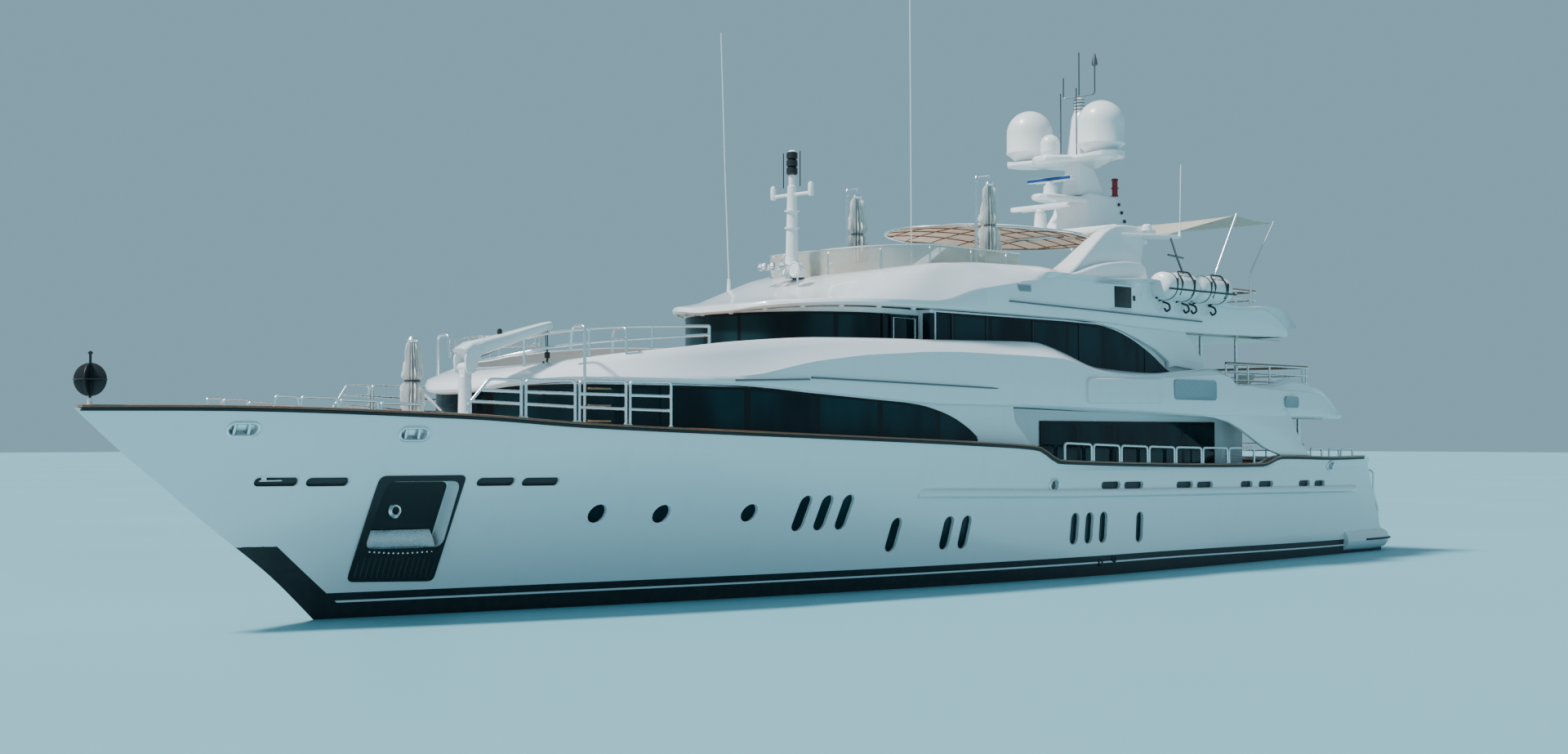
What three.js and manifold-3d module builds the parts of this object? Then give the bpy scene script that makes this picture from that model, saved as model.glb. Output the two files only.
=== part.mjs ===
import * as THREE from "three";
import { mergeVertices } from "three/addons/utils/BufferGeometryUtils.js";
import Module from "manifold-3d";

const wasm = await Module();
wasm.setup();

// A three deck motor yacht, 44.2 m long, made as a 1:2 scale model.
// +X is forward, +Y is port, +Z is up. The origin is amidships on the centreline, at the waterline.
// Every length in this file is in metres of the real yacht, and MODEL_MM brings it to the model.
const MODEL_MM = 500;

// Driving dimensions
const HALF_LENGTH = 22.1;
const HALF_BEAM = 4.63;
const STERN_HALF_BEAM = 4.2;
const RAIL_AFT_X = -20;
const MAIN_DECK_Z = 2.2;
const FOREDECK_Z = 2.9;
const UPPER_DECK_Z = 5.05;
const SUN_DECK_Z = 7.45;
const BULWARK_WALL = 0.14;
const HOUSE_WALL = 0.12;
const WELL_DRAFT = 0.02; // how much the walls of a deck well lean outwards
const GLASS = 0.04;
const SEAT = 0.0007; // the gap that separate pieces keep where one rests on another
const PIN_GAP = 0.001; // the gap at a bearing, a track or a hinge
const RUNNING_GAP = 0.014; // the gap that moving pieces keep elsewhere
const RAIL_RADIUS = 0.028;
const RAIL_SIDES = 4;

// Colours
const WHITE = 0xf2f4f5;
const STEEL = 0xc9cdd0;
const BLACK = 0x15171a;
const GLAZING = 0x10161c;
const TEAK = 0x9a7350;
const CANVAS = 0xe0cdb4;
const CLOTH = 0xe9e6df;
const BRONZE = 0xa07a3c;

// Tables of [x, value], from stern to bow, straight between rows
const RAIL_Z = [
  [-20, 3.14], [-17.79, 3.12], [-14.02, 3.18], [-12.84, 2.96], [-2.77, 3.14], [-1.71, 3.51],
  [0.64, 3.63], [6.28, 3.83], [8.62, 3.91], [12.28, 4.06], [14.97, 4.24], [19.89, 4.38], [22.1, 4.37],
];
const KNUCKLE_Z = [[-20, 2.85], [-3, 2.9], [0.6, 3.09], [4, 3.2], [8.7, 3.41], [11.4, 3.57], [16.4, 3.78],
  [22.1, 3.82]];
const KEEL_Z = [[-20, -0.5], [-17, -0.72], [-15.6, -0.88], [-13, -1.35], [-9, -2.0], [-5, -2.3], [14, -2.3],
  [22.1, -2.0]];
const STEM_X = [[-2.3, 12.6], [-2, 13.2], [-1.4, 15], [-0.8, 16.1], [0, 16.9], [0.97, 17.92], [2.1, 19.37],
  [2.81, 20.24], [3.5, 21.09], [4.4, 22.1]];
const TRANSOM_X = [[-0.6, -21.2], [0, -21.4], [0.5, -21.4], [3.14, -20]];

function along(table, x) {
  if (x <= table[0][0]) return table[0][1];
  for (let i = 1; i < table.length; i++) {
    const [x0, v0] = table[i - 1];
    const [x1, v1] = table[i];
    if (x <= x1) return v0 + ((v1 - v0) * (x - x0)) / (x1 - x0);
  }
  return table[table.length - 1][1];
}

// Half breadth of the hull at its rail
function beamAt(x) {
  if (x > 0) return HALF_BEAM * (1 - Math.min(1, x / HALF_LENGTH) ** 2.2);
  if (x < -14) return HALF_BEAM - (HALF_BEAM - STERN_HALF_BEAM) * ((-14 - x) / 8) ** 1.6;
  return HALF_BEAM;
}

// Half breadth of the hull at the waterline
function waterHalfAt(x) {
  const full = 4.35 - 0.3 * Math.max(0, (-8 - x) / 13) ** 2;
  return full * (1 - Math.min(1, Math.max(0, x + 6) / 22.9) ** 1.5);
}

const point = (x, y, z) => new THREE.Vector3(x, y, z);

// A solid from a three.js geometry
function solidOf(geometry) {
  const bare = geometry.clone();
  bare.deleteAttribute("normal");
  bare.deleteAttribute("uv");
  const merged = mergeVertices(bare, 1e-5);
  const source = merged.index.array;
  const triVerts = [];
  for (let i = 0; i < source.length; i += 3) {
    const [a, b, c] = [source[i], source[i + 1], source[i + 2]];
    if (a !== b && b !== c && c !== a) triVerts.push(a, b, c);
  }
  const vertProperties = new Float32Array(merged.attributes.position.array);
  const make = (indices) =>
    new wasm.Manifold(new wasm.Mesh({ numProp: 3, vertProperties, triVerts: new Uint32Array(indices) }));
  const solid = make(triVerts);
  if (solid.volume() > 0) return solid;
  const turned = [];
  for (let i = 0; i < triVerts.length; i += 3) turned.push(triVerts[i], triVerts[i + 2], triVerts[i + 1]);
  return make(turned);
}

function geometryOf(solid) {
  const mesh = solid.getMesh();
  const geometry = new THREE.BufferGeometry();
  geometry.setAttribute("position", new THREE.BufferAttribute(new Float32Array(mesh.vertProperties), 3));
  geometry.setIndex(new THREE.BufferAttribute(new Uint32Array(mesh.triVerts), 1));
  return geometry;
}

const join = (...solids) => solids.flat().reduce((a, b) => a.add(b));
const cut = (solid, ...tools) => tools.flat().reduce((a, b) => a.subtract(b), solid);
// The main body of a solid, without the crumbs that a cut leaves
const mainBody = (solid) => solid.decompose().reduce((a, b) => (b.volume() > a.volume() ? b : a));
const mirrored = (solid) => solid.mirror([0, 1, 0]);
const bothSides = (solid) => [solid, mirrored(solid)];

// The same solid with its faces moved out by about the seat gap, to cut a neighbour that rests on it
function swollen(solid) {
  const geometry = geometryOf(solid);
  geometry.computeVertexNormals();
  const { position, normal } = geometry.attributes;
  for (let i = 0; i < position.count; i++) {
    const p = new THREE.Vector3().fromBufferAttribute(position, i);
    const n = new THREE.Vector3().fromBufferAttribute(normal, i);
    p.addScaledVector(n, 1.8 * SEAT);
    position.setXYZ(i, p.x, p.y, p.z);
  }
  return solidOf(geometry);
}

// A closed solid through rings of equal length. Each ring runs along the port side and back along the
// starboard side, so its point j faces its point (length - 1 - j) across the centreline.
function loft(rings) {
  const count = rings[0].length;
  const index = [];
  for (let i = 0; i + 1 < rings.length; i++) {
    for (let j = 0; j < count; j++) {
      const k = (j + 1) % count;
      const [a, b] = [i * count, (i + 1) * count];
      if (j < count / 2) index.push(a + j, a + k, b + k, a + j, b + k, b + j);
      else index.push(a + j, a + k, b + j, a + k, b + k, b + j);
    }
  }
  const last = (rings.length - 1) * count;
  for (let j = 0; j < count / 2 - 1; j++) {
    const [a, b, c, d] = [j, j + 1, count - 2 - j, count - 1 - j];
    index.push(b, a, d, b, d, c);
    index.push(last + a, last + b, last + c, last + a, last + c, last + d);
  }
  const geometry = new THREE.BufferGeometry().setFromPoints(rings.flat());
  geometry.setIndex(index);
  return solidOf(geometry);
}

const closedRing = (port) => [...port, ...port.map((p) => point(p.x, -p.y, p.z)).reverse()];

// A plan outline with a rounded front: side(x) gives its half breadth, bend is where the front begins to
// round, power is 2 for an ellipse and more for a squarer front. height(x) is the ring's level.
function planRing({ aft, bend, front, power, side, steps = 12, rounds = 7 }, inset, height) {
  const port = [];
  const tip = front - inset;
  for (let i = 0; i <= steps; i++) {
    const x = aft + ((bend - aft) * i) / steps;
    port.push(point(x, side(x) - inset, height(x)));
  }
  for (let i = 1; i <= rounds; i++) {
    const angle = (i / rounds) * (Math.PI / 2);
    const x = bend + (tip - bend) * Math.sin(angle) ** (2 / power);
    const y = i === rounds ? 0 : (side(x) - inset) * Math.cos(angle) ** (2 / power);
    port.push(point(x, y, height(x)));
  }
  return closedRing(port);
}

const level = (z) => () => z;

// A plan shape as an upright solid
const tier = (shape, low, high, inset = 0) =>
  loft([planRing(shape, inset, level(low)), planRing(shape, inset, level(high))]);

// A side profile of [x, z] points, solid from y0 to y1
function sideProfile(outline, y0, y1) {
  const shape = new THREE.Shape(outline.map(([x, z]) => new THREE.Vector2(x, z)));
  const geometry = new THREE.ExtrudeGeometry(shape, { depth: y1 - y0, bevelEnabled: false });
  geometry.rotateX(Math.PI / 2);
  geometry.translate(0, y1, 0);
  return solidOf(geometry);
}

// A plan of [x, y] points, solid from z0 to z1
function planProfile(outline, z0, z1) {
  const shape = new THREE.Shape(outline.map(([x, y]) => new THREE.Vector2(x, y)));
  const geometry = new THREE.ExtrudeGeometry(shape, { depth: z1 - z0, bevelEnabled: false });
  geometry.translate(0, 0, z0);
  return solidOf(geometry);
}

// A box between two corners
function block([x0, y0, z0], [x1, y1, z1]) {
  const geometry = new THREE.BoxGeometry(x1 - x0, y1 - y0, z1 - z0);
  geometry.translate((x0 + x1) / 2, (y0 + y1) / 2, (z0 + z1) / 2);
  return solidOf(geometry);
}

// A straight round bar between two points, which may taper
function bar(from, to, radius = RAIL_RADIUS, sides = 6, endRadius = radius) {
  const a = point(...from);
  const b = point(...to);
  const geometry = new THREE.CylinderGeometry(endRadius, radius, a.distanceTo(b), sides);
  geometry.translate(0, a.distanceTo(b) / 2, 0);
  geometry.applyQuaternion(new THREE.Quaternion().setFromUnitVectors(point(0, 1, 0), b.clone().sub(a).normalize()));
  geometry.translate(a.x, a.y, a.z);
  return solidOf(geometry);
}

// Bars through a list of points
function bars(points, radius = RAIL_RADIUS, sides = 6) {
  return points.slice(1).map((p, i) => bar(points[i], p, radius, sides));
}

// A round body turned about an upright axis at [x, y], from a profile of [radius, z]
function turned(profile, x, y, sides = 18) {
  const geometry = new THREE.LatheGeometry(profile.map(([r, z]) => new THREE.Vector2(r, z)), sides);
  geometry.rotateX(Math.PI / 2);
  geometry.translate(x, y, 0);
  return solidOf(geometry);
}

// A guard rail: posts on the foot points, with a bar through their tops and lower bars at the given heights
function guardRail(feet, height, lowerBars = [0.5], radius = RAIL_RADIUS) {
  const lifted = (h) => feet.map(([x, y, z]) => [x, y, z + h]);
  const posts = feet.map(([x, y, z]) => bar([x, y, z - 0.05], [x, y, z + height], radius, RAIL_SIDES));
  const lower = lowerBars.flatMap((h) => bars(lifted(h), radius * 0.8, RAIL_SIDES));
  return join(posts, bars(lifted(height), radius, RAIL_SIDES), lower);
}

const group = new THREE.Group();

function add(name, solid, color, roughness = 0.4, metalness = 0) {
  const geometry = geometryOf(solid);
  geometry.scale(MODEL_MM, MODEL_MM, MODEL_MM);
  geometry.computeVertexNormals();
  const mesh = new THREE.Mesh(geometry, new THREE.MeshStandardMaterial({ color, roughness, metalness }));
  mesh.name = name;
  group.add(mesh);
  return solid;
}

// Hull
// A station keeps one rail position, and its lower points lean with the stem and the transom.
function leanX(railX, z) {
  const bowStart = 8 + (14 * Math.min(0, z)) / 2.2;
  const bow = Math.max(0, (railX - bowStart) / (HALF_LENGTH - bowStart)) ** 2;
  const stern = Math.max(0, (-14 - railX) / 6);
  return railX - (HALF_LENGTH - along(STEM_X, z)) * bow + (along(TRANSOM_X, z) - RAIL_AFT_X) * stern;
}

function hullRing(railX, inset = 0) {
  const railHalf = Math.max(0, beamAt(railX) - inset);
  const waterHalf = railX >= HALF_LENGTH ? 0 : Math.max(0, waterHalfAt(leanX(railX, 0)) - inset);
  const knuckleHalf = railHalf >= 0.12 ? railHalf - 0.12 * Math.min(1, railHalf) : 0;
  const keelZ = along(KEEL_Z, railX);
  const knuckleZ = along(KNUCKLE_Z, railX);
  const bow = Math.max(0, (railX + 2) / 24);
  const round = 2.6 - 1.3 * bow;
  const flare = 1.02 + 0.3 * Math.min(1, bow * 2);
  const port = [];
  for (const depth of [1, 0.93, 0.78, 0.55, 0.28, 0]) {
    const z = keelZ * depth;
    port.push(point(leanX(railX, z), waterHalf * (1 - depth ** round) ** (1 / (round - 0.3)), z));
  }
  for (const rise of [0.1, 0.2, 0.33, 0.45, 0.58, 0.72, 0.86, 1]) {
    const z = knuckleZ * rise;
    port.push(point(leanX(railX, z), waterHalf + (knuckleHalf - waterHalf) * rise ** flare, z));
  }
  const railZ = along(RAIL_Z, railX);
  port.push(point(leanX(railX, railZ), railHalf, railZ));
  return closedRing(port);
}

const HULL_STATIONS = [-20, -19, -17.8, -16, -14.02, -12.84, -10, -7, -4.5, -2.77, -1.71, 0.64, 3, 5, 7,
  9, 11, 12.5, 13.8, 15, 16, 17, 17.8, 18.6, 19.4, 20.1, 20.7, 21.2, 21.7, HALF_LENGTH];

const WELL_TOP_Z = 5;

const AFT_WELL = { aft: -19.3, bend: 8.8, front: 9.5, power: 2.5,
  side: (x) => beamAt(x) - (x < -1.5 ? 2 * BULWARK_WALL : 0.6 + 0.06 * Math.max(0, x)) };
const FORE_WELL = { aft: 10, bend: 17, front: 20.9, power: 1.4, side: (x) => beamAt(x) - BULWARK_WALL };
const FORE_WELL_FLOOR = { aft: 10, bend: 15, front: 18.8, power: 1.4,
  side: (x) => Math.max(0.2, beamAt(x) - 1.35) };

// Transom: a garage door between two flights of steps
const GARAGE_HALF = 1.9;
const GARAGE_Z = [0.85, 2.0];
const STEPS_Y = [2.35, 3.45];
const STEP_COUNT = 6;
const STEPS_FROM = [-19.2, MAIN_DECK_Z];
const PLATFORM_Z = 0.75;
const STEPS_TO = [-21.5, PLATFORM_Z];

function stepsTool() {
  const outline = [[STEPS_FROM[0] + 0.1, MAIN_DECK_Z + 2], [STEPS_FROM[0] + 0.1, MAIN_DECK_Z]];
  const run = (STEPS_TO[0] - STEPS_FROM[0]) / STEP_COUNT;
  const rise = (STEPS_TO[1] - STEPS_FROM[1]) / STEP_COUNT;
  for (let i = 0; i < STEP_COUNT; i++) {
    const x = STEPS_FROM[0] + run * i;
    outline.push([x, STEPS_FROM[1] + rise * i], [x, STEPS_FROM[1] + rise * (i + 1)]);
  }
  outline.push([-23, STEPS_TO[1]], [-23, MAIN_DECK_Z + 2]);
  return sideProfile(outline, STEPS_Y[0], STEPS_Y[1]);
}

// Anchor pockets: a leaning recess in the bow, with its corners in the side view
const POCKET_DEPTH = 0.5;
const POCKET = [[16.06, 3.02], [14.37, 3.0], [15.13, 0.82], [16.77, 0.88]];

// Running gear
const SHAFT_Y = 1.55;
const PROP = { x: -15.6, z: -1.85, r: 0.72 };
const RUDDER = { x: -17.6, bossZ: -0.78 };

// The rubbing strake, which lies along the side of the hull
const STRAKE_Z = [[-19.3, 1.9], [-6.5, 2.19], [2.8, 2.37]];
const STRAKE_STATIONS = [-19.3, -18, -16, -14.02, -12.84, -10, -7, -4.5, -2, 0.64, 2.8];
function sideHalfAt(x, z) {
  const lean = (along(TRANSOM_X, z) - RAIL_AFT_X) / 6;
  const railX = x < -14 ? (x + 14 * lean) / (1 - lean) : x;
  const rise = z / along(KNUCKLE_Z, railX);
  return waterHalfAt(leanX(railX, 0)) * (1 - rise) + (beamAt(railX) - 0.12) * rise;
}
function buildStrake() {
  const ring = (x) => {
    const [y, z] = [sideHalfAt(x, along(STRAKE_Z, x)), along(STRAKE_Z, x)];
    return [[-0.15, -0.1], [0.07, -0.06], [0.07, 0.06], [-0.15, 0.1]].map(([dy, dz]) => point(x, y + dy, z + dz));
  };
  return loft(STRAKE_STATIONS.map(ring));
}

function buildHull() {
  const shell = loft(HULL_STATIONS.map((x) => hullRing(x)));
  const skegOutline = [[-4, -2.2], [-13, -1.55], [-16.5, -1.0], [-15.6, -2.5], [-14, -2.62], [-5, -2.62]];
  const skeg = sideProfile(skegOutline, -0.16, 0.16);
  const bulbGeometry = new THREE.SphereGeometry(1, 16, 10);
  bulbGeometry.scale(2.6, 0.62, 0.78);
  bulbGeometry.translate(14.9, 0, -1.45);
  const bosses = bothSides(bar([RUDDER.x, SHAFT_Y, -0.3], [RUDDER.x, SHAFT_Y, RUDDER.bossZ], 0.2, 12));
  const body = join(shell, skeg, solidOf(bulbGeometry), bosses, bothSides(buildStrake()));
  const inwards = loft(HULL_STATIONS.slice(0, -1).map((x) => hullRing(x, POCKET_DEPTH)));
  const pocket = cut(sideProfile(POCKET, 0.1, 5), inwards);
  const garage = block([-23, -GARAGE_HALF, GARAGE_Z[0]], [-18.6, GARAGE_HALF, GARAGE_Z[1]]);
  const thruster = bar([12.6, -3, -1.2], [12.6, 3, -1.2], 0.32, 16);
  return cut(
    body,
    tier(AFT_WELL, MAIN_DECK_Z, WELL_TOP_Z),
    loft([
      planRing(FORE_WELL_FLOOR, 0, level(FOREDECK_Z)),
      planRing(FORE_WELL, BULWARK_WALL, level(4)),
      planRing(FORE_WELL, 0, level(WELL_TOP_Z)),
    ]),
    bothSides(pocket),
    bothSides(stepsTool()),
    garage,
    thruster,
  );
}

const hull = add("hull", buildHull(), WHITE, 0.25);
const hullTool = swollen(hull);

// Swim platform, wrapped round the stern
const PLATFORM = { aft: 0, bend: 1.2, front: 3.85, power: 5, side: () => 4.36, steps: 2, rounds: 8 };
const PLATFORM_EDGE = [[0.35, 0.05], [0.08, 0.2], [0, 0.42], [0.08, 0.62], [0.3, PLATFORM_Z]]; // inset and level
function buildPlatform() {
  const aboutStern = (x) => point(-18.6 - x, 0, 0).x;
  const ring = (inset, z) =>
    planRing(PLATFORM, inset, level(z)).map((p) => point(aboutStern(p.x), p.y, p.z));
  return cut(loft(PLATFORM_EDGE.map(([inset, z]) => ring(inset, z))), hullTool);
}
add("swim_platform", buildPlatform(), WHITE, 0.3);

// The space above a deck, inside its coaming
const deckWell = (shape, floor, wall) =>
  loft([planRing(shape, wall + WELL_DRAFT, level(floor)), planRing(shape, wall, level(floor + 2))]);

// Upper deck: a slab with its coaming, which is the white belt of the topsides
const BELT_LOW_Z = [[-18.3, 4.4], [-10.4, 4.4], [-6.6, 4.5], [-1.06, 4.6], [1.8, 4.6], [3.27, 4.67],
  [5.95, 4.83], [8.3, 4.98], [12, 5.02], [13, 4.92], [13.55, 4.75]];
const BELT_LOW_INSET = [[-18.3, 0.2], [-14, 0.08], [-2.5, 0.06], [0.5, 0.26], [13, 0.26]];
const BELT_TOP_INSET = [[-18.3, 0.42], [-9, 0.55], [-3, 0.8], [13, 0.8]];
const BELT_TOP_Z = 6.7;
const BELT_PROFILE = [[13.9, 4.0], [13.9, 4.95], [13.1, 5.2], [12.16, 5.45], [10.99, 5.66], [9.53, 5.84],
  [7.99, 6.02], [5.57, 6.19], [1.32, 6.28], [-2.35, 6.37], [-3.44, 6.14], [-4.92, 5.74], [-7.68, 5.64],
  [-8.94, 5.72], [-10.89, 5.84], [-11.65, 5.41], [-13.98, 5.41], [-15.06, 5.66], [-16.72, 5.38],
  [-18.1, 4.72], [-18.4, 4.35], [-18.4, 4.0]];
const UPPER_WELL_WALL = 0.15;
const BELT = { aft: -18.3, bend: 9.2, front: 13.6, power: 2.3, steps: 16 };
const BELT_TOP = { ...BELT, front: 12.95, side: (x) => beamAt(x) - along(BELT_TOP_INSET, x) };

// A white plate each side, which carries the belt down to the bulwark behind the side decks
const FIN = [[-9.6, 4.7], [-11, 4.5], [-12.34, 3.93], [-13.5, 3.43], [-14, 3.0], [-15.95, 3.0], [-14.66, 4.49],
  [-14.5, 4.7]];
const FIN_Y = [4.47, 4.57];

function buildUpperDeck() {
  const low = { ...BELT, side: (x) => beamAt(x) - along(BELT_LOW_INSET, x) };
  const belt = loft([planRing(low, 0, (x) => along(BELT_LOW_Z, x)), planRing(BELT_TOP, 0, level(BELT_TOP_Z))]);
  const shaped = belt.intersect(sideProfile(BELT_PROFILE, -5, 5));
  return cut(shaped, deckWell({ ...BELT_TOP, aft: BELT.aft + 0.4, front: 12.5 }, UPPER_DECK_Z, UPPER_WELL_WALL));
}
const mainPost = cut(bar([-16.8, 3.6, MAIN_DECK_Z - 0.1], [-16.8, 3.6, 4.6], 0.07, 8), hullTool);
const fin = mainBody(cut(sideProfile(FIN, ...FIN_Y), hullTool));
const upperDeckBody = join(buildUpperDeck(), bothSides(mainPost), bothSides(fin));
const upperDeck = add("upper_deck", upperDeckBody, WHITE, 0.25);
const upperDeckTool = swollen(upperDeck);

// Sun deck: a slab over the upper house, with its brow forward and its bulwark aft
const SUN_LOW_Z = [[-16.3, 7.0], [-11.13, 6.9], [-7.92, 6.95], [-5, 7.05], [1.1, 7.07], [3.5, 7.07], [4.8, 7.03],
  [5.4, 6.96], [5.6, 6.88]];
const SUN_TOP_INSET = [[-16.3, 1.05], [-6, 1.15], [-3.5, 1.7], [10, 1.8]];
const SUN_PROFILE = [[5.8, 6.3], [5.8, 6.98], [5.4, 7.12], [4.6, 7.36], [3.6, 7.68], [2.75, 7.95], [1.5, 8.2],
  [0.3, 8.37], [-1.5, 8.49], [-3.39, 8.53], [-8, 8.43], [-9.2, 8.25], [-12.6, 7.85], [-13.4, 7.72],
  [-13.7, 7.95], [-14.45, 7.92], [-15.43, 7.7], [-16.35, 7.1], [-16.35, 6.3]];
const SUN = { aft: -16.3, bend: 2.0, front: 5.6, power: 2.2, steps: 16, side: (x) => beamAt(x) - 0.9 };

function buildSunDeck() {
  const lifted = (dz) => (x) => along(SUN_LOW_Z, x) + dz;
  const top = { ...SUN, front: 4.7, side: (x) => beamAt(x) - along(SUN_TOP_INSET, x) };
  const body = loft([
    planRing(SUN, 0.06, lifted(0)),
    planRing(SUN, -0.02, lifted(0.12)),
    planRing(SUN, 0.06, lifted(0.28)),
    planRing(top, 0, level(8.7)),
  ]);
  const inside = { ...top, aft: -15.9, bend: -0.4, front: 2.2, power: 2.3, steps: 10 };
  const well = deckWell(inside, SUN_DECK_Z, BULWARK_WALL);
  return cut(body.intersect(sideProfile(SUN_PROFILE, -5, 5)), well);
}
const upperPost = cut(bar([-13.9, 3.1, UPPER_DECK_Z - 0.1], [-13.9, 3.1, 7.2], 0.07, 8), upperDeckTool);
const sunDeck = add("sun_deck", join(buildSunDeck(), bothSides(upperPost)), WHITE, 0.25);
const sunDeckTool = swollen(sunDeck);

// Main deck house: as wide as the hull forward, with side decks past the saloon aft
const FORE_HOUSE = { aft: -1.9, bend: 9.2, front: 13.35, power: 2.2, side: (x) => beamAt(x) - 0.35 };
const SALOON_HALF = 3.4;
const SALOON_AFT_X = -12.6;
const WINDOW_LINE = [[0.28, 3.8], [0.86, 4.1], [1.8, 4.44], [3.27, 4.62], [5.95, 4.78], [8.3, 4.93],
  [10.25, 4.95], [10.25, 4.12], [8.3, 4.02], [5.95, 3.95]];
const FRONT_WINDOW_LINE = [[10.2, 4.1], [10.2, 4.95], [12, 4.95], [12.9, 4.85], [14, 4.7], [14, 3.6], [11.2, 3.6]];
const OPENING_EDGE = [[-3, 3.3], [-1.92, 3.6], [-1.23, 4.2], [-1.1, 4.8], [-3, 4.8]];
const SALOON_WINDOW = { x: [-12.1, -3.4], z: [2.95, 4.25] };
const DOOR_HALF = 1.6;

function buildMainHouse() {
  const outer = tier(FORE_HOUSE, FOREDECK_Z, 5.15);
  const inner = join(tier(FORE_HOUSE, 2, 5.2, HOUSE_WALL), block([-2.5, -3.6, 2], [-1.5, 3.6, 5.2]));
  const saloon = block([SALOON_AFT_X, -SALOON_HALF, MAIN_DECK_Z], [-1.7, SALOON_HALF, 4.7]);
  const inside = SALOON_HALF - HOUSE_WALL;
  const saloonInside = block([SALOON_AFT_X + HOUSE_WALL, -inside, 2], [-1, inside, 5]);
  const shoulder = block([-1.9, -4.2, MAIN_DECK_Z], [-1.78, 4.2, 4.7]);
  const frontWindow = sideProfile(FRONT_WINDOW_LINE, -4, 4);
  const sideWindow = sideProfile(WINDOW_LINE, 2.8, 5);
  const { x: windowX, z: windowZ } = SALOON_WINDOW;
  const saloonWindow = block([windowX[0], 3, windowZ[0]], [windowX[1], 4, windowZ[1]]);
  const doorway = block([-13, -DOOR_HALF, 2], [-12, DOOR_HALF, 4.2]);
  return mainBody(cut(
    join(cut(outer, inner), cut(join(saloon, shoulder), saloonInside)),
    frontWindow,
    bothSides(sideWindow),
    bothSides(saloonWindow),
    bothSides(sideProfile(OPENING_EDGE, 3.5, 5)),
    doorway,
    hullTool,
    upperDeckTool,
  ));
}
const mainHouse = add("main_house", buildMainHouse(), WHITE, 0.3);

// A strip of glass that follows a rounded house, just inside its wall
function glassStrip(house, aftX, low, highZ) {
  const inset = HOUSE_WALL + 2 * SEAT;
  const ring = (more, height) => planRing(house, inset + more, height);
  const outer = loft([ring(0, low), ring(0, level(highZ))]);
  const inner = loft([ring(GLASS, level(0)), ring(GLASS, level(9))]);
  return cut(outer, inner, block([house.aft - 1, -5, 0], [aftX, 5, 9]));
}
const foreSill = (x) => (x < 10 ? along(RAIL_Z, x) + 0.02 : 3.45);
const foreGlass = cut(glassStrip(FORE_HOUSE, 0.1, foreSill, 5.0), hullTool, upperDeckTool);
add("fore_house_glass", mainBody(foreGlass), GLAZING, 0.08);

function paneAlong(x, y, z) {
  return block([x[0], y, z[0]], [x[1], y + GLASS, z[1]]);
}
const saloonPane = paneAlong([-12.3, -3.2], SALOON_HALF - HOUSE_WALL - SEAT - GLASS, [2.85, 4.32]);
add("saloon_glass_port", saloonPane, GLAZING, 0.08);
add("saloon_glass_starboard", mirrored(saloonPane), GLAZING, 0.08);

// Upper house: the wheelhouse forward, the sky lounge aft
const WHEELHOUSE = { aft: 1.2, bend: 2.6, front: 5.3, power: 2.2, side: (x) => beamAt(x) - 1.5, steps: 4 };
const LOUNGE_HALF = 3.53;
const LOUNGE_AFT_X = -10.3;
const LOUNGE_WINDOW = [[1.0, 6.95], [-0.7, 6.98], [-3.9, 6.98], [-5.8, 6.86], [-7.3, 6.55], [-8.6, 6.08],
  [-9.24, 5.78], [-8.9, 5.68], [-7, 5.66], [1.0, 5.9]];
const WHEELHOUSE_WINDOW = [[6, 6.8], [5, 6.86], [2.6, 6.92], [2.6, 5.95], [6, 5.9]];
const LOUNGE_PLATE = [[-10.0, 5.06], [-10.0, 7.3], [-10.35, 6.6], [-11.2, 5.9], [-11.3, 5.06]];
const WHEELHOUSE_DOOR = { x: [1.45, 2.35], z: [5.12, 6.9] };

function buildUpperHouse() {
  const top = 7.38;
  const bridge = tier(WHEELHOUSE, UPPER_DECK_Z - 0.2, top);
  const bridgeInside = tier(WHEELHOUSE, 4, 8, HOUSE_WALL);
  const lounge = block([LOUNGE_AFT_X, -LOUNGE_HALF, UPPER_DECK_Z - 0.2], [1.3, LOUNGE_HALF, top]);
  const plate = sideProfile(LOUNGE_PLATE, LOUNGE_HALF - HOUSE_WALL, LOUNGE_HALF);
  const inside = LOUNGE_HALF - HOUSE_WALL;
  const loungeInside = block([LOUNGE_AFT_X + HOUSE_WALL, -inside, 4], [1.3 - HOUSE_WALL, inside, 8]);
  const passage = block([0.8, -2.9, 4], [2, 2.9, 8]);
  const { x: doorX, z: doorZ } = WHEELHOUSE_DOOR;
  const door = block([doorX[0], 2.6, doorZ[0]], [doorX[1], 4, doorZ[1]]);
  return mainBody(cut(
    join(cut(bridge, bridgeInside), cut(lounge, loungeInside), bothSides(plate)),
    passage,
    bothSides(door),
    bothSides(sideProfile(LOUNGE_WINDOW, 3.2, 4)),
    sideProfile(WHEELHOUSE_WINDOW, -4, 4),
    block([-11, -DOOR_HALF, UPPER_DECK_Z - 0.3], [-10, DOOR_HALF, 6.75]),
    upperDeckTool,
    sunDeckTool,
  ));
}
const upperHouse = add("upper_house", buildUpperHouse(), WHITE, 0.3);
add("wheelhouse_glass", mainBody(cut(glassStrip(WHEELHOUSE, 2.45, level(5.8), 6.98), sunDeckTool)), GLAZING, 0.08);
const loungePane = paneAlong([-9.6, 1.1], LOUNGE_HALF - HOUSE_WALL - SEAT - GLASS, [5.55, 6.88]);
add("lounge_glass_port", loungePane, GLAZING, 0.08);
add("lounge_glass_starboard", mirrored(loungePane), GLAZING, 0.08);

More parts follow.
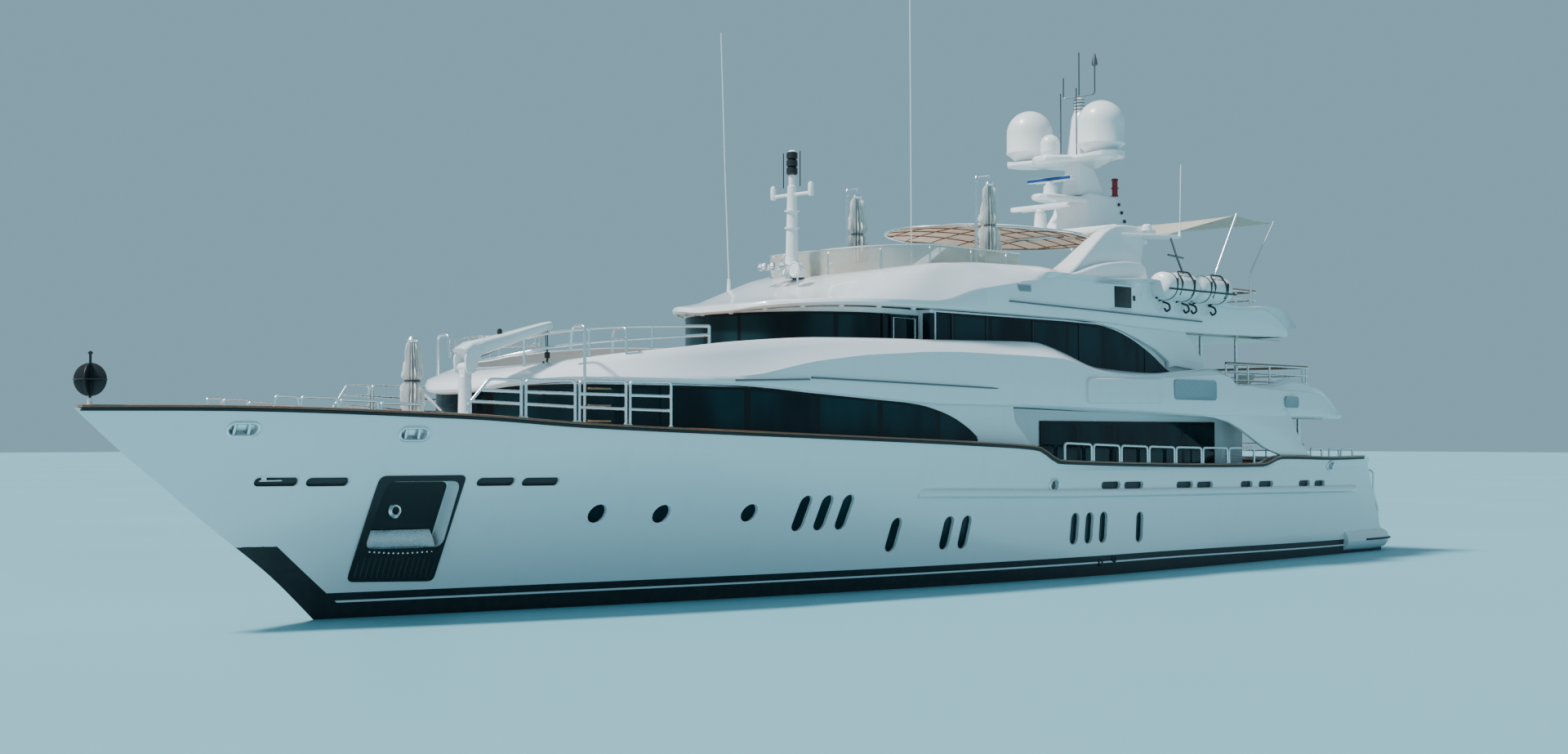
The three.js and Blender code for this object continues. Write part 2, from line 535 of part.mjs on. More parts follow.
// Sliding doors: leaves that run on the outer face of their bulkhead
const LEAF = 0.05;
function slidingLeaf(bulkheadX, floorZ, topZ) {
  const x1 = bulkheadX - RUNNING_GAP;
  return block([x1 - LEAF, 0.008, floorZ + PIN_GAP], [x1, DOOR_HALF + 0.05, topZ]);
}
const SLIDING_DOORS = [
  ["saloon_door", SALOON_AFT_X, MAIN_DECK_Z, 4.26],
  ["lounge_door", LOUNGE_AFT_X, UPPER_DECK_Z, 6.8],
];
for (const [name, x, floor, top] of SLIDING_DOORS) {
  const leaf = slidingLeaf(x, floor, top);
  add(name + "_port", leaf, GLAZING, 0.1);
  add(name + "_starboard", mirrored(leaf), GLAZING, 0.1);
}

// Wheelhouse side doors, which slide forward along the outer face of the wall
const wheelhouseWallY = WHEELHOUSE.side(WHEELHOUSE.aft) + 0.01;
const bridgeLeaf = block(
  [WHEELHOUSE_DOOR.x[0] - 0.05, wheelhouseWallY + RUNNING_GAP, UPPER_DECK_Z + PIN_GAP],
  [WHEELHOUSE_DOOR.x[1] + 0.05, wheelhouseWallY + RUNNING_GAP + LEAF, WHEELHOUSE_DOOR.z[1]],
);
add("wheelhouse_door_port", bridgeLeaf, GLAZING, 0.1);
add("wheelhouse_door_starboard", mirrored(bridgeLeaf), GLAZING, 0.1);

// Garage door, flush with the transom and hinged along its top edge
const garageDoorZ = [GARAGE_Z[0] + 0.02, GARAGE_Z[1] - PIN_GAP];
const [doorFootX, doorHeadX] = garageDoorZ.map((z) => along(TRANSOM_X, z));
const garageDoorSection = [[doorFootX, garageDoorZ[0]], [doorHeadX, garageDoorZ[1]], [doorHeadX + 0.12, garageDoorZ[1]],
  [doorFootX + 0.12, garageDoorZ[0]]];
const garageDoor = sideProfile(garageDoorSection, -GARAGE_HALF + 0.02, GARAGE_HALF - 0.02);
add("garage_door", garageDoor, WHITE, 0.25);

// Curved windscreen of the sun deck
const SCREEN = { aft: -3.3, bend: -0.4, front: 2.2, power: 2.3, side: (x) => beamAt(x) - 1.76, steps: 5 };
const screen = cut(
  tier(SCREEN, 8.0, 8.85, 0.04),
  tier({ ...SCREEN, aft: -4 }, 7.5, 9.2, 0.04 + GLASS),
  sideProfile([[4, 8.2], [4, 9.2], [1.4, 8.85], [2.6, 8.5]], -5, 5),
  sunDeckTool,
);
add("sun_deck_windscreen", mainBody(screen), CANVAS, 0.1);

// Axes of the two radar scanners, as x and the level of the top of the post
const UPPER_RADAR = [-8.45, 11.5];
const LOWER_RADAR = [-7.95, 10.6];

// Radar arch over the sun deck
const ARCH_LEG = [[-5.6, 8.4], [-6.55, 9.09], [-7.35, 9.74], [-8.0, 10.02], [-9.6, 10.02], [-9.3, 9.5], [-9.35, 8.9],
  [-9.9, 8.3], [-10.6, 7.9], [-10.6, 7.4], [-5.6, 7.4]];
const ARCH_Y = [2.75, 3.15];
function buildArch() {
  const leg = sideProfile(ARCH_LEG, ARCH_Y[0], ARCH_Y[1]);
  const roof = block([-12.2, -ARCH_Y[1], 9.82], [-7.6, ARCH_Y[1], 10.02]);
  const roofTrim = planProfile([[-9.6, 4], [-9.6, 2.4], [-12.3, 1.0], [-12.3, 4]], 9, 11);
  const wing = planProfile([[-8.2, 3.1], [-9.4, 3.1], [-10.2, 3.75], [-9.0, 3.75]], 9.75, 9.86);
  return join(cut(roof, bothSides(roofTrim)), bothSides(leg), bothSides(wing));
}
const radarPost = ([x, top], foot) => turned([[0, foot], [0.24, foot], [0.18, top], [0, top]], x, 0, 12);
const archSolid = mainBody(cut(join(buildArch(), radarPost(LOWER_RADAR, 9.9)), sunDeckTool));
add("radar_arch", archSolid, WHITE, 0.25);

// Mast: a fairing on the arch, a column and the wing that carries the domes
const FAIRING = [[-8.9, 10.02], [-9.3, 10.7], [-9.35, 11.2], [-11.1, 11.3], [-11.35, 11.1], [-12.0, 10.02]];
const COLUMN = [[-9.5, 11.2], [-9.6, 12.3], [-9.7, 13.9], [-10.2, 13.9], [-10.3, 12.3], [-10.9, 11.2]];
const DOME_X = -9.2;
const DOME_Y = 1.36;
const WING_Z = [12.15, 12.4];
function buildMast() {
  const fairing = sideProfile(FAIRING, -0.75, 0.75);
  const column = sideProfile(COLUMN, -0.28, 0.28);
  const wing = planProfile([[-8.0, 0.35], [-8.75, 0.6], [-8.8, 2.0], [-9.7, 2.0], [-10.3, 0.45], [-10.3, -0.45],
    [-9.7, -2.0], [-8.8, -2.0], [-8.75, -0.6], [-8.0, -0.35]], WING_Z[0], WING_Z[1]);
  const radarShelf = planProfile([[-7.9, 0.3], [-9.5, 0.55], [-9.5, -0.55], [-7.9, -0.3]], 11.05, 11.18);
  const aerials = [
    bar([-9.95, 0, 13.8], [-9.95, 0, 15.83], 0.035),
    bar([-9.95, -0.6, 14.4], [-9.95, 0.6, 14.4], 0.03),
    bar([-9.95, -0.6, 14.38], [-9.95, -0.6, 15.1], 0.03),
    bar([-9.95, 0.6, 14.38], [-9.95, 0.6, 15.4], 0.03),
  ];
  const lamps = bar([-11.2, 0.45, 11.1], [-11.2, 0.45, 11.95], 0.11, 10);
  return join(fairing, column, wing, radarShelf, radarPost(UPPER_RADAR, 11.1), aerials, lamps);
}
function dome(x, y, foot, radius, height) {
  const rim = foot + 0.16 * height;
  const shoulder = rim + 0.4 * height;
  const profile = [[0, foot], [0.55 * radius, foot], [0.92 * radius, rim], [radius, rim + 0.05 * height]];
  profile.push([radius, shoulder]);
  for (let i = 1; i <= 5; i++) {
    const angle = (i / 5) * (Math.PI / 2);
    profile.push([i === 5 ? 0 : radius * Math.cos(angle), shoulder + 0.44 * height * Math.sin(angle)]);
  }
  return turned(profile, x, y);
}
const bigDome = dome(DOME_X, DOME_Y, WING_Z[1] + SEAT, 0.73, 1.65);
add("satellite_dome_port", bigDome, WHITE, 0.3);
add("satellite_dome_starboard", mirrored(bigDome), WHITE, 0.3);
const smallDome = dome(-8.45, 0, WING_Z[1] - 0.02, 0.3, 0.7);
add("mast", mainBody(cut(join(buildMast(), smallDome), swollen(archSolid))), WHITE, 0.3);

// Radar scanners, which turn on their posts
function scanner([x, top], length, height) {
  const z = top + PIN_GAP;
  const bar0 = block([x - 0.1, -length / 2, z + 0.1], [x + 0.1, length / 2, z + 0.1 + height]);
  return join(bar0, turned([[0, z], [0.14, z], [0.14, z + 0.12], [0, z + 0.12]], x, 0, 10));
}
add("radar_scanner_upper", scanner(UPPER_RADAR, 1.7, 0.14), WHITE, 0.4);
add("radar_scanner_lower", scanner(LOWER_RADAR, 2.2, 0.16), WHITE, 0.4);

// Signal mast on the wheelhouse roof, with horns and a searchlight at its foot
const SIGNAL_X = 2.75;
function buildSignalMast() {
  return join(
    bar([SIGNAL_X, 0, 7.9], [SIGNAL_X, 0, 10.4], 0.17, 12, 0.12),
    bar([SIGNAL_X, 0, 10.3], [SIGNAL_X, 0, 11.38], 0.09, 10),
    bar([SIGNAL_X, -0.75, 10.2], [SIGNAL_X, 0.75, 10.2], 0.05),
    bar([SIGNAL_X, -0.7, 10.15], [SIGNAL_X, -0.7, 10.5], 0.08, 8),
    bar([SIGNAL_X, 0.7, 10.15], [SIGNAL_X, 0.7, 10.5], 0.08, 8),
  );
}
function buildHorns() {
  const x = SIGNAL_X + 0.45;
  const post = bar([SIGNAL_X, 0, 8.25], [x, 0, 8.25], 0.06, 8);
  const cross = bar([x, -0.45, 8.25], [x, 0.45, 8.25], 0.05, 8);
  const horns = [-0.4, -0.15, 0.15, 0.4].map((y) => bar([x - 0.1, y, 8.25], [x + 0.35, y, 8.25], 0.05, 8, 0.12));
  return join(post, cross, horns);
}
add("signal_mast", cut(join(buildSignalMast(), buildHorns()), sunDeckTool), WHITE, 0.35);

// Whip aerials
const WHIPS = [["whip_aerial_port", 0.6, 2.3, 16.6, 0.05], ["whip_aerial_starboard", 2.6, -2.6, 14.9, 0.3]];
for (const [name, x, y, top, lean] of WHIPS) {
  const foot = SUN_DECK_Z - 0.05;
  const socket = bar([x, y, foot], [x, y, foot + 0.5], 0.06, 8, 0.03);
  const whip = bar([x, y, foot + 0.4], [x + lean, y, top], 0.022, 5, 0.012);
  add(name, cut(join(socket, whip), sunDeckTool), WHITE, 0.4);
}

// Sun deck canopy: a round lattice on curved legs from the arch
const CANOPY = { x: -5.6, z: 9.64, halfWidth: 2.6, stretch: 3.8 / 2.6 };
function buildCanopy() {
  const { z, halfWidth: r } = CANOPY;
  const ring = turned([[r - 0.1, z], [r, z], [r, z + 0.09], [r - 0.1, z + 0.09], [r - 0.1, z]], 0, 0, 32);
  const slats = [];
  for (let i = -4; i <= 4; i++) {
    const offset = (i / 5) * r;
    const reach = Math.sqrt(r * r - offset * offset) - 0.03;
    slats.push(block([-reach, offset - 0.09, z + 0.01], [reach, offset + 0.09, z + 0.06]));
    if (i % 2 === 0) slats.push(block([offset - 0.04, -reach, z + 0.02], [offset + 0.04, reach, z + 0.08]));
  }
  const oval = join(ring, slats).scale([CANOPY.stretch, 1, 1]).translate([CANOPY.x, 0, 0]);
  const leg = join(bars([[-6.2, 2.54, z + 0.04], [-6.6, 2.9, z - 0.15], [-6.9, 2.95, z - 0.5]], 0.04, 5));
  return join(oval, bothSides(leg));
}
add("sun_deck_canopy", mainBody(cut(buildCanopy(), swollen(archSolid))), CANVAS, 0.7);

// Aft awning, stretched from the arch to two raking poles each side. A pole is its foot, knee and tip as [x, z].
const POLE_Y = 2.95;
const POLE_RADIUS = 0.045;
const FORE_POLE = [[-12.9, SUN_DECK_Z], [-12.99, 8.9], [-14.25, 10.87]];
const AFT_POLE = [[-15.0, SUN_DECK_Z], [-15.05, 9.03], [-16.5, 10.8]];
const poleBars = (pole) => bars(pole.map(([x, z]) => [x, POLE_Y, z]), POLE_RADIUS, 8);
const awningPole = join(poleBars(FORE_POLE), poleBars(AFT_POLE));
function buildAwning() {
  const half = POLE_Y - POLE_RADIUS - PIN_GAP;
  const section = (x, y, z) => closedRing([point(x, y, z), point(x, y, z + 0.03)]);
  return loft([section(-12.2 - SEAT, 0.9, 9.98), section(-14.25, half, 10.8), section(-16.5, half, 10.73)]);
}
add("aft_awning", buildAwning(), CANVAS, 0.9);

// Folded parasols. Two hang from a frame that stands ahead of them, and the one at the bow stands on its pole.
const PARASOL_DROP = 1.75;
function buildParasolFrame(x, y, floor, top, ahead) {
  const plate = block([x + ahead - 0.35, y - 0.35, floor], [x + ahead + 0.35, y + 0.35, floor + 0.08]);
  if (ahead === 0) return join(plate, bar([x, y, floor + 0.04], [x, y, top - PARASOL_DROP - SEAT], 0.045, 8));
  const post = bars([[x + ahead, y, floor + 0.04], [x + ahead, y, top], [x, y, top + 0.06]], 0.045, 8);
  return join(plate, post, bar([x, y, top + 0.1], [x, y, top - 0.25], 0.04, 8));
}
const PARASOLS = [
  ["parasol_fore", 1.2, 0.9, SUN_DECK_Z, 10.4, 0.4],
  ["parasol_mid", -2.76, 2.2, SUN_DECK_Z, 11.0, 0.57],
  ["parasol_bow", 14.7, 0.3, FOREDECK_Z, 6.12, 0],
];
for (const [name, x, y, floor, top, ahead] of PARASOLS) {
  const frame = buildParasolFrame(x, y, floor, top, ahead);
  const hem = top - PARASOL_DROP;
  const gathered = [[0, hem], [0.24, hem], [0.2, top - 1.0], [0.14, top - 0.3], [0, top - 0.25 - SEAT]];
  const cloth = turned(gathered, x, y, 10);
  add(name + "_frame", cut(frame, upperDeckTool, sunDeckTool, hullTool), STEEL, 0.2, 1);
  add(name, cloth, CLOTH, 0.9);
}

// Life rafts in their racks, outboard of the sun deck
function buildRafts() {
  const [y, z, radius, length] = [4.0, 8.24, 0.37, 1.74];
  const raft = (x0) => {
    const end = [[0, 0], [0.28, 0.03], [radius, 0.14]];
    const body = [...end, ...end.map(([r, a]) => [r, length - a]).reverse()];
    const geometry = new THREE.LatheGeometry(body.map(([r, a]) => new THREE.Vector2(r, a)), 12);
    geometry.rotateZ(-Math.PI / 2);
    geometry.translate(x0, y, z);
    return solidOf(geometry);
  };
  const [low, side] = [z - radius - 0.02, y + radius];
  const rack = (x) => bars([[x, 3.35, low - 0.08], [x, y - 0.1, low], [x, side, low + 0.25]], 0.045, RAIL_SIDES);
  const rail = (a, b) => bar([-11.85, a, b], [-8.3, a, b], 0.04, RAIL_SIDES);
  const racks = [-8.7, -9.6, -10.5, -11.4].flatMap(rack);
  return join(raft(-10.03), raft(-11.82), racks, rail(side, low + 0.25), rail(y - 0.1, low));
}
const rafts = mainBody(cut(buildRafts(), sunDeckTool));
add("life_rafts_port", rafts, WHITE, 0.35);
add("life_rafts_starboard", mirrored(rafts), WHITE, 0.35);

// Guard rails
// Feet hold [x, y, z] and, where the rail slopes against its deck, the level of the top bar
function levelRail(feet, lowerShares, radius = RAIL_RADIUS) {
  const lifted = (share) => feet.map(([x, y, z, topZ]) => [x, y, z + (topZ - z) * share]);
  const posts = feet.map(([x, y, z, topZ]) => bar([x, y, z - 0.05], [x, y, topZ], radius, RAIL_SIDES));
  const lower = lowerShares.flatMap((share) => bars(lifted(share), radius * 0.8, RAIL_SIDES));
  return join(posts, bars(lifted(1), radius, RAIL_SIDES), lower);
}
const BULWARK_TOP = (x) => [x, beamAt(x) - 0.07, along(RAIL_Z, x) + 0.07];
const mirroredFeet = (feet) => feet.map(([x, y, z]) => [x, -y, z]);
function addRail(name, solid, ...tools) {
  add(name, cut(solid, ...tools), STEEL, 0.2, 1);
}

// The capping of the bulwark, with the rails that stand on it
const CAP_STATIONS = [-19.6, ...HULL_STATIONS.filter((x) => x > -19.6 && x < 21.5), 21.5];
function buildCapping() {
  const half = (x) => Math.max(0.02, beamAt(x));
  const section = (x) => {
    const [y, z] = [half(x), along(RAIL_Z, x) + 3 * SEAT];
    const inner = Math.max(0.005, y - 0.26);
    const ring = [[y + 0.05, z], [y + 0.05, z + 0.05], [inner, z + 0.05], [inner, z]];
    return ring.map(([a, b]) => point(x, a, b));
  };
  return loft(CAP_STATIONS.map(section));
}
const bowFeet = [18.6, 17.65, 16.7, 15.75].map(BULWARK_TOP);
const GATE_TOP_Z = 5.02;
const gateFeet = [14.85, 13.7, 12.5, 11.3, 10.2].map((x) => [...BULWARK_TOP(x), GATE_TOP_Z]);
const sideFeet = [-3.0, -4.9, -6.8, -8.7, -10.6, -12.5].map(BULWARK_TOP);
const bulwarkRails = join(
  buildCapping(),
  guardRail(bowFeet, 0.18, []),
  levelRail(gateFeet, [0.36, 0.68]),
  guardRail(sideFeet, 0.45, [0.2]),
);
// It comes in two lengths, which meet ahead of the side decks
const CAP_JOINT_X = -2.3;
const aheadOfJoint = block([CAP_JOINT_X + SEAT, 0, 2], [HALF_LENGTH, 5, 6]);
const abaftJoint = block([-HALF_LENGTH, 0, 2], [CAP_JOINT_X, 5, 6]);
const clearedRails = cut(bulwarkRails, hullTool, upperDeckTool, swollen(mainHouse));
const bulwarkRail = mainBody(clearedRails.intersect(aheadOfJoint));
add("bulwark_rail_port", bulwarkRail, STEEL, 0.2, 1);
add("bulwark_rail_starboard", mirrored(bulwarkRail), STEEL, 0.2, 1);
const sideRail = mainBody(clearedRails.intersect(abaftJoint));
add("side_rail_port", sideRail, STEEL, 0.2, 1);
add("side_rail_starboard", mirrored(sideRail), STEEL, 0.2, 1);

// The rail round the front of the bridge deck, which stands on the middle of the coaming
const BRIDGE_RAIL_TOP_Z = [[8.6, 6.35], [10.7, 6.27], [11.7, 6.18], [12.6, 5.95], [12.87, 5.78]];
const BRIDGE_RAIL_FOOT_Z = [[8.6, 5.95], [9.53, 5.84], [10.99, 5.66], [12.16, 5.45], [12.87, 5.27]];
function bridgeFoot(x) {
  const { bend, front, power, side } = BELT_TOP;
  const inset = UPPER_WELL_WALL / 2;
  const share = Math.max(0, (x - bend) / (front - inset - bend));
  const y = (side(x) - inset) * (1 - Math.min(1, share ** power)) ** (1 / power);
  return [x, y, along(BRIDGE_RAIL_FOOT_Z, x), along(BRIDGE_RAIL_TOP_Z, x)];
}
const bridgeFeet = [8.7, 10, 11.2, 12.1, 12.6, BELT_TOP.front - UPPER_WELL_WALL / 2].map(bridgeFoot);
const farBridgeFeet = bridgeFeet.slice(0, -1).reverse().map(([x, y, z, topZ]) => [x, -y, z, topZ]);
const bridgeFeetRound = [...bridgeFeet, ...farBridgeFeet];
addRail("bridge_deck_rail", levelRail(bridgeFeetRound, [0.5]), upperDeckTool);

function aftRailFeet(aft, y, z, fore) {
  const side = [fore, (fore + aft) / 2, aft].map((x) => [x, y, z]);
  return [...side, [aft, y / 3, z], [aft, -y / 3, z], ...mirroredFeet(side).reverse()];
}
const upperAftFeet = aftRailFeet(-17.6, 3.6, UPPER_DECK_Z, -12.5);
addRail("upper_aft_rail", guardRail(upperAftFeet, 1.0, [0.35, 0.7]), upperDeckTool);
const sunRail = guardRail(aftRailFeet(-15.6, 2.9, SUN_DECK_Z, -12.9), 1.0, [0.35, 0.7]);
addRail("sun_deck_aft_rail", join(sunRail, awningPole, mirrored(awningPole)), sunDeckTool);
const transomFeet = [-2.2, -0.75, 0.75, 2.2].map((y) => [-19.6, y, along(RAIL_Z, RAIL_AFT_X) - 0.05]);
addRail("main_aft_rail", guardRail(transomFeet, 0.5, [0.25]), hullTool);

// Tender crane on the foredeck
const CRANE = { x: 14.2, y: 1.55 };
const footProfile = [[0, FOREDECK_Z], [0.3, FOREDECK_Z], [0.24, FOREDECK_Z + 0.25], [0.2, 3.6], [0, 3.6]];
const craneFoot = turned(footProfile, CRANE.x, CRANE.y, 14);
add("crane_pedestal", mainBody(cut(craneFoot, hullTool)), WHITE, 0.3);
const kneeZ = 5.3;
const CHEEK_Y = 0.19; // inner faces of the boom's cheeks, out from the crane's centre plane
const columnProfile = [[0, 3.6 + PIN_GAP], [0.18, 3.6 + PIN_GAP], [0.16, kneeZ - 0.1], [0, kneeZ - 0.08]];
const craneColumn = join(
  turned(columnProfile, CRANE.x, CRANE.y, 14),
  bar([CRANE.x, CRANE.y - CHEEK_Y + PIN_GAP, kneeZ], [CRANE.x, CRANE.y + CHEEK_Y - PIN_GAP, kneeZ], 0.12, 14),
);
add("crane_column", craneColumn, WHITE, 0.3);
const BOOM_TIP = [12.0, 6.3];
function buildBoom() {
  const [aft, fore] = [CRANE.x - 0.3, CRANE.x + 0.14];
  const cheek = (y) => block([aft, y - 0.03, kneeZ - 0.35], [fore, y + 0.03, kneeZ + 0.35]);
  const boom = bar([CRANE.x, CRANE.y, kneeZ + 0.3], [BOOM_TIP[0], CRANE.y, BOOM_TIP[1]], 0.16, 8, 0.09);
  const bridge = block([aft, CRANE.y - 0.25, kneeZ + 0.2], [fore, CRANE.y + 0.25, kneeZ + 0.42]);
  return join(boom, bridge, cheek(CRANE.y - CHEEK_Y - 0.03), cheek(CRANE.y + CHEEK_Y + 0.03));
}
add("crane_boom", buildBoom(), WHITE, 0.3);

// Jackstaff with its day signal ball
const JACK_X = 21.75;
const ballProfile = [[0, 4.58], [0.23, 4.68], [0.32, 4.91], [0.23, 5.15], [0, 5.25]];
const jackFootZ = along(RAIL_Z, JACK_X) + 2 * SEAT;
const staff = bar([JACK_X, 0, jackFootZ], [JACK_X, 0, 5.46], 0.03, 8);
const jack = join(staff, turned(ballProfile, JACK_X, 0, 14));
add("jackstaff", jack, BLACK, 0.5);

// Anchor windlass
const drum = turned([[0, 3.0], [0.22, 3.0], [0.14, 3.3], [0.22, 3.6], [0, 3.62]], 16.5, 0.5, 14);
const windlassBed = block([16.0, -0.75, FOREDECK_Z], [17.0, 0.75, FOREDECK_Z + 0.25]);
const windlass = join(windlassBed, bothSides(drum));
add("windlass", cut(windlass, hullTool), STEEL, 0.25, 1);

// Shafts, propellers and rudders
function buildShaft() {
  const shaft = bar([PROP.x + 0.14, SHAFT_Y, PROP.z], [-8.2, SHAFT_Y, -1.35], 0.09, 10);
  const barrel = bar([PROP.x + 0.12 + PIN_GAP, SHAFT_Y, PROP.z], [PROP.x + 0.75, SHAFT_Y, PROP.z], 0.16, 12);
  const strut = block([PROP.x + 0.3, SHAFT_Y - 0.04, PROP.z], [PROP.x + 0.68, SHAFT_Y + 0.04, -0.5]);
  return join(shaft, barrel, strut);
}
const shaft = mainBody(cut(buildShaft(), hullTool));
add("shaft_and_bracket_port", shaft, STEEL, 0.3, 1);
add("shaft_and_bracket_starboard", mirrored(shaft), STEEL, 0.3, 1);

function buildPropeller() {
  const hubGeometry = new THREE.CylinderGeometry(0.17, 0.12, 0.42, 14);
  hubGeometry.rotateZ(-Math.PI / 2);
  const blades = [];
  for (let i = 0; i < 5; i++) {
    const blade = new THREE.CylinderGeometry(1, 1, 0.05, 14);
    blade.rotateX(Math.PI / 2);
    blade.scale(0.24, (PROP.r - 0.06) / 2, 1);
    blade.translate(0, (PROP.r + 0.06) / 2, 0);
    blade.rotateY(THREE.MathUtils.degToRad(52));
    blade.rotateX((i / 5) * Math.PI * 2);
    blades.push(solidOf(blade));
  }
  return join(solidOf(hubGeometry), blades).translate([PROP.x - 0.09, SHAFT_Y, PROP.z]);
}
const propeller = buildPropeller();
add("propeller_port", propeller, BRONZE, 0.3, 1);
add("propeller_starboard", mirrored(propeller), BRONZE, 0.3, 1);

function buildRudder() {
  const [x, top] = [RUDDER.x, RUDDER.bossZ - 0.1];
  const outline = [[x + 0.4, top], [x + 0.32, -2.5], [x - 0.62, -2.5], [x - 0.8, top]];
  const blade = sideProfile(outline, SHAFT_Y - 0.08, SHAFT_Y + 0.08);
  return join(blade, bar([x, SHAFT_Y, -1.2], [x, SHAFT_Y, RUDDER.bossZ - PIN_GAP], 0.1, 12));
}
const rudder = buildRudder();
add("rudder_port", rudder, WHITE, 0.4);
add("rudder_starboard", mirrored(rudder), WHITE, 0.4);

export default group;
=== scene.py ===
import math

import bpy
from bpy.props import FloatProperty, FloatVectorProperty, PointerProperty
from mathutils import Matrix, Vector


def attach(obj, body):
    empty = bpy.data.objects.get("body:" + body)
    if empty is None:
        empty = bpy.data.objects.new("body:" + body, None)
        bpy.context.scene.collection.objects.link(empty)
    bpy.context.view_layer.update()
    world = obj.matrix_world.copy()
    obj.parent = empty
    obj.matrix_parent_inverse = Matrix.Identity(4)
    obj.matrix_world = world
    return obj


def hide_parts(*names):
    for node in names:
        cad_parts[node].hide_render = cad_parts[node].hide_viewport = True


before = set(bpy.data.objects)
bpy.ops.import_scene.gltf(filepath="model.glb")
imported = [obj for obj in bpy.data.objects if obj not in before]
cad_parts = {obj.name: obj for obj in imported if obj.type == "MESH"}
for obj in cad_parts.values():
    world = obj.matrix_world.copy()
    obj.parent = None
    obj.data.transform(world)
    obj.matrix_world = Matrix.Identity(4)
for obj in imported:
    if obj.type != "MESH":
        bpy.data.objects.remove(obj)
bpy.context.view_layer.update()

bl_info = {
    "name": "Motor yacht dressing",
    "version": (1, 0, 0),
    "blender": (4, 5, 0),
    "location": "View3D > Sidebar > Yacht",
    "description": "Dresses the packed frame of a three deck motor yacht with its visible pieces and finishes",
    "category": "Object",
}

# Lengths are metres of the real yacht, and SCALE brings them to the 1:2 model.
SCALE = 0.5
MAIN_DECK_Z = 2.2
FOREDECK_Z = 2.9
BRIDGE_DECK_Z = 5.05
SUN_DECK_Z = 7.45
BOW_X = 22.1
STERN_RAIL_X = -20.0
HALF_BEAM = 4.63
KNUCKLE_STEP = 0.12
WALL = 0.14
PLATFORM_Z = 0.75

# Tables of (x, value), from stern to bow
RAIL_Z = [(-20, 3.14), (-17.79, 3.12), (-14.02, 3.18), (-12.84, 2.96), (-2.77, 3.14), (-1.71, 3.51), (0.64, 3.63),
          (6.28, 3.83), (8.62, 3.91), (12.28, 4.06), (14.97, 4.24), (19.89, 4.38), (22.1, 4.37)]
KNUCKLE_Z = [(-20, 2.85), (-3, 2.9), (0.6, 3.09), (4, 3.2), (8.7, 3.41), (11.4, 3.57), (16.4, 3.78), (22.1, 3.82)]
KEEL_Z = [(-20, -0.5), (-17, -0.72), (-15.6, -0.88), (-13, -1.35), (-9, -2.0), (-5, -2.3), (14, -2.3), (22.1, -2.0)]
STEM_X = [(-2.3, 12.6), (-2, 13.2), (-1.4, 15), (-0.8, 16.1), (0, 16.9), (0.97, 17.92), (2.1, 19.37), (2.81, 20.24),
          (3.5, 21.09), (4.4, 22.1)]
TRANSOM_X = [(-0.6, -21.2), (0, -21.4), (0.5, -21.4), (3.14, -20)]


def between(low, high, count):
    return [low + (high - low) * i / (count - 1) for i in range(count)]


def along(table, x):
    """The value of a table at x, straight between its rows."""
    if x <= table[0][0]:
        return table[0][1]
    for (x0, v0), (x1, v1) in zip(table, table[1:]):
        if x <= x1:
            return v0 + (v1 - v0) * (x - x0) / (x1 - x0)
    return table[-1][1]


def eased(table, x):
    """The value of a table at x, on a smooth curve that never overshoots its rows."""
    if x <= table[0][0] or x >= table[-1][0]:
        return along(table, x)
    slopes = [(b[1] - a[1]) / (b[0] - a[0]) for a, b in zip(table, table[1:])]

    def tangent(row):
        if row == 0 or row == len(table) - 1:
            return slopes[min(row, len(slopes) - 1)]
        before, after = slopes[row - 1], slopes[row]
        return 0 if before * after <= 0 else 2 * before * after / (before + after)

    row = next(i for i in range(len(slopes)) if x <= table[i + 1][0])
    (x0, v0), (x1, v1) = table[row], table[row + 1]
    width = x1 - x0
    t = (x - x0) / width
    rise = v1 - v0
    m0, m1 = tangent(row) * width, tangent(row + 1) * width
    return v0 + t * (m0 + t * ((3 * rise - 2 * m0 - m1) + t * (m0 + m1 - 2 * rise)))


def beam_at(x):
    """Half breadth of the hull at its rail."""
    if x > 0:
        return HALF_BEAM * (1 - min(1, x / BOW_X) ** 2.2)
    if x < -14:
        return HALF_BEAM - 0.43 * ((-14 - x) / 8) ** 1.6
    return HALF_BEAM


def water_half_at(x):
    full = 4.35 - 0.3 * max(0, (-8 - x) / 13) ** 2
    return full * (1 - min(1, max(0, x + 6) / 22.9) ** 1.5)


def lean_x(rail_x, z):
    """A station keeps its rail position, and its lower points lean with the stem and the transom."""
    bow_start = 8 + 14 * min(0, z) / 2.2
    bow = max(0, (rail_x - bow_start) / (BOW_X - bow_start)) ** 2
    stern = max(0, (-14 - rail_x) / 6)
    return rail_x - (BOW_X - eased(STEM_X, z)) * bow + (along(TRANSOM_X, z) - STERN_RAIL_X) * stern


def knuckle_half_at(rail_x):
    rail_half = beam_at(rail_x)
    return rail_half - KNUCKLE_STEP * min(1, rail_half)


def flare_at(rail_x):
    """How far the topsides hollow out towards the bow."""
    return 1.02 + 0.3 * min(1, max(0, (rail_x + 2) / 24) * 2)


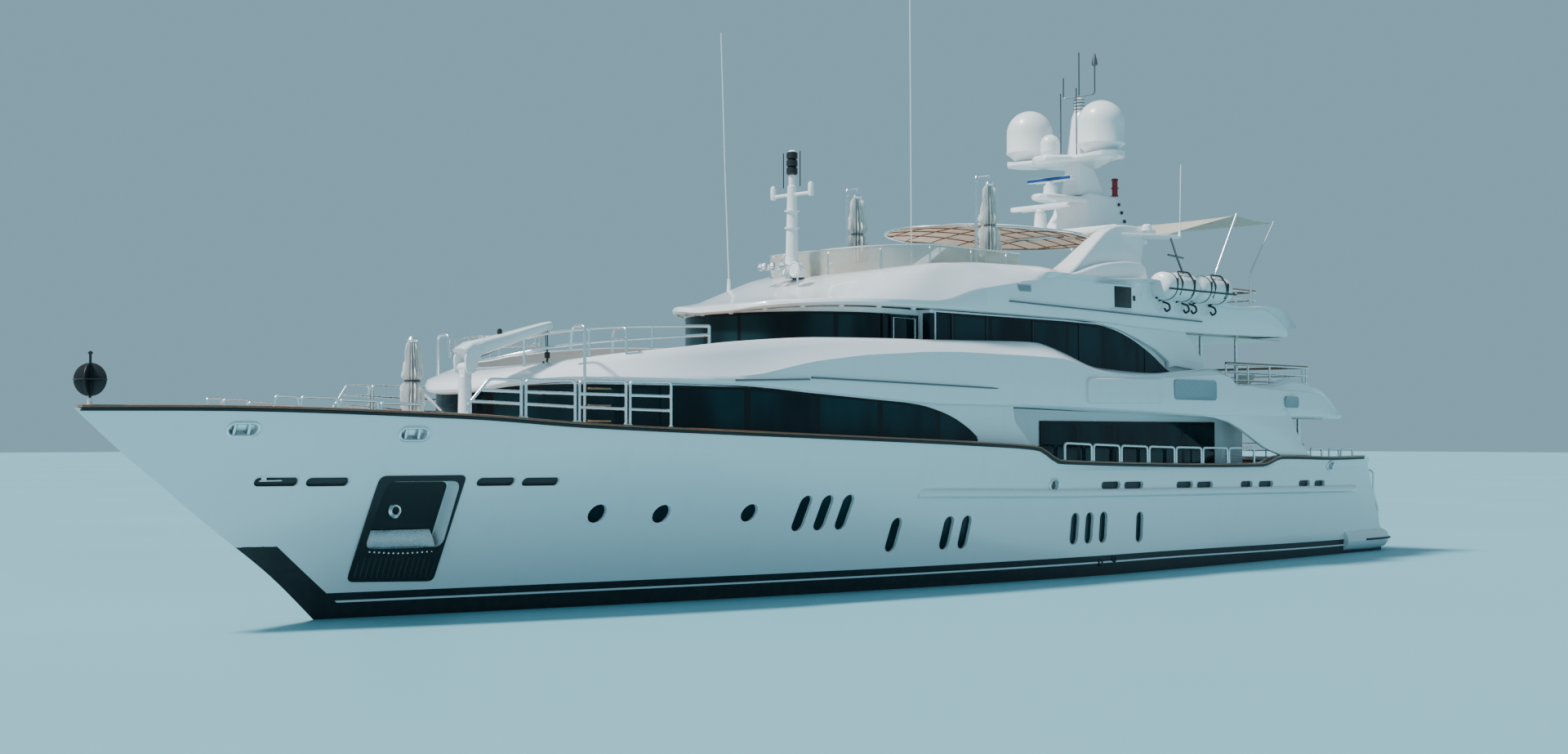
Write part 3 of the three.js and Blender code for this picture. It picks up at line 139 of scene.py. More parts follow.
def hull_ring(rail_x):
    """Points down one side of the hull from keel to rail, as (x, y, z)."""
    rail_half, knuckle_half = beam_at(rail_x), knuckle_half_at(rail_x)
    water_half = 0 if rail_x >= BOW_X else water_half_at(lean_x(rail_x, 0))
    keel, knuckle, rail = along(KEEL_Z, rail_x), eased(KNUCKLE_Z, rail_x), eased(RAIL_Z, rail_x)
    turn, flare = 2.6 - 1.3 * max(0, (rail_x + 2) / 24), flare_at(rail_x)
    ring = []
    for step in range(14):
        depth = 1 - (step / 14) ** 1.5
        ring.append((keel * depth, water_half * (1 - depth ** turn) ** (1 / (turn - 0.3))))
    for rise in between(0, 1, 25):
        ring.append((knuckle * rise, water_half + (knuckle_half - water_half) * rise ** flare))
    for rise in between(0, 1, 6)[1:]:
        ring.append((knuckle + (rail - knuckle) * rise, knuckle_half + (rail_half - knuckle_half) * rise))
    return [(lean_x(rail_x, z), y, z) for z, y in ring]


def rail_x_at(x, z):
    """The station whose lean brings it to x at the level z."""
    low, high = STERN_RAIL_X, BOW_X
    for _ in range(40):
        middle = (low + high) / 2
        if lean_x(middle, z) < x:
            low = middle
        else:
            high = middle
    return (low + high) / 2


def side_half_at(x, z):
    """Half breadth of the topsides at a point of the side view."""
    rail_x = rail_x_at(x, z)
    knuckle_half = knuckle_half_at(rail_x)
    knuckle, rail = eased(KNUCKLE_Z, rail_x), eased(RAIL_Z, rail_x)
    if z > knuckle:
        return knuckle_half + (beam_at(rail_x) - knuckle_half) * min(1, (z - knuckle) / (rail - knuckle))
    water_half = water_half_at(lean_x(rail_x, 0))
    return water_half + (knuckle_half - water_half) * max(0, z / knuckle) ** flare_at(rail_x)


# Making and shaping pieces
def deselect():
    if bpy.context.object and bpy.context.object.mode != "OBJECT":
        bpy.ops.object.mode_set(mode="OBJECT")
    bpy.ops.object.select_all(action="DESELECT")


def choose(piece):
    deselect()
    piece.select_set(True)
    bpy.context.view_layer.objects.active = piece
    return piece


def edit_all(piece, *calls):
    """Runs edit mode operators, given as (operator, settings), on the whole of a piece."""
    choose(piece)
    bpy.ops.object.mode_set(mode="EDIT")
    bpy.ops.mesh.select_all(action="SELECT")
    for operator, settings in calls:
        operator(**settings)
    bpy.ops.object.mode_set(mode="OBJECT")
    return piece


def outward(piece):
    return edit_all(
        piece,
        (bpy.ops.mesh.remove_doubles, {"threshold": 0.0002}),
        (bpy.ops.mesh.normals_make_consistent, {"inside": False}),
    )


def finish_modifier(piece, kind, **settings):
    choose(piece)
    modifier = piece.modifiers.new(kind.title(), kind)
    for key, value in settings.items():
        setattr(modifier, key, value)
    bpy.ops.object.modifier_apply(modifier=modifier.name)
    return piece


def bevelled(piece, width, segments=2, angle=40):
    return finish_modifier(
        piece, "BEVEL", width=width * SCALE, segments=segments, limit_method="ANGLE",
        angle_limit=math.radians(angle), use_clamp_overlap=True)


def surface(name, points, faces):
    """A mesh object from points in full size metres."""
    mesh = bpy.data.meshes.new(name)
    mesh.from_pydata([(x * SCALE, y * SCALE, z * SCALE) for x, y, z in points], [], faces)
    piece = bpy.data.objects.new(name, mesh)
    bpy.context.scene.collection.objects.link(piece)
    return piece


def lofted(name, rings):
    """A closed skin through mirrored rings. Point j of a ring faces its point (length - 1 - j)."""
    count = len(rings[0])
    faces = []
    for i in range(len(rings) - 1):
        for j in range(count):
            a, b, k = i * count, (i + 1) * count, (j + 1) % count
            faces.append((a + j, a + k, b + k, b + j))
    last = (len(rings) - 1) * count
    for j in range(count // 2 - 1):
        a, b, c, d = j, j + 1, count - 2 - j, count - 1 - j
        faces += [(b, a, d, c), (last + a, last + b, last + c, last + d)]
    return outward(surface(name, [p for ring in rings for p in ring], faces))


def mirrored_ring(port):
    return port + [(x, -y, z) for x, y, z in reversed(port)]


def both_halves(port):
    """A closed plan outline from its port half."""
    return port + [(x, -y) for x, y in reversed(port)]


def round_front(port):
    """A plan line from the port side round the front to starboard."""
    return port + [(x, -y) for x, y in reversed(port[:-1])]


def strip(name, rows):
    """An open sheet through equal rows of points."""
    width = len(rows[0])
    faces = []
    for i in range(len(rows) - 1):
        j = i + 1
        faces += [(i * width + k, i * width + k + 1, j * width + k + 1, j * width + k) for k in range(width - 1)]
    return surface(name, [p for row in rows for p in row], faces)


def plan_points(shape, inset, rounds=40):
    """The port half of a plan outline with a rounded front, as (x, y)."""
    bend, front, power, side = shape["bend"], shape["front"] - inset, shape["power"], shape["side"]
    port = [(x, side(x) - inset) for x in between(shape["aft"], bend, shape.get("steps", 70) + 1)]
    for i in range(1, rounds + 1):
        angle = i / rounds * math.pi / 2
        x = bend + (front - bend) * math.sin(angle) ** (2 / power)
        y = 0 if i == rounds else (side(x) - inset) * math.cos(angle) ** (2 / power)
        port.append((x, y))
    return port


def plan_ring(shape, height, inset=0):
    return mirrored_ring([(x, y, height(x)) for x, y in plan_points(shape, inset)])


def level(z):
    return lambda x: z


def box(name, low, high, bevel=0.0, segments=2):
    deselect()
    centre = [(a + b) / 2 * SCALE for a, b in zip(low, high)]
    bpy.ops.mesh.primitive_cube_add(size=1, location=centre)
    piece = bpy.context.object
    piece.name = name
    piece.scale = [(b - a) * SCALE for a, b in zip(low, high)]
    bpy.ops.object.transform_apply(location=True, rotation=True, scale=True)
    return bevelled(piece, bevel, segments) if bevel else piece


def plate(name, outline, depth, axis="y", bevel=0.0, segments=2):
    """A flat outline extruded along an axis: (x, z) points along y, (x, y) points along z."""
    start, end = depth
    rise = (end - start) * SCALE
    place, move = {"y": (lambda a, b: (a, start, b), (0, rise, 0)),
                   "z": (lambda a, b: (a, b, start), (0, 0, rise))}[axis]
    piece = surface(name, [place(a, b) for a, b in outline], [tuple(range(len(outline)))])
    edit_all(piece, (bpy.ops.mesh.extrude_region_move, {"TRANSFORM_OT_translate": {"value": move}}))
    outward(piece)
    return bevelled(piece, bevel, segments) if bevel else piece


def turned(name, profile, centre, steps=40, axis="z"):
    """A round body about a centre, from a profile of (radius, distance along the axis) that is closed at its ends."""
    if profile[0] != profile[-1]:
        profile = [(0, a) for r, a in profile[:1] if r] + profile + [(0, a) for r, a in profile[-1:] if r]
    piece = surface(name, [(r, 0, a) for r, a in profile], [])
    mesh = piece.data
    mesh.edges.add(len(profile) - 1)
    for i in range(len(profile) - 1):
        mesh.edges[i].vertices = (i, i + 1)
    mesh.update()
    edit_all(piece, (bpy.ops.mesh.spin, {"steps": steps, "angle": 2 * math.pi, "center": (0, 0, 0),
                                         "axis": (0, 0, 1)}))
    choose(piece)
    piece.rotation_euler = {"z": (0, 0, 0), "x": (0, math.pi / 2, 0), "y": (-math.pi / 2, 0, 0)}[axis]
    piece.location = [c * SCALE for c in centre]
    bpy.ops.object.transform_apply(location=True, rotation=True, scale=True)
    return outward(piece)


def pipes(name, paths, radius, sides=12, closed=False):
    """Round bars through lists of points, as one mesh."""
    deselect()
    bpy.ops.curve.primitive_bezier_curve_add()
    piece = bpy.context.object
    piece.name = name
    curve = piece.data
    curve.splines.clear()
    for path in paths:
        spline = curve.splines.new("POLY")
        spline.points.add(len(path) - 1)
        for point, place in zip(spline.points, path):
            point.co = (place[0] * SCALE, place[1] * SCALE, place[2] * SCALE, 1)
        spline.use_cyclic_u = closed
    curve.dimensions = "3D"
    curve.bevel_depth = radius * SCALE
    curve.bevel_resolution = max(0, sides // 2 - 2)
    curve.use_fill_caps = True
    bpy.ops.object.convert(target="MESH")
    return bpy.context.object


def bent(path, radius=0.08, steps=5):
    """The same path with its corners rounded."""
    points = [Vector(p) for p in path]
    result = [points[0]]
    for before, corner, after in zip(points, points[1:], points[2:]):
        reach = min(radius, (before - corner).length * 0.45, (after - corner).length * 0.45)
        a = corner + (before - corner).normalized() * reach
        b = corner + (after - corner).normalized() * reach
        for i in range(steps + 1):
            t = i / steps
            result.append(a * (1 - t) ** 2 + corner * 2 * t * (1 - t) + b * t ** 2)
    result.append(points[-1])
    return [tuple(p) for p in result]


def joined(name, pieces):
    deselect()
    for piece in pieces:
        piece.select_set(True)
    bpy.context.view_layer.objects.active = pieces[0]
    if len(pieces) > 1:
        bpy.ops.object.join()
    piece = bpy.context.object
    piece.name = name
    piece.data.name = name
    return piece


def carved(piece, cutters):
    for cutter in cutters:
        finish_modifier(piece, "BOOLEAN", operation="DIFFERENCE", solver="EXACT", object=cutter)
        bpy.data.objects.remove(cutter)
    return piece


def flipped(piece, name):
    """A copy on the other side of the centreline, with its own mesh."""
    twin = piece.copy()
    twin.data = piece.data.copy()
    twin.name = name
    twin.data.name = name
    bpy.context.scene.collection.objects.link(twin)
    choose(twin)
    twin.scale = (1, -1, 1)
    bpy.ops.object.transform_apply(location=False, rotation=False, scale=True)
    edit_all(twin, (bpy.ops.mesh.flip_normals, {}))
    return twin


def paired(name, port):
    """A port piece and its mirror image as one piece."""
    return joined(name, [port, flipped(port, "twin")])


def dress(piece, finish, body="yacht", slot=None, stands_for=(), smooth=35):
    """Gives a piece its finish, its shading, its body and the nodes that it stands for."""
    choose(piece)
    bpy.ops.object.shade_smooth_by_angle(angle=math.radians(smooth))
    piece.data.materials.append(FINISHES[finish])
    slot = slot or SLOTS[finish]
    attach(piece, body)
    if stands_for:
        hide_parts(*stands_for)


def both_sides(name, pieces, finish, nodes=(), slot=None, body=None):
    """Dresses port pieces, joined, and their twin. Nodes and body are the stems of names, without their side."""
    port = joined(name, pieces)
    twin = flipped(port, name + "_starboard")
    port.name = name + "_port"
    for piece, side in ((port, "_port"), (twin, "_starboard")):
        dress(piece, finish, body + side if body else "yacht", slot, [node + side for node in nodes])


# Finishes
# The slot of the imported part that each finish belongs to
SLOTS = {"hull": "white_hull", "white": "white_paint", "plastic": "white_paint", "boot": "white_paint",
         "grey": "white_paint", "blue": "white_paint", "louvre": "white_paint", "deckhead": "beige_slats",
         "teak": "beige_slats", "varnish": "beige_slats", "canopy": "beige_slats", "beige_cloth": "beige_cloth",
         "white_cloth": "beige_cloth", "cushion": "beige_cloth", "glass": "dark_glass", "pane": "dark_glass",
         "screen": "dark_glass", "steel": "steel", "dark_steel": "steel", "bronze": "steel", "black": "black_paint",
         "rubber": "black_paint", "red": "black_paint",}


class Value:
    """A socket or number that takes arithmetic and adds its Math nodes."""

    def __init__(self, graph, socket):
        self.graph = graph
        self.socket = socket

    def _with(self, operation, *others):
        node = self.graph.node("ShaderNodeMath", {"operation": operation}, dict(enumerate((self, *others))))
        return Value(self.graph, node.outputs[0])

    def __add__(self, other):
        return self._with("ADD", other)

    __radd__ = __add__

    def __mul__(self, other):
        return self._with("MULTIPLY", other)

    __rmul__ = __mul__

    def __sub__(self, other):
        return self._with("SUBTRACT", other)

    def __rsub__(self, other):
        return (self * -1) + other

    def __truediv__(self, other):
        return self._with("DIVIDE", other)

    def above(self, edge):
        return self._with("GREATER_THAN", edge)

    def below(self, edge):
        return self._with("LESS_THAN", edge)

    def fraction(self):
        return self._with("FRACT")

    def sine(self):
        return self._with("SINE")

    def ramp(self, low, high):
        """From 0 at low to 1 at high."""
        return self.graph.value("ShaderNodeMapRange", 0, {"interpolation_type": "SMOOTHSTEP"},
                                {0: self, 1: low, 2: high})


class Finish:
    """A node material with a Principled shader."""

    def __init__(self, name, **fixed):
        self.material = bpy.data.materials.new(name)
        self.material.use_nodes = True
        self.tree = self.material.node_tree
        self.shader = self.tree.nodes["Principled BSDF"]
        for key, value in fixed.items():
            self.set(key.replace("_", " "), value)

    def set(self, socket, value):
        """A number or colour on the shader's own socket, or a link into it."""
        target = self.shader.inputs[socket]
        if isinstance(value, Value):
            self.tree.links.new(value.socket, target)
        elif hasattr(value, "__len__"):
            target.default_value = (*value, 1) if len(value) == 3 else value
        else:
            target.default_value = value

    def node(self, kind, settings=None, inputs=None):
        node = self.tree.nodes.new(kind)
        for key, value in (settings or {}).items():
            setattr(node, key, value)
        for key, value in (inputs or {}).items():
            socket = node.inputs[key]
            if isinstance(value, Value):
                self.tree.links.new(value.socket, socket)
            elif hasattr(value, "__len__") and len(value) == 3 and socket.type == "RGBA":
                socket.default_value = (*value, 1)
            else:
                socket.default_value = value
        return node

    def value(self, kind, output=0, settings=None, inputs=None):
        return Value(self, self.node(kind, settings, inputs).outputs[output])

    def parts(self, output, count):
        split = self.node("ShaderNodeSeparateXYZ", None, {0: self.value("ShaderNodeTexCoord", output)})
        return [Value(self, split.outputs[i]) for i in range(count)]

    def axes(self):
        """The place's x, y and z in metres of the real yacht."""
        return [part / SCALE for part in self.parts("Object", 3)]

    def uv(self):
        return self.parts("UV", 2)

    def noise(self, size, detail=3.0, roughness=0.5, stretch=(1, 1, 1)):
        """Noise from 0 to 1 whose lumps are about size metres of the real yacht."""
        where = {0: self.value("ShaderNodeTexCoord", "Object"), "Scale": stretch}
        place = self.value("ShaderNodeMapping", 0, None, where)
        inputs = {"Vector": place, "Scale": 1 / (size * SCALE), "Detail": detail, "Roughness": roughness}
        return self.value("ShaderNodeTexNoise", 0, None, inputs)

    def mix(self, share, a, b):
        """A colour between a and b."""
        return self.value("ShaderNodeMix", 2, {"data_type": "RGBA"}, {0: share, 6: a, 7: b})

    def bump(self, height, depth):
        """Sets the normal from a height field whose full swing is depth metres of the real yacht."""
        self.set("Normal", self.value("ShaderNodeBump", 0, None, {"Distance": depth * SCALE, "Height": height}))


def shaded(colour, share):
    return tuple(c * share for c in colour)


def paint_finish(name, colour, gloss=0.16):
    """Sprayed gloss paint with faint fairing waves, orange peel and rain marks."""
    finish = Finish(name, Coat_Weight=0.6, Coat_Roughness=0.04)
    wave, peel, streak = finish.noise(1.6), finish.noise(0.02, 2), finish.noise(0.35, 4, 0.6, (3, 3, 0.5))
    finish.set("Base Color", finish.mix(streak.ramp(0.45, 0.85) * 0.35, colour, shaded(colour, 0.9)))
    finish.set("Roughness", streak * 0.1 + gloss)
    finish.bump(wave + peel * 0.05, 0.004)
    return finish.material


def hull_finish(settings):
    """White topsides over a black boot top with a white line, and a black bottom."""
    finish = Finish("hull_paint", Coat_Roughness=0.03)
    x, y, z = finish.axes()
    wave, peel = finish.noise(1.9), finish.noise(0.02, 2)
    weed, salt = finish.noise(0.25, 5, 0.65), finish.noise(0.5, 4, 0.6, (1, 1, 0.25))
    boot_edge = settings.boot_top + (x.ramp(-19, -6) - 1) * 0.09
    dark = z.below(boot_edge)
    line = z.above(boot_edge - 0.21) * z.below(boot_edge - 0.165)
    stem = (x - 17.35 + (1.1 - z) * 1.15).above(0) * z.below(1.58 + (weed - 0.5) * 0.04)
    black = 1 - (1 - dark) * (1 - stem)
    white = finish.mix(salt.ramp(0.5, 0.9) * 0.4, tuple(settings.white), shaded(settings.white, 0.88))
    bottom = finish.mix(weed.ramp(0.35, 0.8) * 0.5, (0.012, 0.013, 0.015), (0.035, 0.037, 0.036))
    colour = finish.mix(black * (1 - line * (1 - stem)), white, bottom)
    finish.set("Base Color", colour)
    finish.set("Roughness", 0.1 + salt * 0.08 + black * (0.25 + weed * 0.12) + z.below(0) * 0.3)
    finish.set("Coat Weight", 0.7 - black * 0.65)
    finish.bump(wave + peel * 0.05 + z.below(0) * weed * 0.8, 0.006)
    return finish.material


def glass_finish():
    """Tinted black glass, seen as a glossy dark sheet. Its frames follow the pane numbers in the UV map."""
    finish = Finish("dark_glass", IOR=1.42, Specular_IOR_Level=0.28)
    u, v = finish.uv()
    pane = u.fraction()
    edge = 1 - pane.above(0.045) * pane.below(0.955) * v.above(0.05) * v.below(0.93)
    depth = finish.noise(1.1, 2, 0.4, (1, 1, 0.3))
    tint = finish.mix(depth.ramp(0.3, 0.75), (0.003, 0.009, 0.012), (0.01, 0.034, 0.042))
    finish.set("Base Color", finish.mix(edge, tint, (0.006, 0.007, 0.008)))
    finish.set("Roughness", edge * 0.22 + finish.noise(0.4) * 0.02 + 0.015)
    finish.bump(finish.noise(2.4, 1) - edge * 0.3, 0.004)
    return finish.material


def pane_finish():
    """Plain tinted glass for small lights and doors."""
    finish = Finish("small_glass", IOR=1.45, Specular_IOR_Level=0.3)
    depth = finish.noise(0.8, 2)
    finish.set("Base Color", finish.mix(depth, (0.003, 0.008, 0.011), (0.009, 0.028, 0.035)))
    finish.set("Roughness", finish.noise(0.3) * 0.03 + 0.02)
    finish.bump(depth, 0.002)
    return finish.material


def screen_finish():
    """The pale see-through plastic of the sun deck's windscreen."""
    finish = Finish("screen_panel", IOR=1.49, Coat_Weight=0.4)
    haze = finish.noise(0.5, 3)
    finish.set("Base Color", finish.mix(haze, (0.62, 0.55, 0.45), (0.72, 0.68, 0.6)))
    finish.set("Roughness", haze * 0.08 + 0.05)
    finish.set("Alpha", haze * 0.12 + 0.38)
    return finish.material


def steel_finish(name="polished_steel", colour=(0.88, 0.89, 0.9), rough=0.2):
    """Polished or cast metal with a brushed grain and dull marks."""
    finish = Finish(name, Metallic=1.0)
    grain, mark = finish.noise(0.006, 2), finish.noise(0.12, 4, 0.6)
    finish.set("Base Color", finish.mix(mark.ramp(0.5, 0.9) * 0.4, colour, shaded(colour, 0.78)))
    finish.set("Roughness", mark * 0.14 + rough)
    finish.bump(grain, 0.0008)
    return finish.material


def teak_finish():
    """Laid teak: planks fore and aft with black seams, each with its own shade and grain."""
    finish = Finish("teak_planks")
    x, y, z = finish.axes()
    row = y / 0.07
    cell = row.fraction()
    seam = 1 - cell.above(0.06) * cell.below(0.94)
    number = row - cell
    joint = ((x + number * 1.37) / 2.3).fraction()
    butt = joint.below(0.004)
    shade = (number * 12.9898).sine() * 0.5 + 0.5
    grain = finish.noise(0.03, 5, 0.6, (0.12, 1.6, 1))
    wood = finish.mix(shade, (0.36, 0.225, 0.125), (0.47, 0.31, 0.18))
    wood = finish.mix(grain.ramp(0.35, 0.75) * 0.55, wood, (0.24, 0.14, 0.075))
    finish.set("Base Color", finish.mix(1 - (1 - seam) * (1 - butt), wood, (0.015, 0.014, 0.013)))
    finish.set("Roughness", grain * 0.2 + 0.5 - seam * 0.1)
    finish.bump(grain * 0.4 - seam, 0.003)
    return finish.material


def varnish_finish():
    """Varnished reddish teak of the cap rail and the ladder treads."""
    finish = Finish("varnished_teak", Coat_Weight=0.8, Coat_Roughness=0.08)
    grain = finish.noise(0.04, 5, 0.6, (0.1, 1.5, 1.5))
    finish.set("Base Color", finish.mix(grain.ramp(0.3, 0.8), (0.3, 0.115, 0.05), (0.16, 0.055, 0.028)))
    finish.set("Roughness", grain * 0.15 + 0.25)
    finish.bump(grain, 0.001)
    return finish.material


def cloth_finish(name, colour, shade, thread=0.006, painted_glow=0.0):
    """Woven cloth: two crossed rows of threads, soft random patches of a darker tone, a faint sheen, and a painted glow
    that stands in for daylight shining through it.
    """
    # The emission, in the cloth's own colour, is a painted glow for daylight shining through the cloth; the cloth is no
    # lamp.
    finish = Finish(name, Sheen_Weight=0.25, Sheen_Roughness=0.5, Emission_Color=(*colour, 1), Emission_Strength=painted_glow)
    x, y, z = finish.axes()
    turn = 2 * math.pi / thread
    weave = ((x + z) * turn).sine() * (y * turn).sine() * 0.5 + 0.5
    # Soft random patches move the colour towards the second, darker tone.
    soft, fleck = finish.noise(0.5, 4, 0.6), finish.noise(0.02, 3)
    base = finish.mix(soft.ramp(0.35, 0.75), colour, shade)
    finish.set("Base Color", finish.mix(weave * 0.25 + fleck * 0.15, base, shaded(shade, 0.72)))
    finish.set("Roughness", soft * 0.1 + 0.8)
    finish.bump(weave * 0.6 + fleck * 0.4, 0.0015)
    return finish.material


def plastic_finish(name, colour, gloss=0.3):
    """Gel coat or moulded plastic with a fine grain and weather marks."""
    finish = Finish(name, Coat_Weight=0.2, Coat_Roughness=0.15)
    grain, stain = finish.noise(0.012, 3), finish.noise(0.4, 4, 0.6, (1, 1, 0.4))
    finish.set("Base Color", finish.mix(stain.ramp(0.5, 0.9) * 0.5, colour, shaded(colour, 0.84)))
    finish.set("Roughness", stain * 0.12 + gloss)
    finish.bump(grain, 0.001)
    return finish.material


def louvre_finish():
    """A grille of leaning slats, with painted shade in the gaps and a painted lit face on each slat."""
    finish = Finish("louvre", Metallic=0.3)
    x, y, z = finish.axes()
    slat = (z / 0.045 + x / 0.3).fraction()
    # The colour runs across each slat from painted shade to a painted lit face.
    finish.set("Base Color", finish.mix(slat, (0.12, 0.16, 0.18), (0.5, 0.56, 0.6)))
    finish.set("Roughness", slat * 0.2 + 0.3)
    finish.bump(slat, 0.02)
    return finish.material


def floor_finish():
    finish = Finish("studio_floor")
    soft = finish.noise(14, 3)
    finish.set("Base Color", finish.mix(soft, (0.21, 0.46, 0.53), (0.24, 0.49, 0.56)))
    finish.set("Roughness", soft * 0.1 + 0.45)
    return finish.material


FINISHES = {}


def make_finishes(scene):
    """Makes every finish, with the colours that the user set."""
    white, canvas = tuple(scene.yacht_paint.white), tuple(scene.yacht_cloth.canvas)
    FINISHES.update({
        "hull": hull_finish(scene.yacht_paint),
        "white": paint_finish("gloss_white", white),
        "deckhead": paint_finish("deckhead_beige", (0.55, 0.45, 0.34), 0.4),
        "glass": glass_finish(),
        "pane": pane_finish(),
        "screen": screen_finish(),
        "steel": steel_finish(),
        "dark_steel": steel_finish("dark_steel", (0.2, 0.215, 0.23), 0.25),
        "boot": plastic_finish("black_bottom_paint", (0.02, 0.021, 0.023), 0.45),
        "bronze": steel_finish("cast_bronze", (0.55, 0.36, 0.15), 0.22),
        "teak": teak_finish(),
        "varnish": varnish_finish(),
        "beige_cloth": cloth_finish("beige_cloth", canvas, shaded(canvas, 0.82)),
        "white_cloth": cloth_finish("white_cloth", (0.85, 0.84, 0.81), (0.72, 0.71, 0.69)),
        # The canopy cloth has a painted glow that stands in for daylight shining through it.
        "canopy": cloth_finish("canopy_cream", (0.85, 0.78, 0.66), (0.76, 0.68, 0.56), painted_glow=0.4),
        "cushion": cloth_finish("cushion_cloth", (0.78, 0.74, 0.66), (0.66, 0.61, 0.53), 0.01),
        "plastic": plastic_finish("white_gel_coat", (0.84, 0.85, 0.85)),
        "black": plastic_finish("black_coating", (0.008, 0.009, 0.01), 0.42),
        "grey": plastic_finish("shaded_grey", (0.34, 0.38, 0.4), 0.4),
        "rubber": plastic_finish("dark_rubber", (0.03, 0.032, 0.034), 0.55),
        "red": plastic_finish("red_lens", (0.22, 0.012, 0.014), 0.2),
        "blue": plastic_finish("blue_band", (0.008, 0.06, 0.22), 0.3),
        "louvre": louvre_finish(),
        "floor": floor_finish(),
    })


# Hull
AFT_WELL = {"aft": -19.3, "bend": 8.8, "front": 9.5, "power": 2.5,
            "side": lambda x: beam_at(x) - (2 * WALL if x < -1.5 else 0.6 + 0.06 * max(0, x))}
FORE_WELL = {"aft": 10, "bend": 17, "front": 20.3, "power": 1.4, "side": lambda x: beam_at(x) - WALL, "steps": 20}
FORE_FLOOR = {"aft": 10, "bend": 15, "front": 18.8, "power": 1.4, "side": lambda x: max(0.2, beam_at(x) - 1.35),
              "steps": 20}
ANCHOR_POCKET = [(16.3, 3.01), (14.55, 3.01), (14.54, 0.72), (16.36, 0.77)]
GARAGE_HALF = 1.9
GARAGE_Z = (0.85, 2.0)
STEPS_Y = (2.35, 3.45)
STEP_COUNT = 6
STAIR_HEAD_X = -19.2
STEP_RUN = (-21.5 - STAIR_HEAD_X) / STEP_COUNT
STEP_RISE = (PLATFORM_Z - MAIN_DECK_Z) / STEP_COUNT
SHAFT_Y, PROP_X, PROP_Z = 1.55, -15.6, -1.85
PROP_RADIUS = 0.72
RUDDER_X, BOSS_Z = -17.6, -0.78


def step_place(i):
    return STAIR_HEAD_X + STEP_RUN * i, MAIN_DECK_Z + STEP_RISE * i


def stair_outline():
    points = [(-19.1, 4.2), (-19.1, MAIN_DECK_Z)]
    for x, z in map(step_place, range(STEP_COUNT)):
        points += [(x, z), (x, z + STEP_RISE)]
    return points + [(-23, PLATFORM_Z), (-23, 4.2)]


def build_hull():
    stations = between(STERN_RAIL_X, 8, 81) + between(8, BOW_X, 71)[1:]
    hull = lofted("hull_shell", [mirrored_ring(hull_ring(x)) for x in stations])
    aft = lofted("aft_well", [plan_ring(AFT_WELL, level(z)) for z in (MAIN_DECK_Z, 5)])
    fore = lofted("fore_well", [plan_ring(FORE_FLOOR, level(FOREDECK_Z)), plan_ring(FORE_WELL, level(4), WALL),
                                plan_ring(FORE_WELL, level(5))])
    stairs = [plate("stairs", stair_outline(), (side * STEPS_Y[0], side * STEPS_Y[1])) for side in (1, -1)]
    garage = box("garage", (-23, -GARAGE_HALF, GARAGE_Z[0]), (-18.6, GARAGE_HALF, GARAGE_Z[1]))
    tunnel = turned("tunnel", [(0.32, -3), (0.32, 3)], (12.6, 0, -1.2), 32, "y")
    carved(hull, [aft, fore, *stairs, garage, tunnel, hull_recesses()])
    skeg = plate("skeg", [(-4, -2.2), (-13, -1.55), (-16.5, -1.0), (-15.6, -2.5), (-14, -2.62), (-5, -2.62)],
                 (-0.16, 0.16), bevel=0.06, segments=3)
    deselect()
    bpy.ops.mesh.primitive_uv_sphere_add(segments=48, ring_count=24, radius=1)
    bulb = bpy.context.object
    bulb.scale = (2.6 * SCALE, 0.62 * SCALE, 0.78 * SCALE)
    bulb.location = (14.9 * SCALE, 0, -1.45 * SCALE)
    bpy.ops.object.transform_apply(location=True, rotation=True, scale=True)
    bosses = [turned("boss", [(0.2, BOSS_Z), (0.2, -0.3)], (RUDDER_X, side * SHAFT_Y, 0), 24) for side in (1, -1)]
    dress(joined("hull_shell", [hull, skeg, bulb, *bosses]), "hull", stands_for=["hull"], smooth=18)


def swept(name, stations, section):
    """A rail of constant kind along both sides of the hull. section(x) gives its outline as (y, z) points."""
    return paired(name, lofted(name, [[(x, y, z) for y, z in section(x)] for x in stations]))


STRAKE_Z = [(-19.3, 2.1), (-3.0, 2.29), (2.8, 2.42)]
STRAKE_OUT, STRAKE_HALF = 0.13, 0.12


def build_strake():
    """The half round rubbing strake along both sides."""
    def section(x):
        z = along(STRAKE_Z, x)
        y = side_half_at(x, z)
        out = STRAKE_OUT * min(1, (2.52 - x) / 0.3, (x + 19.34) / 0.3)
        arc = [(y + out * math.sin(a) ** 0.7, z - STRAKE_HALF * math.cos(a)) for a in between(0, math.pi, 11)]
        return [(y - 0.1, z - STRAKE_HALF), *arc, (y - 0.1, z + STRAKE_HALF)]

    dress(swept("rubbing_strake", between(-19.3, 2.5, 90), section), "white", slot="white_hull", smooth=50)


PATCH_RINGS = (1, 0.6, 0.25)


def patch(outline, offset):
    """Points and faces of a disc that lies on the topsides, from its outline in the side view."""
    centre = [sum(p[i] for p in outline) / len(outline) for i in (0, 1)]
    points, faces, count = [], [], len(outline)
    for share in PATCH_RINGS:
        for x, z in outline:
            px, pz = centre[0] + (x - centre[0]) * share, centre[1] + (z - centre[1]) * share
            points.append((px, side_half_at(px, pz) + offset, pz))
    points.append((centre[0], side_half_at(*centre) + offset, centre[1]))
    last = (len(PATCH_RINGS) - 1) * count
    for a in range(0, last, count):
        for j in range(count):
            k = (j + 1) % count
            faces.append((a + j, a + k, a + count + k, a + count + j))
    faces += [(last + j, last + (j + 1) % count, len(points) - 1) for j in range(count)]
    return points, faces


def slab(outline, low, high):
    """A closed slab that follows the topsides, between two distances out from them."""
    points, faces = patch(outline, low)
    size, count = len(points), len(outline)
    upper, lid = patch(outline, high)
    faces += [tuple(size + i for i in reversed(face)) for face in lid]
    faces += [(j, (j + 1) % count, size + (j + 1) % count, size + j) for j in range(count)]
    return outward(surface("slab", points + upper, faces))


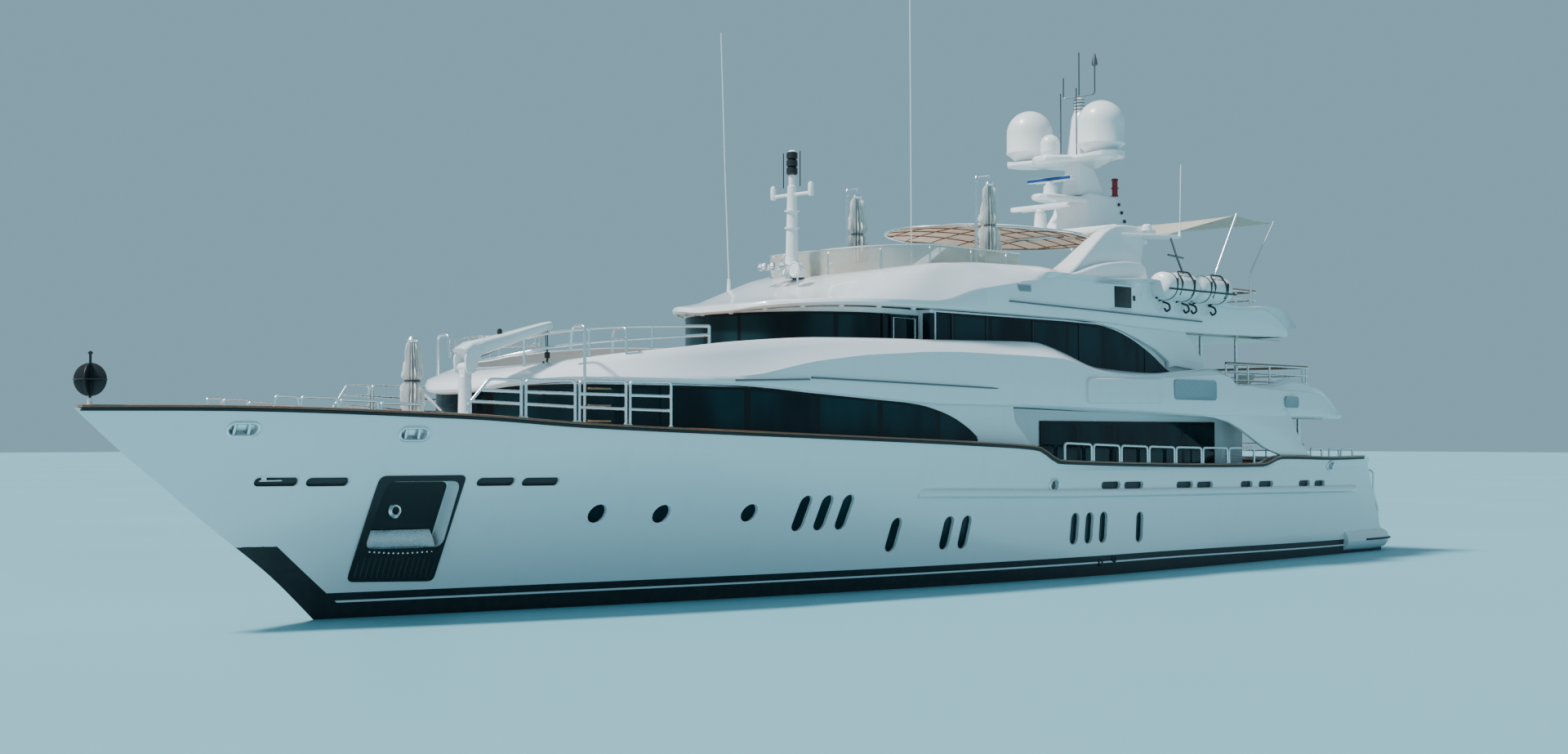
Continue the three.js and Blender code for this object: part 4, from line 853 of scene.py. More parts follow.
def slot_outline(x, z, width, height, corner=8):
    """A slot with round ends, lying or standing, centred at x and z."""
    long, short = max(width, height) / 2, min(width, height) / 2
    outline = []
    for centre, start in ((long - short, -90), (short - long, 90)):
        for i in range(corner + 1):
            angle = math.radians(start + 180 * i / corner)
            a, b = centre + short * math.cos(angle), short * math.sin(angle)
            outline.append((x + a, z + b) if width >= height else (x + b, z + a))
    return outline


def rounded_outline(corners, radius):
    """A closed outline with its corners rounded."""
    closed = [(x, 0, z) for x, z in corners]
    result = []
    for before, corner, after in zip(closed[-1:] + closed, closed, closed[1:] + closed[:1]):
        result += [(x, z) for x, _, z in bent([before, corner, after], radius, 6)[1:-1]]
    return result


PORTHOLES = [(11.32, 2.12), (9.75, 2.08), (7.47, 2.05)]
LOW_SLOTS = [(5.35, 2.0, 3, 0.63), (2.95, 1.39, 1, 0), (0.865, 1.38, 2, 0.63), (-4.32, 1.33, 3, 0.62),
             (-6.64, 1.28, 1, 0)]
BOW_PORTS = [(18.24, 2.91), (17.28, 2.9), (13.88, 2.865), (12.91, 2.855)]
AFT_PORTS = [(-5.2, 2.48, 0.9), (-6.28, 2.46, 0.94), (-8.84, 2.42, 0.88), (-9.9, 2.4, 0.87), (-12.2, 2.375, 0.7),
             (-13.31, 2.36, 0.86), (-15.67, 2.34, 0.74), (-16.68, 2.32, 0.72)]
BOW_FAIRLEADS = [(19.11, 3.96), (15.92, 3.87)]
AFT_FAIRLEADS = [(-2.67, 2.53), (-17.32, 2.88)]


def hull_light_outlines():
    outlines = [slot_outline(x, z, 0.44, 0.439) for x, z in PORTHOLES]
    for x, z, count, pitch in LOW_SLOTS:
        outlines += [slot_outline(x - (i - (count - 1) / 2) * pitch, z, 0.36, 0.88) for i in range(count)]
    return outlines


def port_outlines():
    bow = [slot_outline(x, z, 0.84, 0.2) for x, z in BOW_PORTS]
    return bow + [slot_outline(x, z, width, 0.22) for x, z, width in AFT_PORTS]


def fairlead_outlines():
    bow = [slot_outline(x, z, 0.56, 0.26) for x, z in BOW_FAIRLEADS]
    return bow + [slot_outline(x, z, 0.4, 0.28) for x, z in AFT_FAIRLEADS]


ANCHOR_RECESS = [(16.13, 2.89), (14.62, 2.89), (14.57, 1.47), (16.18, 1.46)]


def hull_recesses():
    """Cutters for every hole in the topsides, on both sides, as one body."""
    cutters = [slab(outline, -0.09, 0.12) for outline in hull_light_outlines()]
    cutters += [slab(outline, -0.11, 0.12) for outline in port_outlines()]
    cutters += [slab(outline, -0.2, 0.12) for outline in fairlead_outlines()]
    cutters.append(slab(rounded_outline(ANCHOR_RECESS, 0.16), -0.44, 0.12))
    return paired("cutters", joined("cutters", cutters))


def build_hull_lights():
    """Glass, freeing ports and fairleads in their recesses, on both sides."""
    ports = port_outlines()
    for name, outlines, offset, finish in (
            ("hull_lights", hull_light_outlines(), -0.082, "pane"),
            # Freeing ports and deck drains are openings; the dark sheet in the rubber finish, set back in each recess,
            # is painted shade for the opening.
            ("freeing_ports", ports[:len(BOW_PORTS)], -0.075, "rubber"),
            ("deck_drains", ports[len(BOW_PORTS):], -0.085, "rubber"),
            ("fairlead_linings", fairlead_outlines(), -0.16, "steel")):
        dress(paired(name, joined(name, [slab(outline, offset - 0.02, offset) for outline in outlines])), finish)

    def edges(outlines, out):
        return [[(x, side_half_at(x, z) + out, z) for x, z in outline] for outline in outlines]

    leads = pipes("leads", edges(fairlead_outlines(), 0.012), 0.032, 10, closed=True)
    bars = [[(x + dx, side_half_at(x + dx, z + dz) - 0.05, z + dz) for dz in (-0.11, 0.11)]
            for x, z in BOW_FAIRLEADS for dx in (-0.13, 0.13)]
    dress(paired("fairlead_rims", joined("fairlead_rims", [leads, pipes("rollers", bars, 0.04, 12)])), "steel")
    lips = pipes("lips", edges(hull_light_outlines() + ports, 0.002), 0.012, 8, closed=True)
    dress(paired("recess_lips", lips), "white", slot="white_hull")


def pocket_point(u, v, offset):
    """A point of the anchor panel, from 0 to 1 across from its fore edge and down from its top."""
    x = (16.3 - 1.75 * u) * (1 - v) + (16.36 - 1.82 * u) * v
    z = 3.01 + (0.77 - 0.05 * u - 3.01) * v
    return x, side_half_at(x, z) + offset, z


def build_anchor_pocket():
    """A black panel round each anchor pocket, with its steel tray, hawse pipe, bolts and ribbed wear plate."""
    panel = slab(rounded_outline(ANCHOR_POCKET, 0.14), -0.005, 0.02)
    carved(panel, [slab(rounded_outline(ANCHOR_RECESS, 0.2), -0.2, 0.2)])
    back = slab(rounded_outline([(16.11, 2.87), (14.64, 2.87), (14.6, 1.5), (16.15, 1.5)], 0.16), -0.45, -0.425)
    both_sides("anchor_panel", [panel, back], "black")
    ribs = [[pocket_point(u, v, 0.02) for v in (0.765, 0.86, 0.955)] for u in between(0.07, 0.95, 15)]
    both_sides("anchor_ribs", [pipes("ribs", ribs, 0.014, 8)], "rubber")
    rows = [[(x, side_half_at(x, z) - depth, z) for x in between(16.1 - shift, 14.7 + shift * 0.4, 9)]
            for depth, z, shift in ((-0.02, 1.475, 0.0), (0.03, 1.5, 0.0), (0.18, 1.66, 0.01), (0.4, 1.84, 0.03))]
    tray = finish_modifier(strip("tray", rows), "SOLIDIFY", thickness=0.02 * SCALE, offset=0)
    hawse = turned("hawse", [(0.09, 0.06), (0.09, -0.01), (0.15, -0.01), (0.16, 0.03), (0.12, 0.07), (0.09, 0.06)],
                   pocket_point(0.43, 0.33, -0.42), 32, "y")
    bolts = []
    for u in between(0.16, 0.88, 14):
        place = pocket_point(u, 0.712 + 0.016 * math.sin((u - 0.16) / 0.72 * math.pi), 0.02)
        bolts.append(turned("bolt", [(0.022, 0), (0.018, 0.016), (0, 0.02)], place, 10, "y"))
    both_sides("anchor_tray", [tray, hawse, *bolts], "steel")


def build_capping():
    """The teak capping of the bulwark over a dark moulding, in one run from stern to stem on each side."""
    def section(x, outer, inner, low, high):
        half, z = max(0.02, beam_at(x)), eased(RAIL_Z, x)
        inside = max(0.004, half - inner)
        out = half + outer
        return [(out - 0.01, z + low), (out, z + low + 0.012), (out, z + high - 0.012), (out - 0.02, z + high),
                (min(inside + 0.02, out - 0.03), z + high), (inside, z + high - 0.012), (inside, z + low + 0.012),
                (min(inside + 0.01, out - 0.03), z + low)]

    stations = between(-19.6, 20.5, 150) + between(20.6, 21.95, 14)
    teak = swept("cap_rail", stations, lambda x: section(x, 0.05, 0.28, 0.012, 0.062))
    nodes = [kind + side for kind in ("bulwark_rail", "side_rail") for side in ("_port", "_starboard")]
    dress(teak, "varnish", slot="steel", stands_for=nodes)
    moulding = swept("cap_moulding", stations, lambda x: section(x, 0.03, 0.2, -0.06, 0.012))
    dress(moulding, "black")


def deck_piece(name, shape, inset, z, thickness=0.03, finish="teak"):
    port = plan_points(shape, inset, 24)
    deck = lofted(name, [mirrored_ring([(x, y, low) for x, y in port]) for low in (z - 0.005, z + thickness)])
    dress(deck, finish, smooth=20)


def build_decks():
    deck_piece("main_deck_teak", AFT_WELL, 0.01, MAIN_DECK_Z)
    deck_piece("foredeck_teak", dict(FORE_FLOOR, front=18.7), 0.02, FOREDECK_Z)
    bridge = {"aft": -17.55, "bend": 9.2, "front": 12.35, "power": 2.3,
              "side": lambda x: beam_at(x) - eased(BELT_TOP_INSET, x)}
    deck_piece("bridge_deck_teak", bridge, 0.2, BRIDGE_DECK_Z)
    sun = {"aft": -15.7, "bend": -0.4, "front": 2.15, "power": 2.3,
           "side": lambda x: beam_at(x) - 0.9 - eased(SUN_INNER, x)}
    deck_piece("sun_deck_teak", sun, 0.16, SUN_DECK_Z)
    treads = []
    for side in (1, -1):
        y0, y1 = sorted((side * (STEPS_Y[0] + 0.06), side * (STEPS_Y[1] - 0.06)))
        for x, z in map(step_place, range(1, STEP_COUNT)):
            treads.append(box("tread", (x + STEP_RUN + 0.03, y0, z - 0.004), (x - 0.02, y1, z + 0.022), 0.008))
    dress(joined("stair_treads", treads), "teak")


PLATFORM = {"aft": 0, "bend": 1.2, "front": 3.85, "power": 5, "side": lambda x: 4.36, "steps": 6}


def build_platform():
    """The bathing platform wrapped round the stern, with a rounded edge and a teak top."""
    edge = [(0.5, 0.02), (0.3, 0.06), (0.12, 0.15), (0.02, 0.3), (0, 0.42), (0.03, 0.55), (0.1, 0.65), (0.2, 0.72),
            (0.32, PLATFORM_Z)]

    def ring(inset, z):
        return mirrored_ring([(-18.6 - x, y, z) for x, y in plan_points(PLATFORM, inset)])

    body = lofted("bathing_platform", [ring(inset, z) for inset, z in edge])
    dress(body, "white", slot="white_hull", stands_for=["swim_platform"])
    top = lofted("platform_teak", [ring(0.42, PLATFORM_Z - 0.01), ring(0.42, PLATFORM_Z + 0.025)])
    dress(top, "teak")
    band = [(x, y, 0.42) for x, y in [(-18.6 - a, b) for a, b in plan_points(PLATFORM, -0.012)] if x < -19.6]
    rail = pipes("platform_fender", [band + [(x, -y, z) for x, y, z in reversed(band)]], 0.035, 10)
    dress(rail, "rubber")


# The white decks above the hull
BELT_LOW_Z = [(-18.3, 4.4), (-10.4, 4.4), (-6.6, 4.5), (-1.06, 4.6), (1.8, 4.6), (3.27, 4.67), (5.95, 4.83),
              (8.3, 4.98), (12, 5.02), (13, 4.92), (13.55, 4.75)]
BELT_LOW_INSET = [(-18.3, 0.2), (-14, 0.08), (-2.5, 0.06), (0.5, 0.26), (13, 0.26)]
BELT_TOP_INSET = [(-18.3, 0.36), (-9, 0.42), (-3.4, 0.55), (-1, 0.7), (13, 0.7)]
BELT_TOP_Z = [(-18.3, 4.42), (-17.6, 4.95), (-16.72, 5.38), (-15.06, 5.66), (-13.98, 5.41), (-11.65, 5.41),
              (-10.89, 5.84), (-8.94, 5.72), (-7.68, 5.64), (-4.92, 5.74), (-3.44, 6.14), (-2.35, 6.35), (1.32, 6.28),
              (5.57, 6.19), (7.99, 6.02), (9.53, 5.84), (10.99, 5.66), (12.16, 5.45), (12.9, 5.3), (13.6, 5.05)]
BELT_CREASE_Z = [(-18.3, 4.4), (-16.7, 5.2), (-13, 5.3), (-10.9, 5.66), (-7.7, 5.52), (-4.9, 5.6), (-2.8, 5.93),
                 (0.9, 5.98), (2.2, 5.95), (3.3, 5.88), (4.4, 5.81), (5.2, 5.72), (6, 5.62), (6.6, 5.51), (7.2, 5.38),
                 (7.7, 5.28), (8.4, 5.22), (12, 5.19), (12.7, 5.17), (13.2, 5.12), (13.5, 5.05)]


def build_bridge_deck():
    """The slab of the bridge deck with its coaming: a shaded side, a crease that sweeps up, and a sloping shoulder."""
    def shape(front, table, shift, aft=-18.3):
        return {"aft": aft, "bend": 9.2, "front": front, "power": 2.3,
                "side": lambda x: beam_at(x) - eased(table, x) - shift}

    def low(rise):
        return lambda x: eased(BELT_LOW_Z, x) + rise

    def crease(x):
        return max(eased(BELT_LOW_Z, x) + 0.14, min(eased(BELT_CREASE_Z, x), eased(BELT_TOP_Z, x) - 0.05))

    def top(x):
        return max(eased(BELT_TOP_Z, x), eased(BELT_LOW_Z, x) + 0.2)

    def shoulder(share):
        return lambda x: crease(x) + (top(x) - crease(x)) * share

    def inner(x):
        return max(eased(BELT_TOP_Z, x), BRIDGE_DECK_Z + 0.04)

    rings = [plan_ring(shape(*form), height) for *form, height in (
        (13.35, BELT_LOW_INSET, 0.2, low(0)),
        (13.52, BELT_LOW_INSET, 0.03, low(0)),
        (13.6, BELT_LOW_INSET, -0.02, low(0.05)),
        (13.62, BELT_LOW_INSET, -0.03, low(0.11)),
        (13.56, BELT_LOW_INSET, 0.01, lambda x: crease(x) - 0.02),
        (13.53, BELT_LOW_INSET, 0.035, crease),
        (13.15, BELT_TOP_INSET, -0.2, shoulder(0.62)),
        (12.75, BELT_TOP_INSET, -0.05, shoulder(0.93)),
        (12.55, BELT_TOP_INSET, 0.02, shoulder(1)),
        (12.38, BELT_TOP_INSET, 0.13, -17.7, lambda x: inner(x) - 0.005),
        (12.35, BELT_TOP_INSET, 0.15, -17.62, lambda x: inner(x) - 0.03),
        (12.35, BELT_TOP_INSET, 0.17, -17.6, level(BRIDGE_DECK_Z)),
    )]
    fin = [(-9.6, 4.7), (-9.6, 4.42), (-10.39, 4.36), (-11.1, 4.25), (-11.73, 4.05), (-12.4, 3.77), (-13.11, 3.48),
           (-14.07, 3.23), (-15.82, 3.22), (-15.35, 3.6), (-14.95, 4.05), (-14.66, 4.49), (-14.5, 4.7)]
    fins = [plate("fin", fin, (side * 4.44, side * 4.57), bevel=0.03, segments=3) for side in (1, -1)]
    dress(joined("bridge_deck", [lofted("bridge_deck", rings), *fins]), "white", stands_for=["upper_deck"], smooth=32)
    posts = [[(-16.8, side * 3.6, MAIN_DECK_Z), (-16.8, side * 3.6, 4.5)] for side in (1, -1)]
    dress(pipes("main_posts", posts, 0.07, 20), "steel")
    ceiling = {"aft": -17.6, "bend": -12.75, "front": -12.7, "power": 8, "steps": 20,
               "side": lambda x: beam_at(x) - 0.5}
    deck_piece("main_deck_ceiling", ceiling, 0, 4.375, 0.02, "deckhead")


SUN_LOW_Z = [(-16.3, 7.0), (-11.13, 6.9), (-7.92, 6.95), (-5, 7.05), (1.1, 7.07), (3.5, 7.07), (4.8, 7.03),
             (5.4, 6.96), (5.6, 6.88)]
SUN_TOP_Z = [(-16.3, 7.1), (-15.43, 7.7), (-14.45, 7.92), (-13.5, 7.86), (-12.6, 7.85), (-9.2, 8.25), (-8, 8.43),
             (-5.57, 8.3), (-4.42, 8.36), (-3.39, 8.5), (-1.5, 8.49), (0.3, 8.37), (1.5, 8.2), (2.75, 7.95),
             (3.6, 7.68), (4.6, 7.36), (5.5, 7.1)]
SUN_CREASE_Z = [(-16.3, 7.06), (-15.4, 7.6), (-14.45, 7.82), (-12.6, 7.75), (-9.2, 8.15), (-8, 8.3), (-5.57, 8.2),
                (-4.4, 8.2), (-2.6, 8.04), (-1.85, 7.93), (-1, 7.8), (-0.14, 7.64), (0.68, 7.4), (1.16, 7.32),
                (1.5, 7.3), (2.6, 7.28), (3.5, 7.26), (4.6, 7.23), (5.2, 7.2), (5.5, 7.12)]
SUN_INNER = [(-16.3, 0.1), (-6, 0.12), (-4.4, 0.2), (-3, 0.55), (-1.5, 0.75), (10, 0.85)]


def build_sun_deck():
    """The slab of the sun deck with the brow over the wheelhouse and the roof that slopes up from its crease."""
    def shape(front, table, shift, bend=2.0, aft=-16.0, power=2.2):
        return {"aft": aft, "bend": bend, "front": front, "power": power,
                "side": lambda x: beam_at(x) - 0.9 - (eased(table, x) if table else 0) - shift}

    def low(rise):
        return lambda x: eased(SUN_LOW_Z, x) + rise

    def crease(x):
        return max(eased(SUN_CREASE_Z, x), eased(SUN_LOW_Z, x) + 0.1)

    def roof(share):
        return lambda x: crease(x) + (max(eased(SUN_TOP_Z, x), crease(x) + 0.03) - crease(x)) * share

    def inner(x):
        return max(eased(SUN_TOP_Z, x), SUN_DECK_Z + 0.03)

    rings = [plan_ring(shape(*form), height) for *form, height in (
        (5.3, None, 0.3, low(0.03)),
        (5.5, None, 0.06, low(0)),
        (5.58, None, 0, low(0.03)),
        (5.62, None, -0.02, low(0.09)),
        (5.6, None, 0, lambda x: crease(x) - 0.03),
        (5.56, None, 0.02, crease),
        (4.9, SUN_INNER, -0.45, 1.2, lambda x: roof(0.42 if x > -3 else 0.5)(x)),
        (4.0, SUN_INNER, -0.22, 0.6, roof(0.75)),
        (3.1, SUN_INNER, -0.08, 0.1, roof(0.94)),
        (2.4, SUN_INNER, 0, -0.4, -16.0, 2.3, roof(1)),
        (2.1, SUN_INNER, 0.12, -0.4, -15.8, 2.3, lambda x: inner(x) - 0.01),
        (2.06, SUN_INNER, 0.14, -0.4, -15.75, 2.3, level(SUN_DECK_Z)),
    )]
    dress(lofted("sun_deck_slab", rings), "white", stands_for=["sun_deck"], smooth=32)
    posts = [[(x, side * 3.1, BRIDGE_DECK_Z), (x, side * 3.1, 7.0)] for side in (1, -1) for x in (-11.9, -13.9)]
    dress(pipes("upper_posts", posts, 0.065, 20), "steel")
    ceiling = {"aft": -15.9, "bend": -10.4, "front": -10.35, "power": 8, "steps": 20,
               "side": lambda x: beam_at(x) - 1.1}
    deck_piece("upper_deck_ceiling", ceiling, 0, 6.87, 0.03, "deckhead")


# Deck houses
FORE_HOUSE = {"aft": -1.9, "bend": 9.2, "front": 13.35, "power": 2.2, "side": lambda x: beam_at(x) - 0.35}
WHEELHOUSE = {"aft": 1.2, "bend": 2.6, "front": 5.3, "power": 2.2, "side": lambda x: beam_at(x) - 1.5, "steps": 10}
MAIN_BAND_TOP = [(0.28, 3.72), (0.5, 3.92), (0.86, 4.12), (1.3, 4.31), (1.8, 4.46), (2.5, 4.6), (3.27, 4.67),
                 (5.95, 4.83), (8.32, 4.95), (10.06, 4.96), (12, 4.97), (12.9, 4.93), (13.4, 4.8)]
MAIN_BAND_LOW = [(0.28, 3.68), (1, 3.7), (6.28, 3.86), (9.5, 3.9), (10.2, 3.62), (13.4, 3.6)]
SALOON_HALF = 3.4
LOUNGE_HALF = 3.53
WING_Y = beam_at(1.2) - 1.5


GLASS_PROUD = 0.012
GLASS_THICKNESS = 0.03
PANE_ROWS = 6


def glazed(name, path, low, high, across, side):
    """Glass along a plan line between two heights. across numbers its panes, in the UV map, for each point."""
    rows = []
    for x, y in path:
        foot, head = low(x), max(high(x), low(x) + 0.01)
        rows.append([(x, y, foot + (head - foot) * i / PANE_ROWS) for i in range(PANE_ROWS + 1)])
    glass = strip(name, rows)
    layer = glass.data.uv_layers.new(name="UVMap")
    for loop in glass.data.loops:
        row, rise = divmod(loop.vertex_index, PANE_ROWS + 1)
        layer.data[loop.index].uv = (across[row], rise / PANE_ROWS)
    return finish_modifier(glass, "SOLIDIFY", thickness=GLASS_THICKNESS * SCALE, offset=side)


def skin(name, shape, from_x, low, high, pane_width, rounds=120):
    """Glass wrapped flush round the front of a house, from one side to the other."""
    path = round_front([(x, y) for x, y in plan_points(dict(shape, steps=130), -GLASS_PROUD, rounds) if x >= from_x])
    lengths = [0]
    for a, b in zip(path, path[1:]):
        lengths.append(lengths[-1] + math.dist(a, b))
    middle = lengths[-1] / 2
    return glazed(name, path, low, high, [abs(length - middle) / pane_width + 0.5 for length in lengths], -1)


def side_glass(name, stations, y, low, high, pane_width):
    """A flat pane along a side, with a shaped upper edge."""
    across = [(x - stations[0]) / pane_width for x in stations]
    return glazed(name, [(x, y + GLASS_PROUD) for x in stations], low, high, across, 1)


UPPER_BAND_TOP = [(-9.5, 5.75), (-9.24, 5.86), (-8.63, 6.2), (-7.9, 6.52), (-7.39, 6.7), (-6.6, 6.9), (-5.8, 7.0),
                  (-3.9, 7.03), (0.6, 7.03)]
UPPER_BAND_LOW = [(-9.5, 5.72), (-8.8, 5.64), (-3, 5.6), (0.6, 5.75)]


LOUNGE_END_X = (-9.5, 1.12)
LOUNGE_MULLION_X = (0.49, -0.92, -2.9, -5.0, -8.21)
WHEELHOUSE_GLASS_Z = (5.93, 6.93)


def build_main_windows():
    """The continuous black window band of the main deck, round the front and tapering aft."""
    band = skin("main_windows", FORE_HOUSE, 0.28, lambda x: eased(MAIN_BAND_LOW, x), lambda x: eased(MAIN_BAND_TOP, x),
                2.05)
    dress(band, "glass", stands_for=["fore_house_glass"])
    pane = side_glass("saloon_windows", between(-12.1, -3.4, 40), SALOON_HALF, level(2.95), level(4.25), 1.74)
    both_sides("saloon_windows", [pane], "glass", ["saloon_glass"])


def build_upper_windows():
    """The wheelhouse windscreen and the arched lounge windows."""
    foot, head = WHEELHOUSE_GLASS_Z
    screen = skin("wheelhouse_windows", WHEELHOUSE, 2.6, level(foot), level(head), 1.28, 90)
    dress(screen, "glass", stands_for=["wheelhouse_glass"])

    def low(x):
        return eased(UPPER_BAND_LOW, x)

    def top(x):
        return eased(UPPER_BAND_TOP, x)

    aft, fore = LOUNGE_END_X
    pane = side_glass("lounge_windows", between(aft, fore, 126), LOUNGE_HALF, low, top, 1.68)
    both_sides("lounge_windows", [pane], "glass", ["lounge_glass"])
    y = LOUNGE_HALF + 0.02
    outline = [(x, y, top(x)) for x in between(aft, fore, 84)] + [(x, y, low(x)) for x in between(fore, aft, 64)]
    both_sides("lounge_window_frame", [pipes("frame", [outline], 0.03, 8, closed=True)], "white")
    mullions = [[(x, LOUNGE_HALF + 0.05, low(x) + 0.05), (x, LOUNGE_HALF + 0.05, top(x) - 0.05)]
                for x in LOUNGE_MULLION_X]
    both_sides("lounge_mullions", [pipes("mullions", mullions, 0.022, 8)], "black")


def build_wing_panels():
    """Dark panels beside the wheelhouse doors, and on the corner of the lounge behind them."""
    foot, head = WHEELHOUSE_GLASS_Z
    panels = [box("panel", (x0, WING_Y, foot), (x1, WING_Y + 0.012, head), 0.003)
              for x0, x1 in ((1.24, 1.42), (2.38, 2.66))]
    panels.append(box("corner", (0.6, 3.531, 5.62), (1.312, 3.545, 6.98), 0.003))
    panels.append(box("corner_front", (1.301, 3.3, 5.62), (1.313, 3.545, 6.98), 0.003))
    both_sides("wing_panels", panels, "pane")


def build_wipers():
    """Wiper arms at the foot of the windscreen, and small lamps under the brow."""
    path = round_front([(x, y) for x, y in plan_points(dict(WHEELHOUSE, steps=60), -0.06, 90) if x > 3.2])
    arms = []
    for share in (0.1, 0.3, 0.5, 0.7, 0.9):
        i = int(share * (len(path) - 14))
        (x0, y0), (x1, y1) = path[i], path[i + 11]
        arms.append([(x0, y0, 5.97), (x0 + (x1 - x0) * 0.3, y0 + (y1 - y0) * 0.3, 6.02), (x1, y1, 6.12)])
    dress(pipes("wipers", arms, 0.018, 8), "white")
    brow = {"aft": -16.3, "bend": 2.0, "front": 5.6, "power": 2.2, "side": lambda x: beam_at(x) - 0.9}
    path = round_front([(x, y) for x, y in plan_points(brow, 0.12, 60) if x > 0.5])
    lamps = []
    for i in range(12):
        x, y = path[int((i + 0.5) / 12 * len(path))]
        profile = [(0.05, -0.05), (0.07, -0.01), (0.07, 0.01)]
        lamps.append(turned("lamp", profile, (x, y, eased(SUN_LOW_Z, x)), 16))
    dress(joined("brow_lamps", lamps), "plastic")


DOOR_FRAME = 0.09
DOOR_PROUD = 0.006


def door_leaf(body, node, x_range, y_range, z_range, side):
    """A glass door leaf in a narrow steel frame, riding on its sliding body."""
    (x0, x1), (y0, y1), (z0, z1) = x_range, sorted(side * y for y in y_range), z_range
    dress(box(body + "_glass_pane", (x0, y0, z0), (x1, y1, z1), 0.006), "pane", body, stands_for=[node])
    low, high = z0 + DOOR_FRAME, z1 - DOOR_FRAME
    if x1 - x0 > y1 - y0:
        y = y1 + DOOR_PROUD if side > 0 else y0 - DOOR_PROUD
        ends, grip = [(x0 + DOOR_FRAME, y), (x1 - DOOR_FRAME, y)], (x0 + 0.16, y)
    else:
        x = x0 - DOOR_PROUD
        ends, grip = [(x, y0 + DOOR_FRAME), (x, y1 - DOOR_FRAME)], (x, y0 + 0.16 if side > 0 else y1 - 0.16)
    loop = [(*ends[0], low), (*ends[1], low), (*ends[1], high), (*ends[0], high)]
    bars = [pipes("frame", [loop], 0.018, 6, closed=True),
            pipes("grip", [[(*grip, z0 + 0.9), (*grip, z0 + 1.25)]], 0.016, 8)]
    dress(joined(body + "_glass_frame", bars), "steel", body)


def build_doors():
    """The sliding leaves of the saloon, the lounge and the wheelhouse."""
    for side, word in ((1, "port"), (-1, "starboard")):
        for body, node, x_range, y_range, z_range in (
                ("saloon_leaf_", "saloon_door_", (-12.664, -12.614), (0.008, 1.65), (2.21, 4.25)),
                ("lounge_leaf_", "lounge_door_", (-10.364, -10.314), (0.008, 1.65), (5.06, 6.79)),
                ("bridge_leaf_", "wheelhouse_door_", (1.4, 2.4), (WING_Y + 0.024, WING_Y + 0.06), (5.07, 6.92))):
            door_leaf(body + word, node + word, x_range, y_range, z_range, side)


# Arch, mast and what they carry
def reshaped(piece, change):
    """Moves every point of a piece by a function of its place, in full size metres."""
    for vertex in piece.data.vertices:
        x, y, z = (c / SCALE for c in vertex.co)
        vertex.co = [c * SCALE for c in change(x, y, z)]
    piece.data.update()
    return piece


ARCH_LEG = [(-3.6, 8.3), (-4.1, 8.3), (-4.51, 8.37), (-5.06, 8.66), (-5.62, 9.0), (-6.2, 9.36), (-6.77, 9.7),
            (-7.1, 9.85), (-7.45, 9.96), (-7.9, 10.02), (-8.5, 10.03), (-8.85, 9.95), (-8.95, 9.8), (-8.8, 9.55),
            (-8.55, 9.25), (-8.35, 8.95), (-8.24, 8.7), (-8.24, 8.45), (-8.4, 8.2), (-8.7, 7.98), (-9.2, 7.86),
            (-10.4, 7.78), (-10.6, 7.46), (-3.6, 7.46)]
FAIRING_TOP = [(-2.2, 8.02), (-3.29, 8.15), (-4.0, 8.24), (-4.5, 8.33), (-5.0, 8.44), (-5.43, 8.56), (-5.9, 8.68),
               (-6.47, 8.78), (-7.1, 8.85), (-7.95, 8.87)]
FAIRING_AFT = [(-8.16, 8.74), (-8.18, 8.45), (-8.35, 8.22), (-8.62, 8.0), (-9.0, 7.86), (-9.0, 7.5), (-2.2, 7.5)]


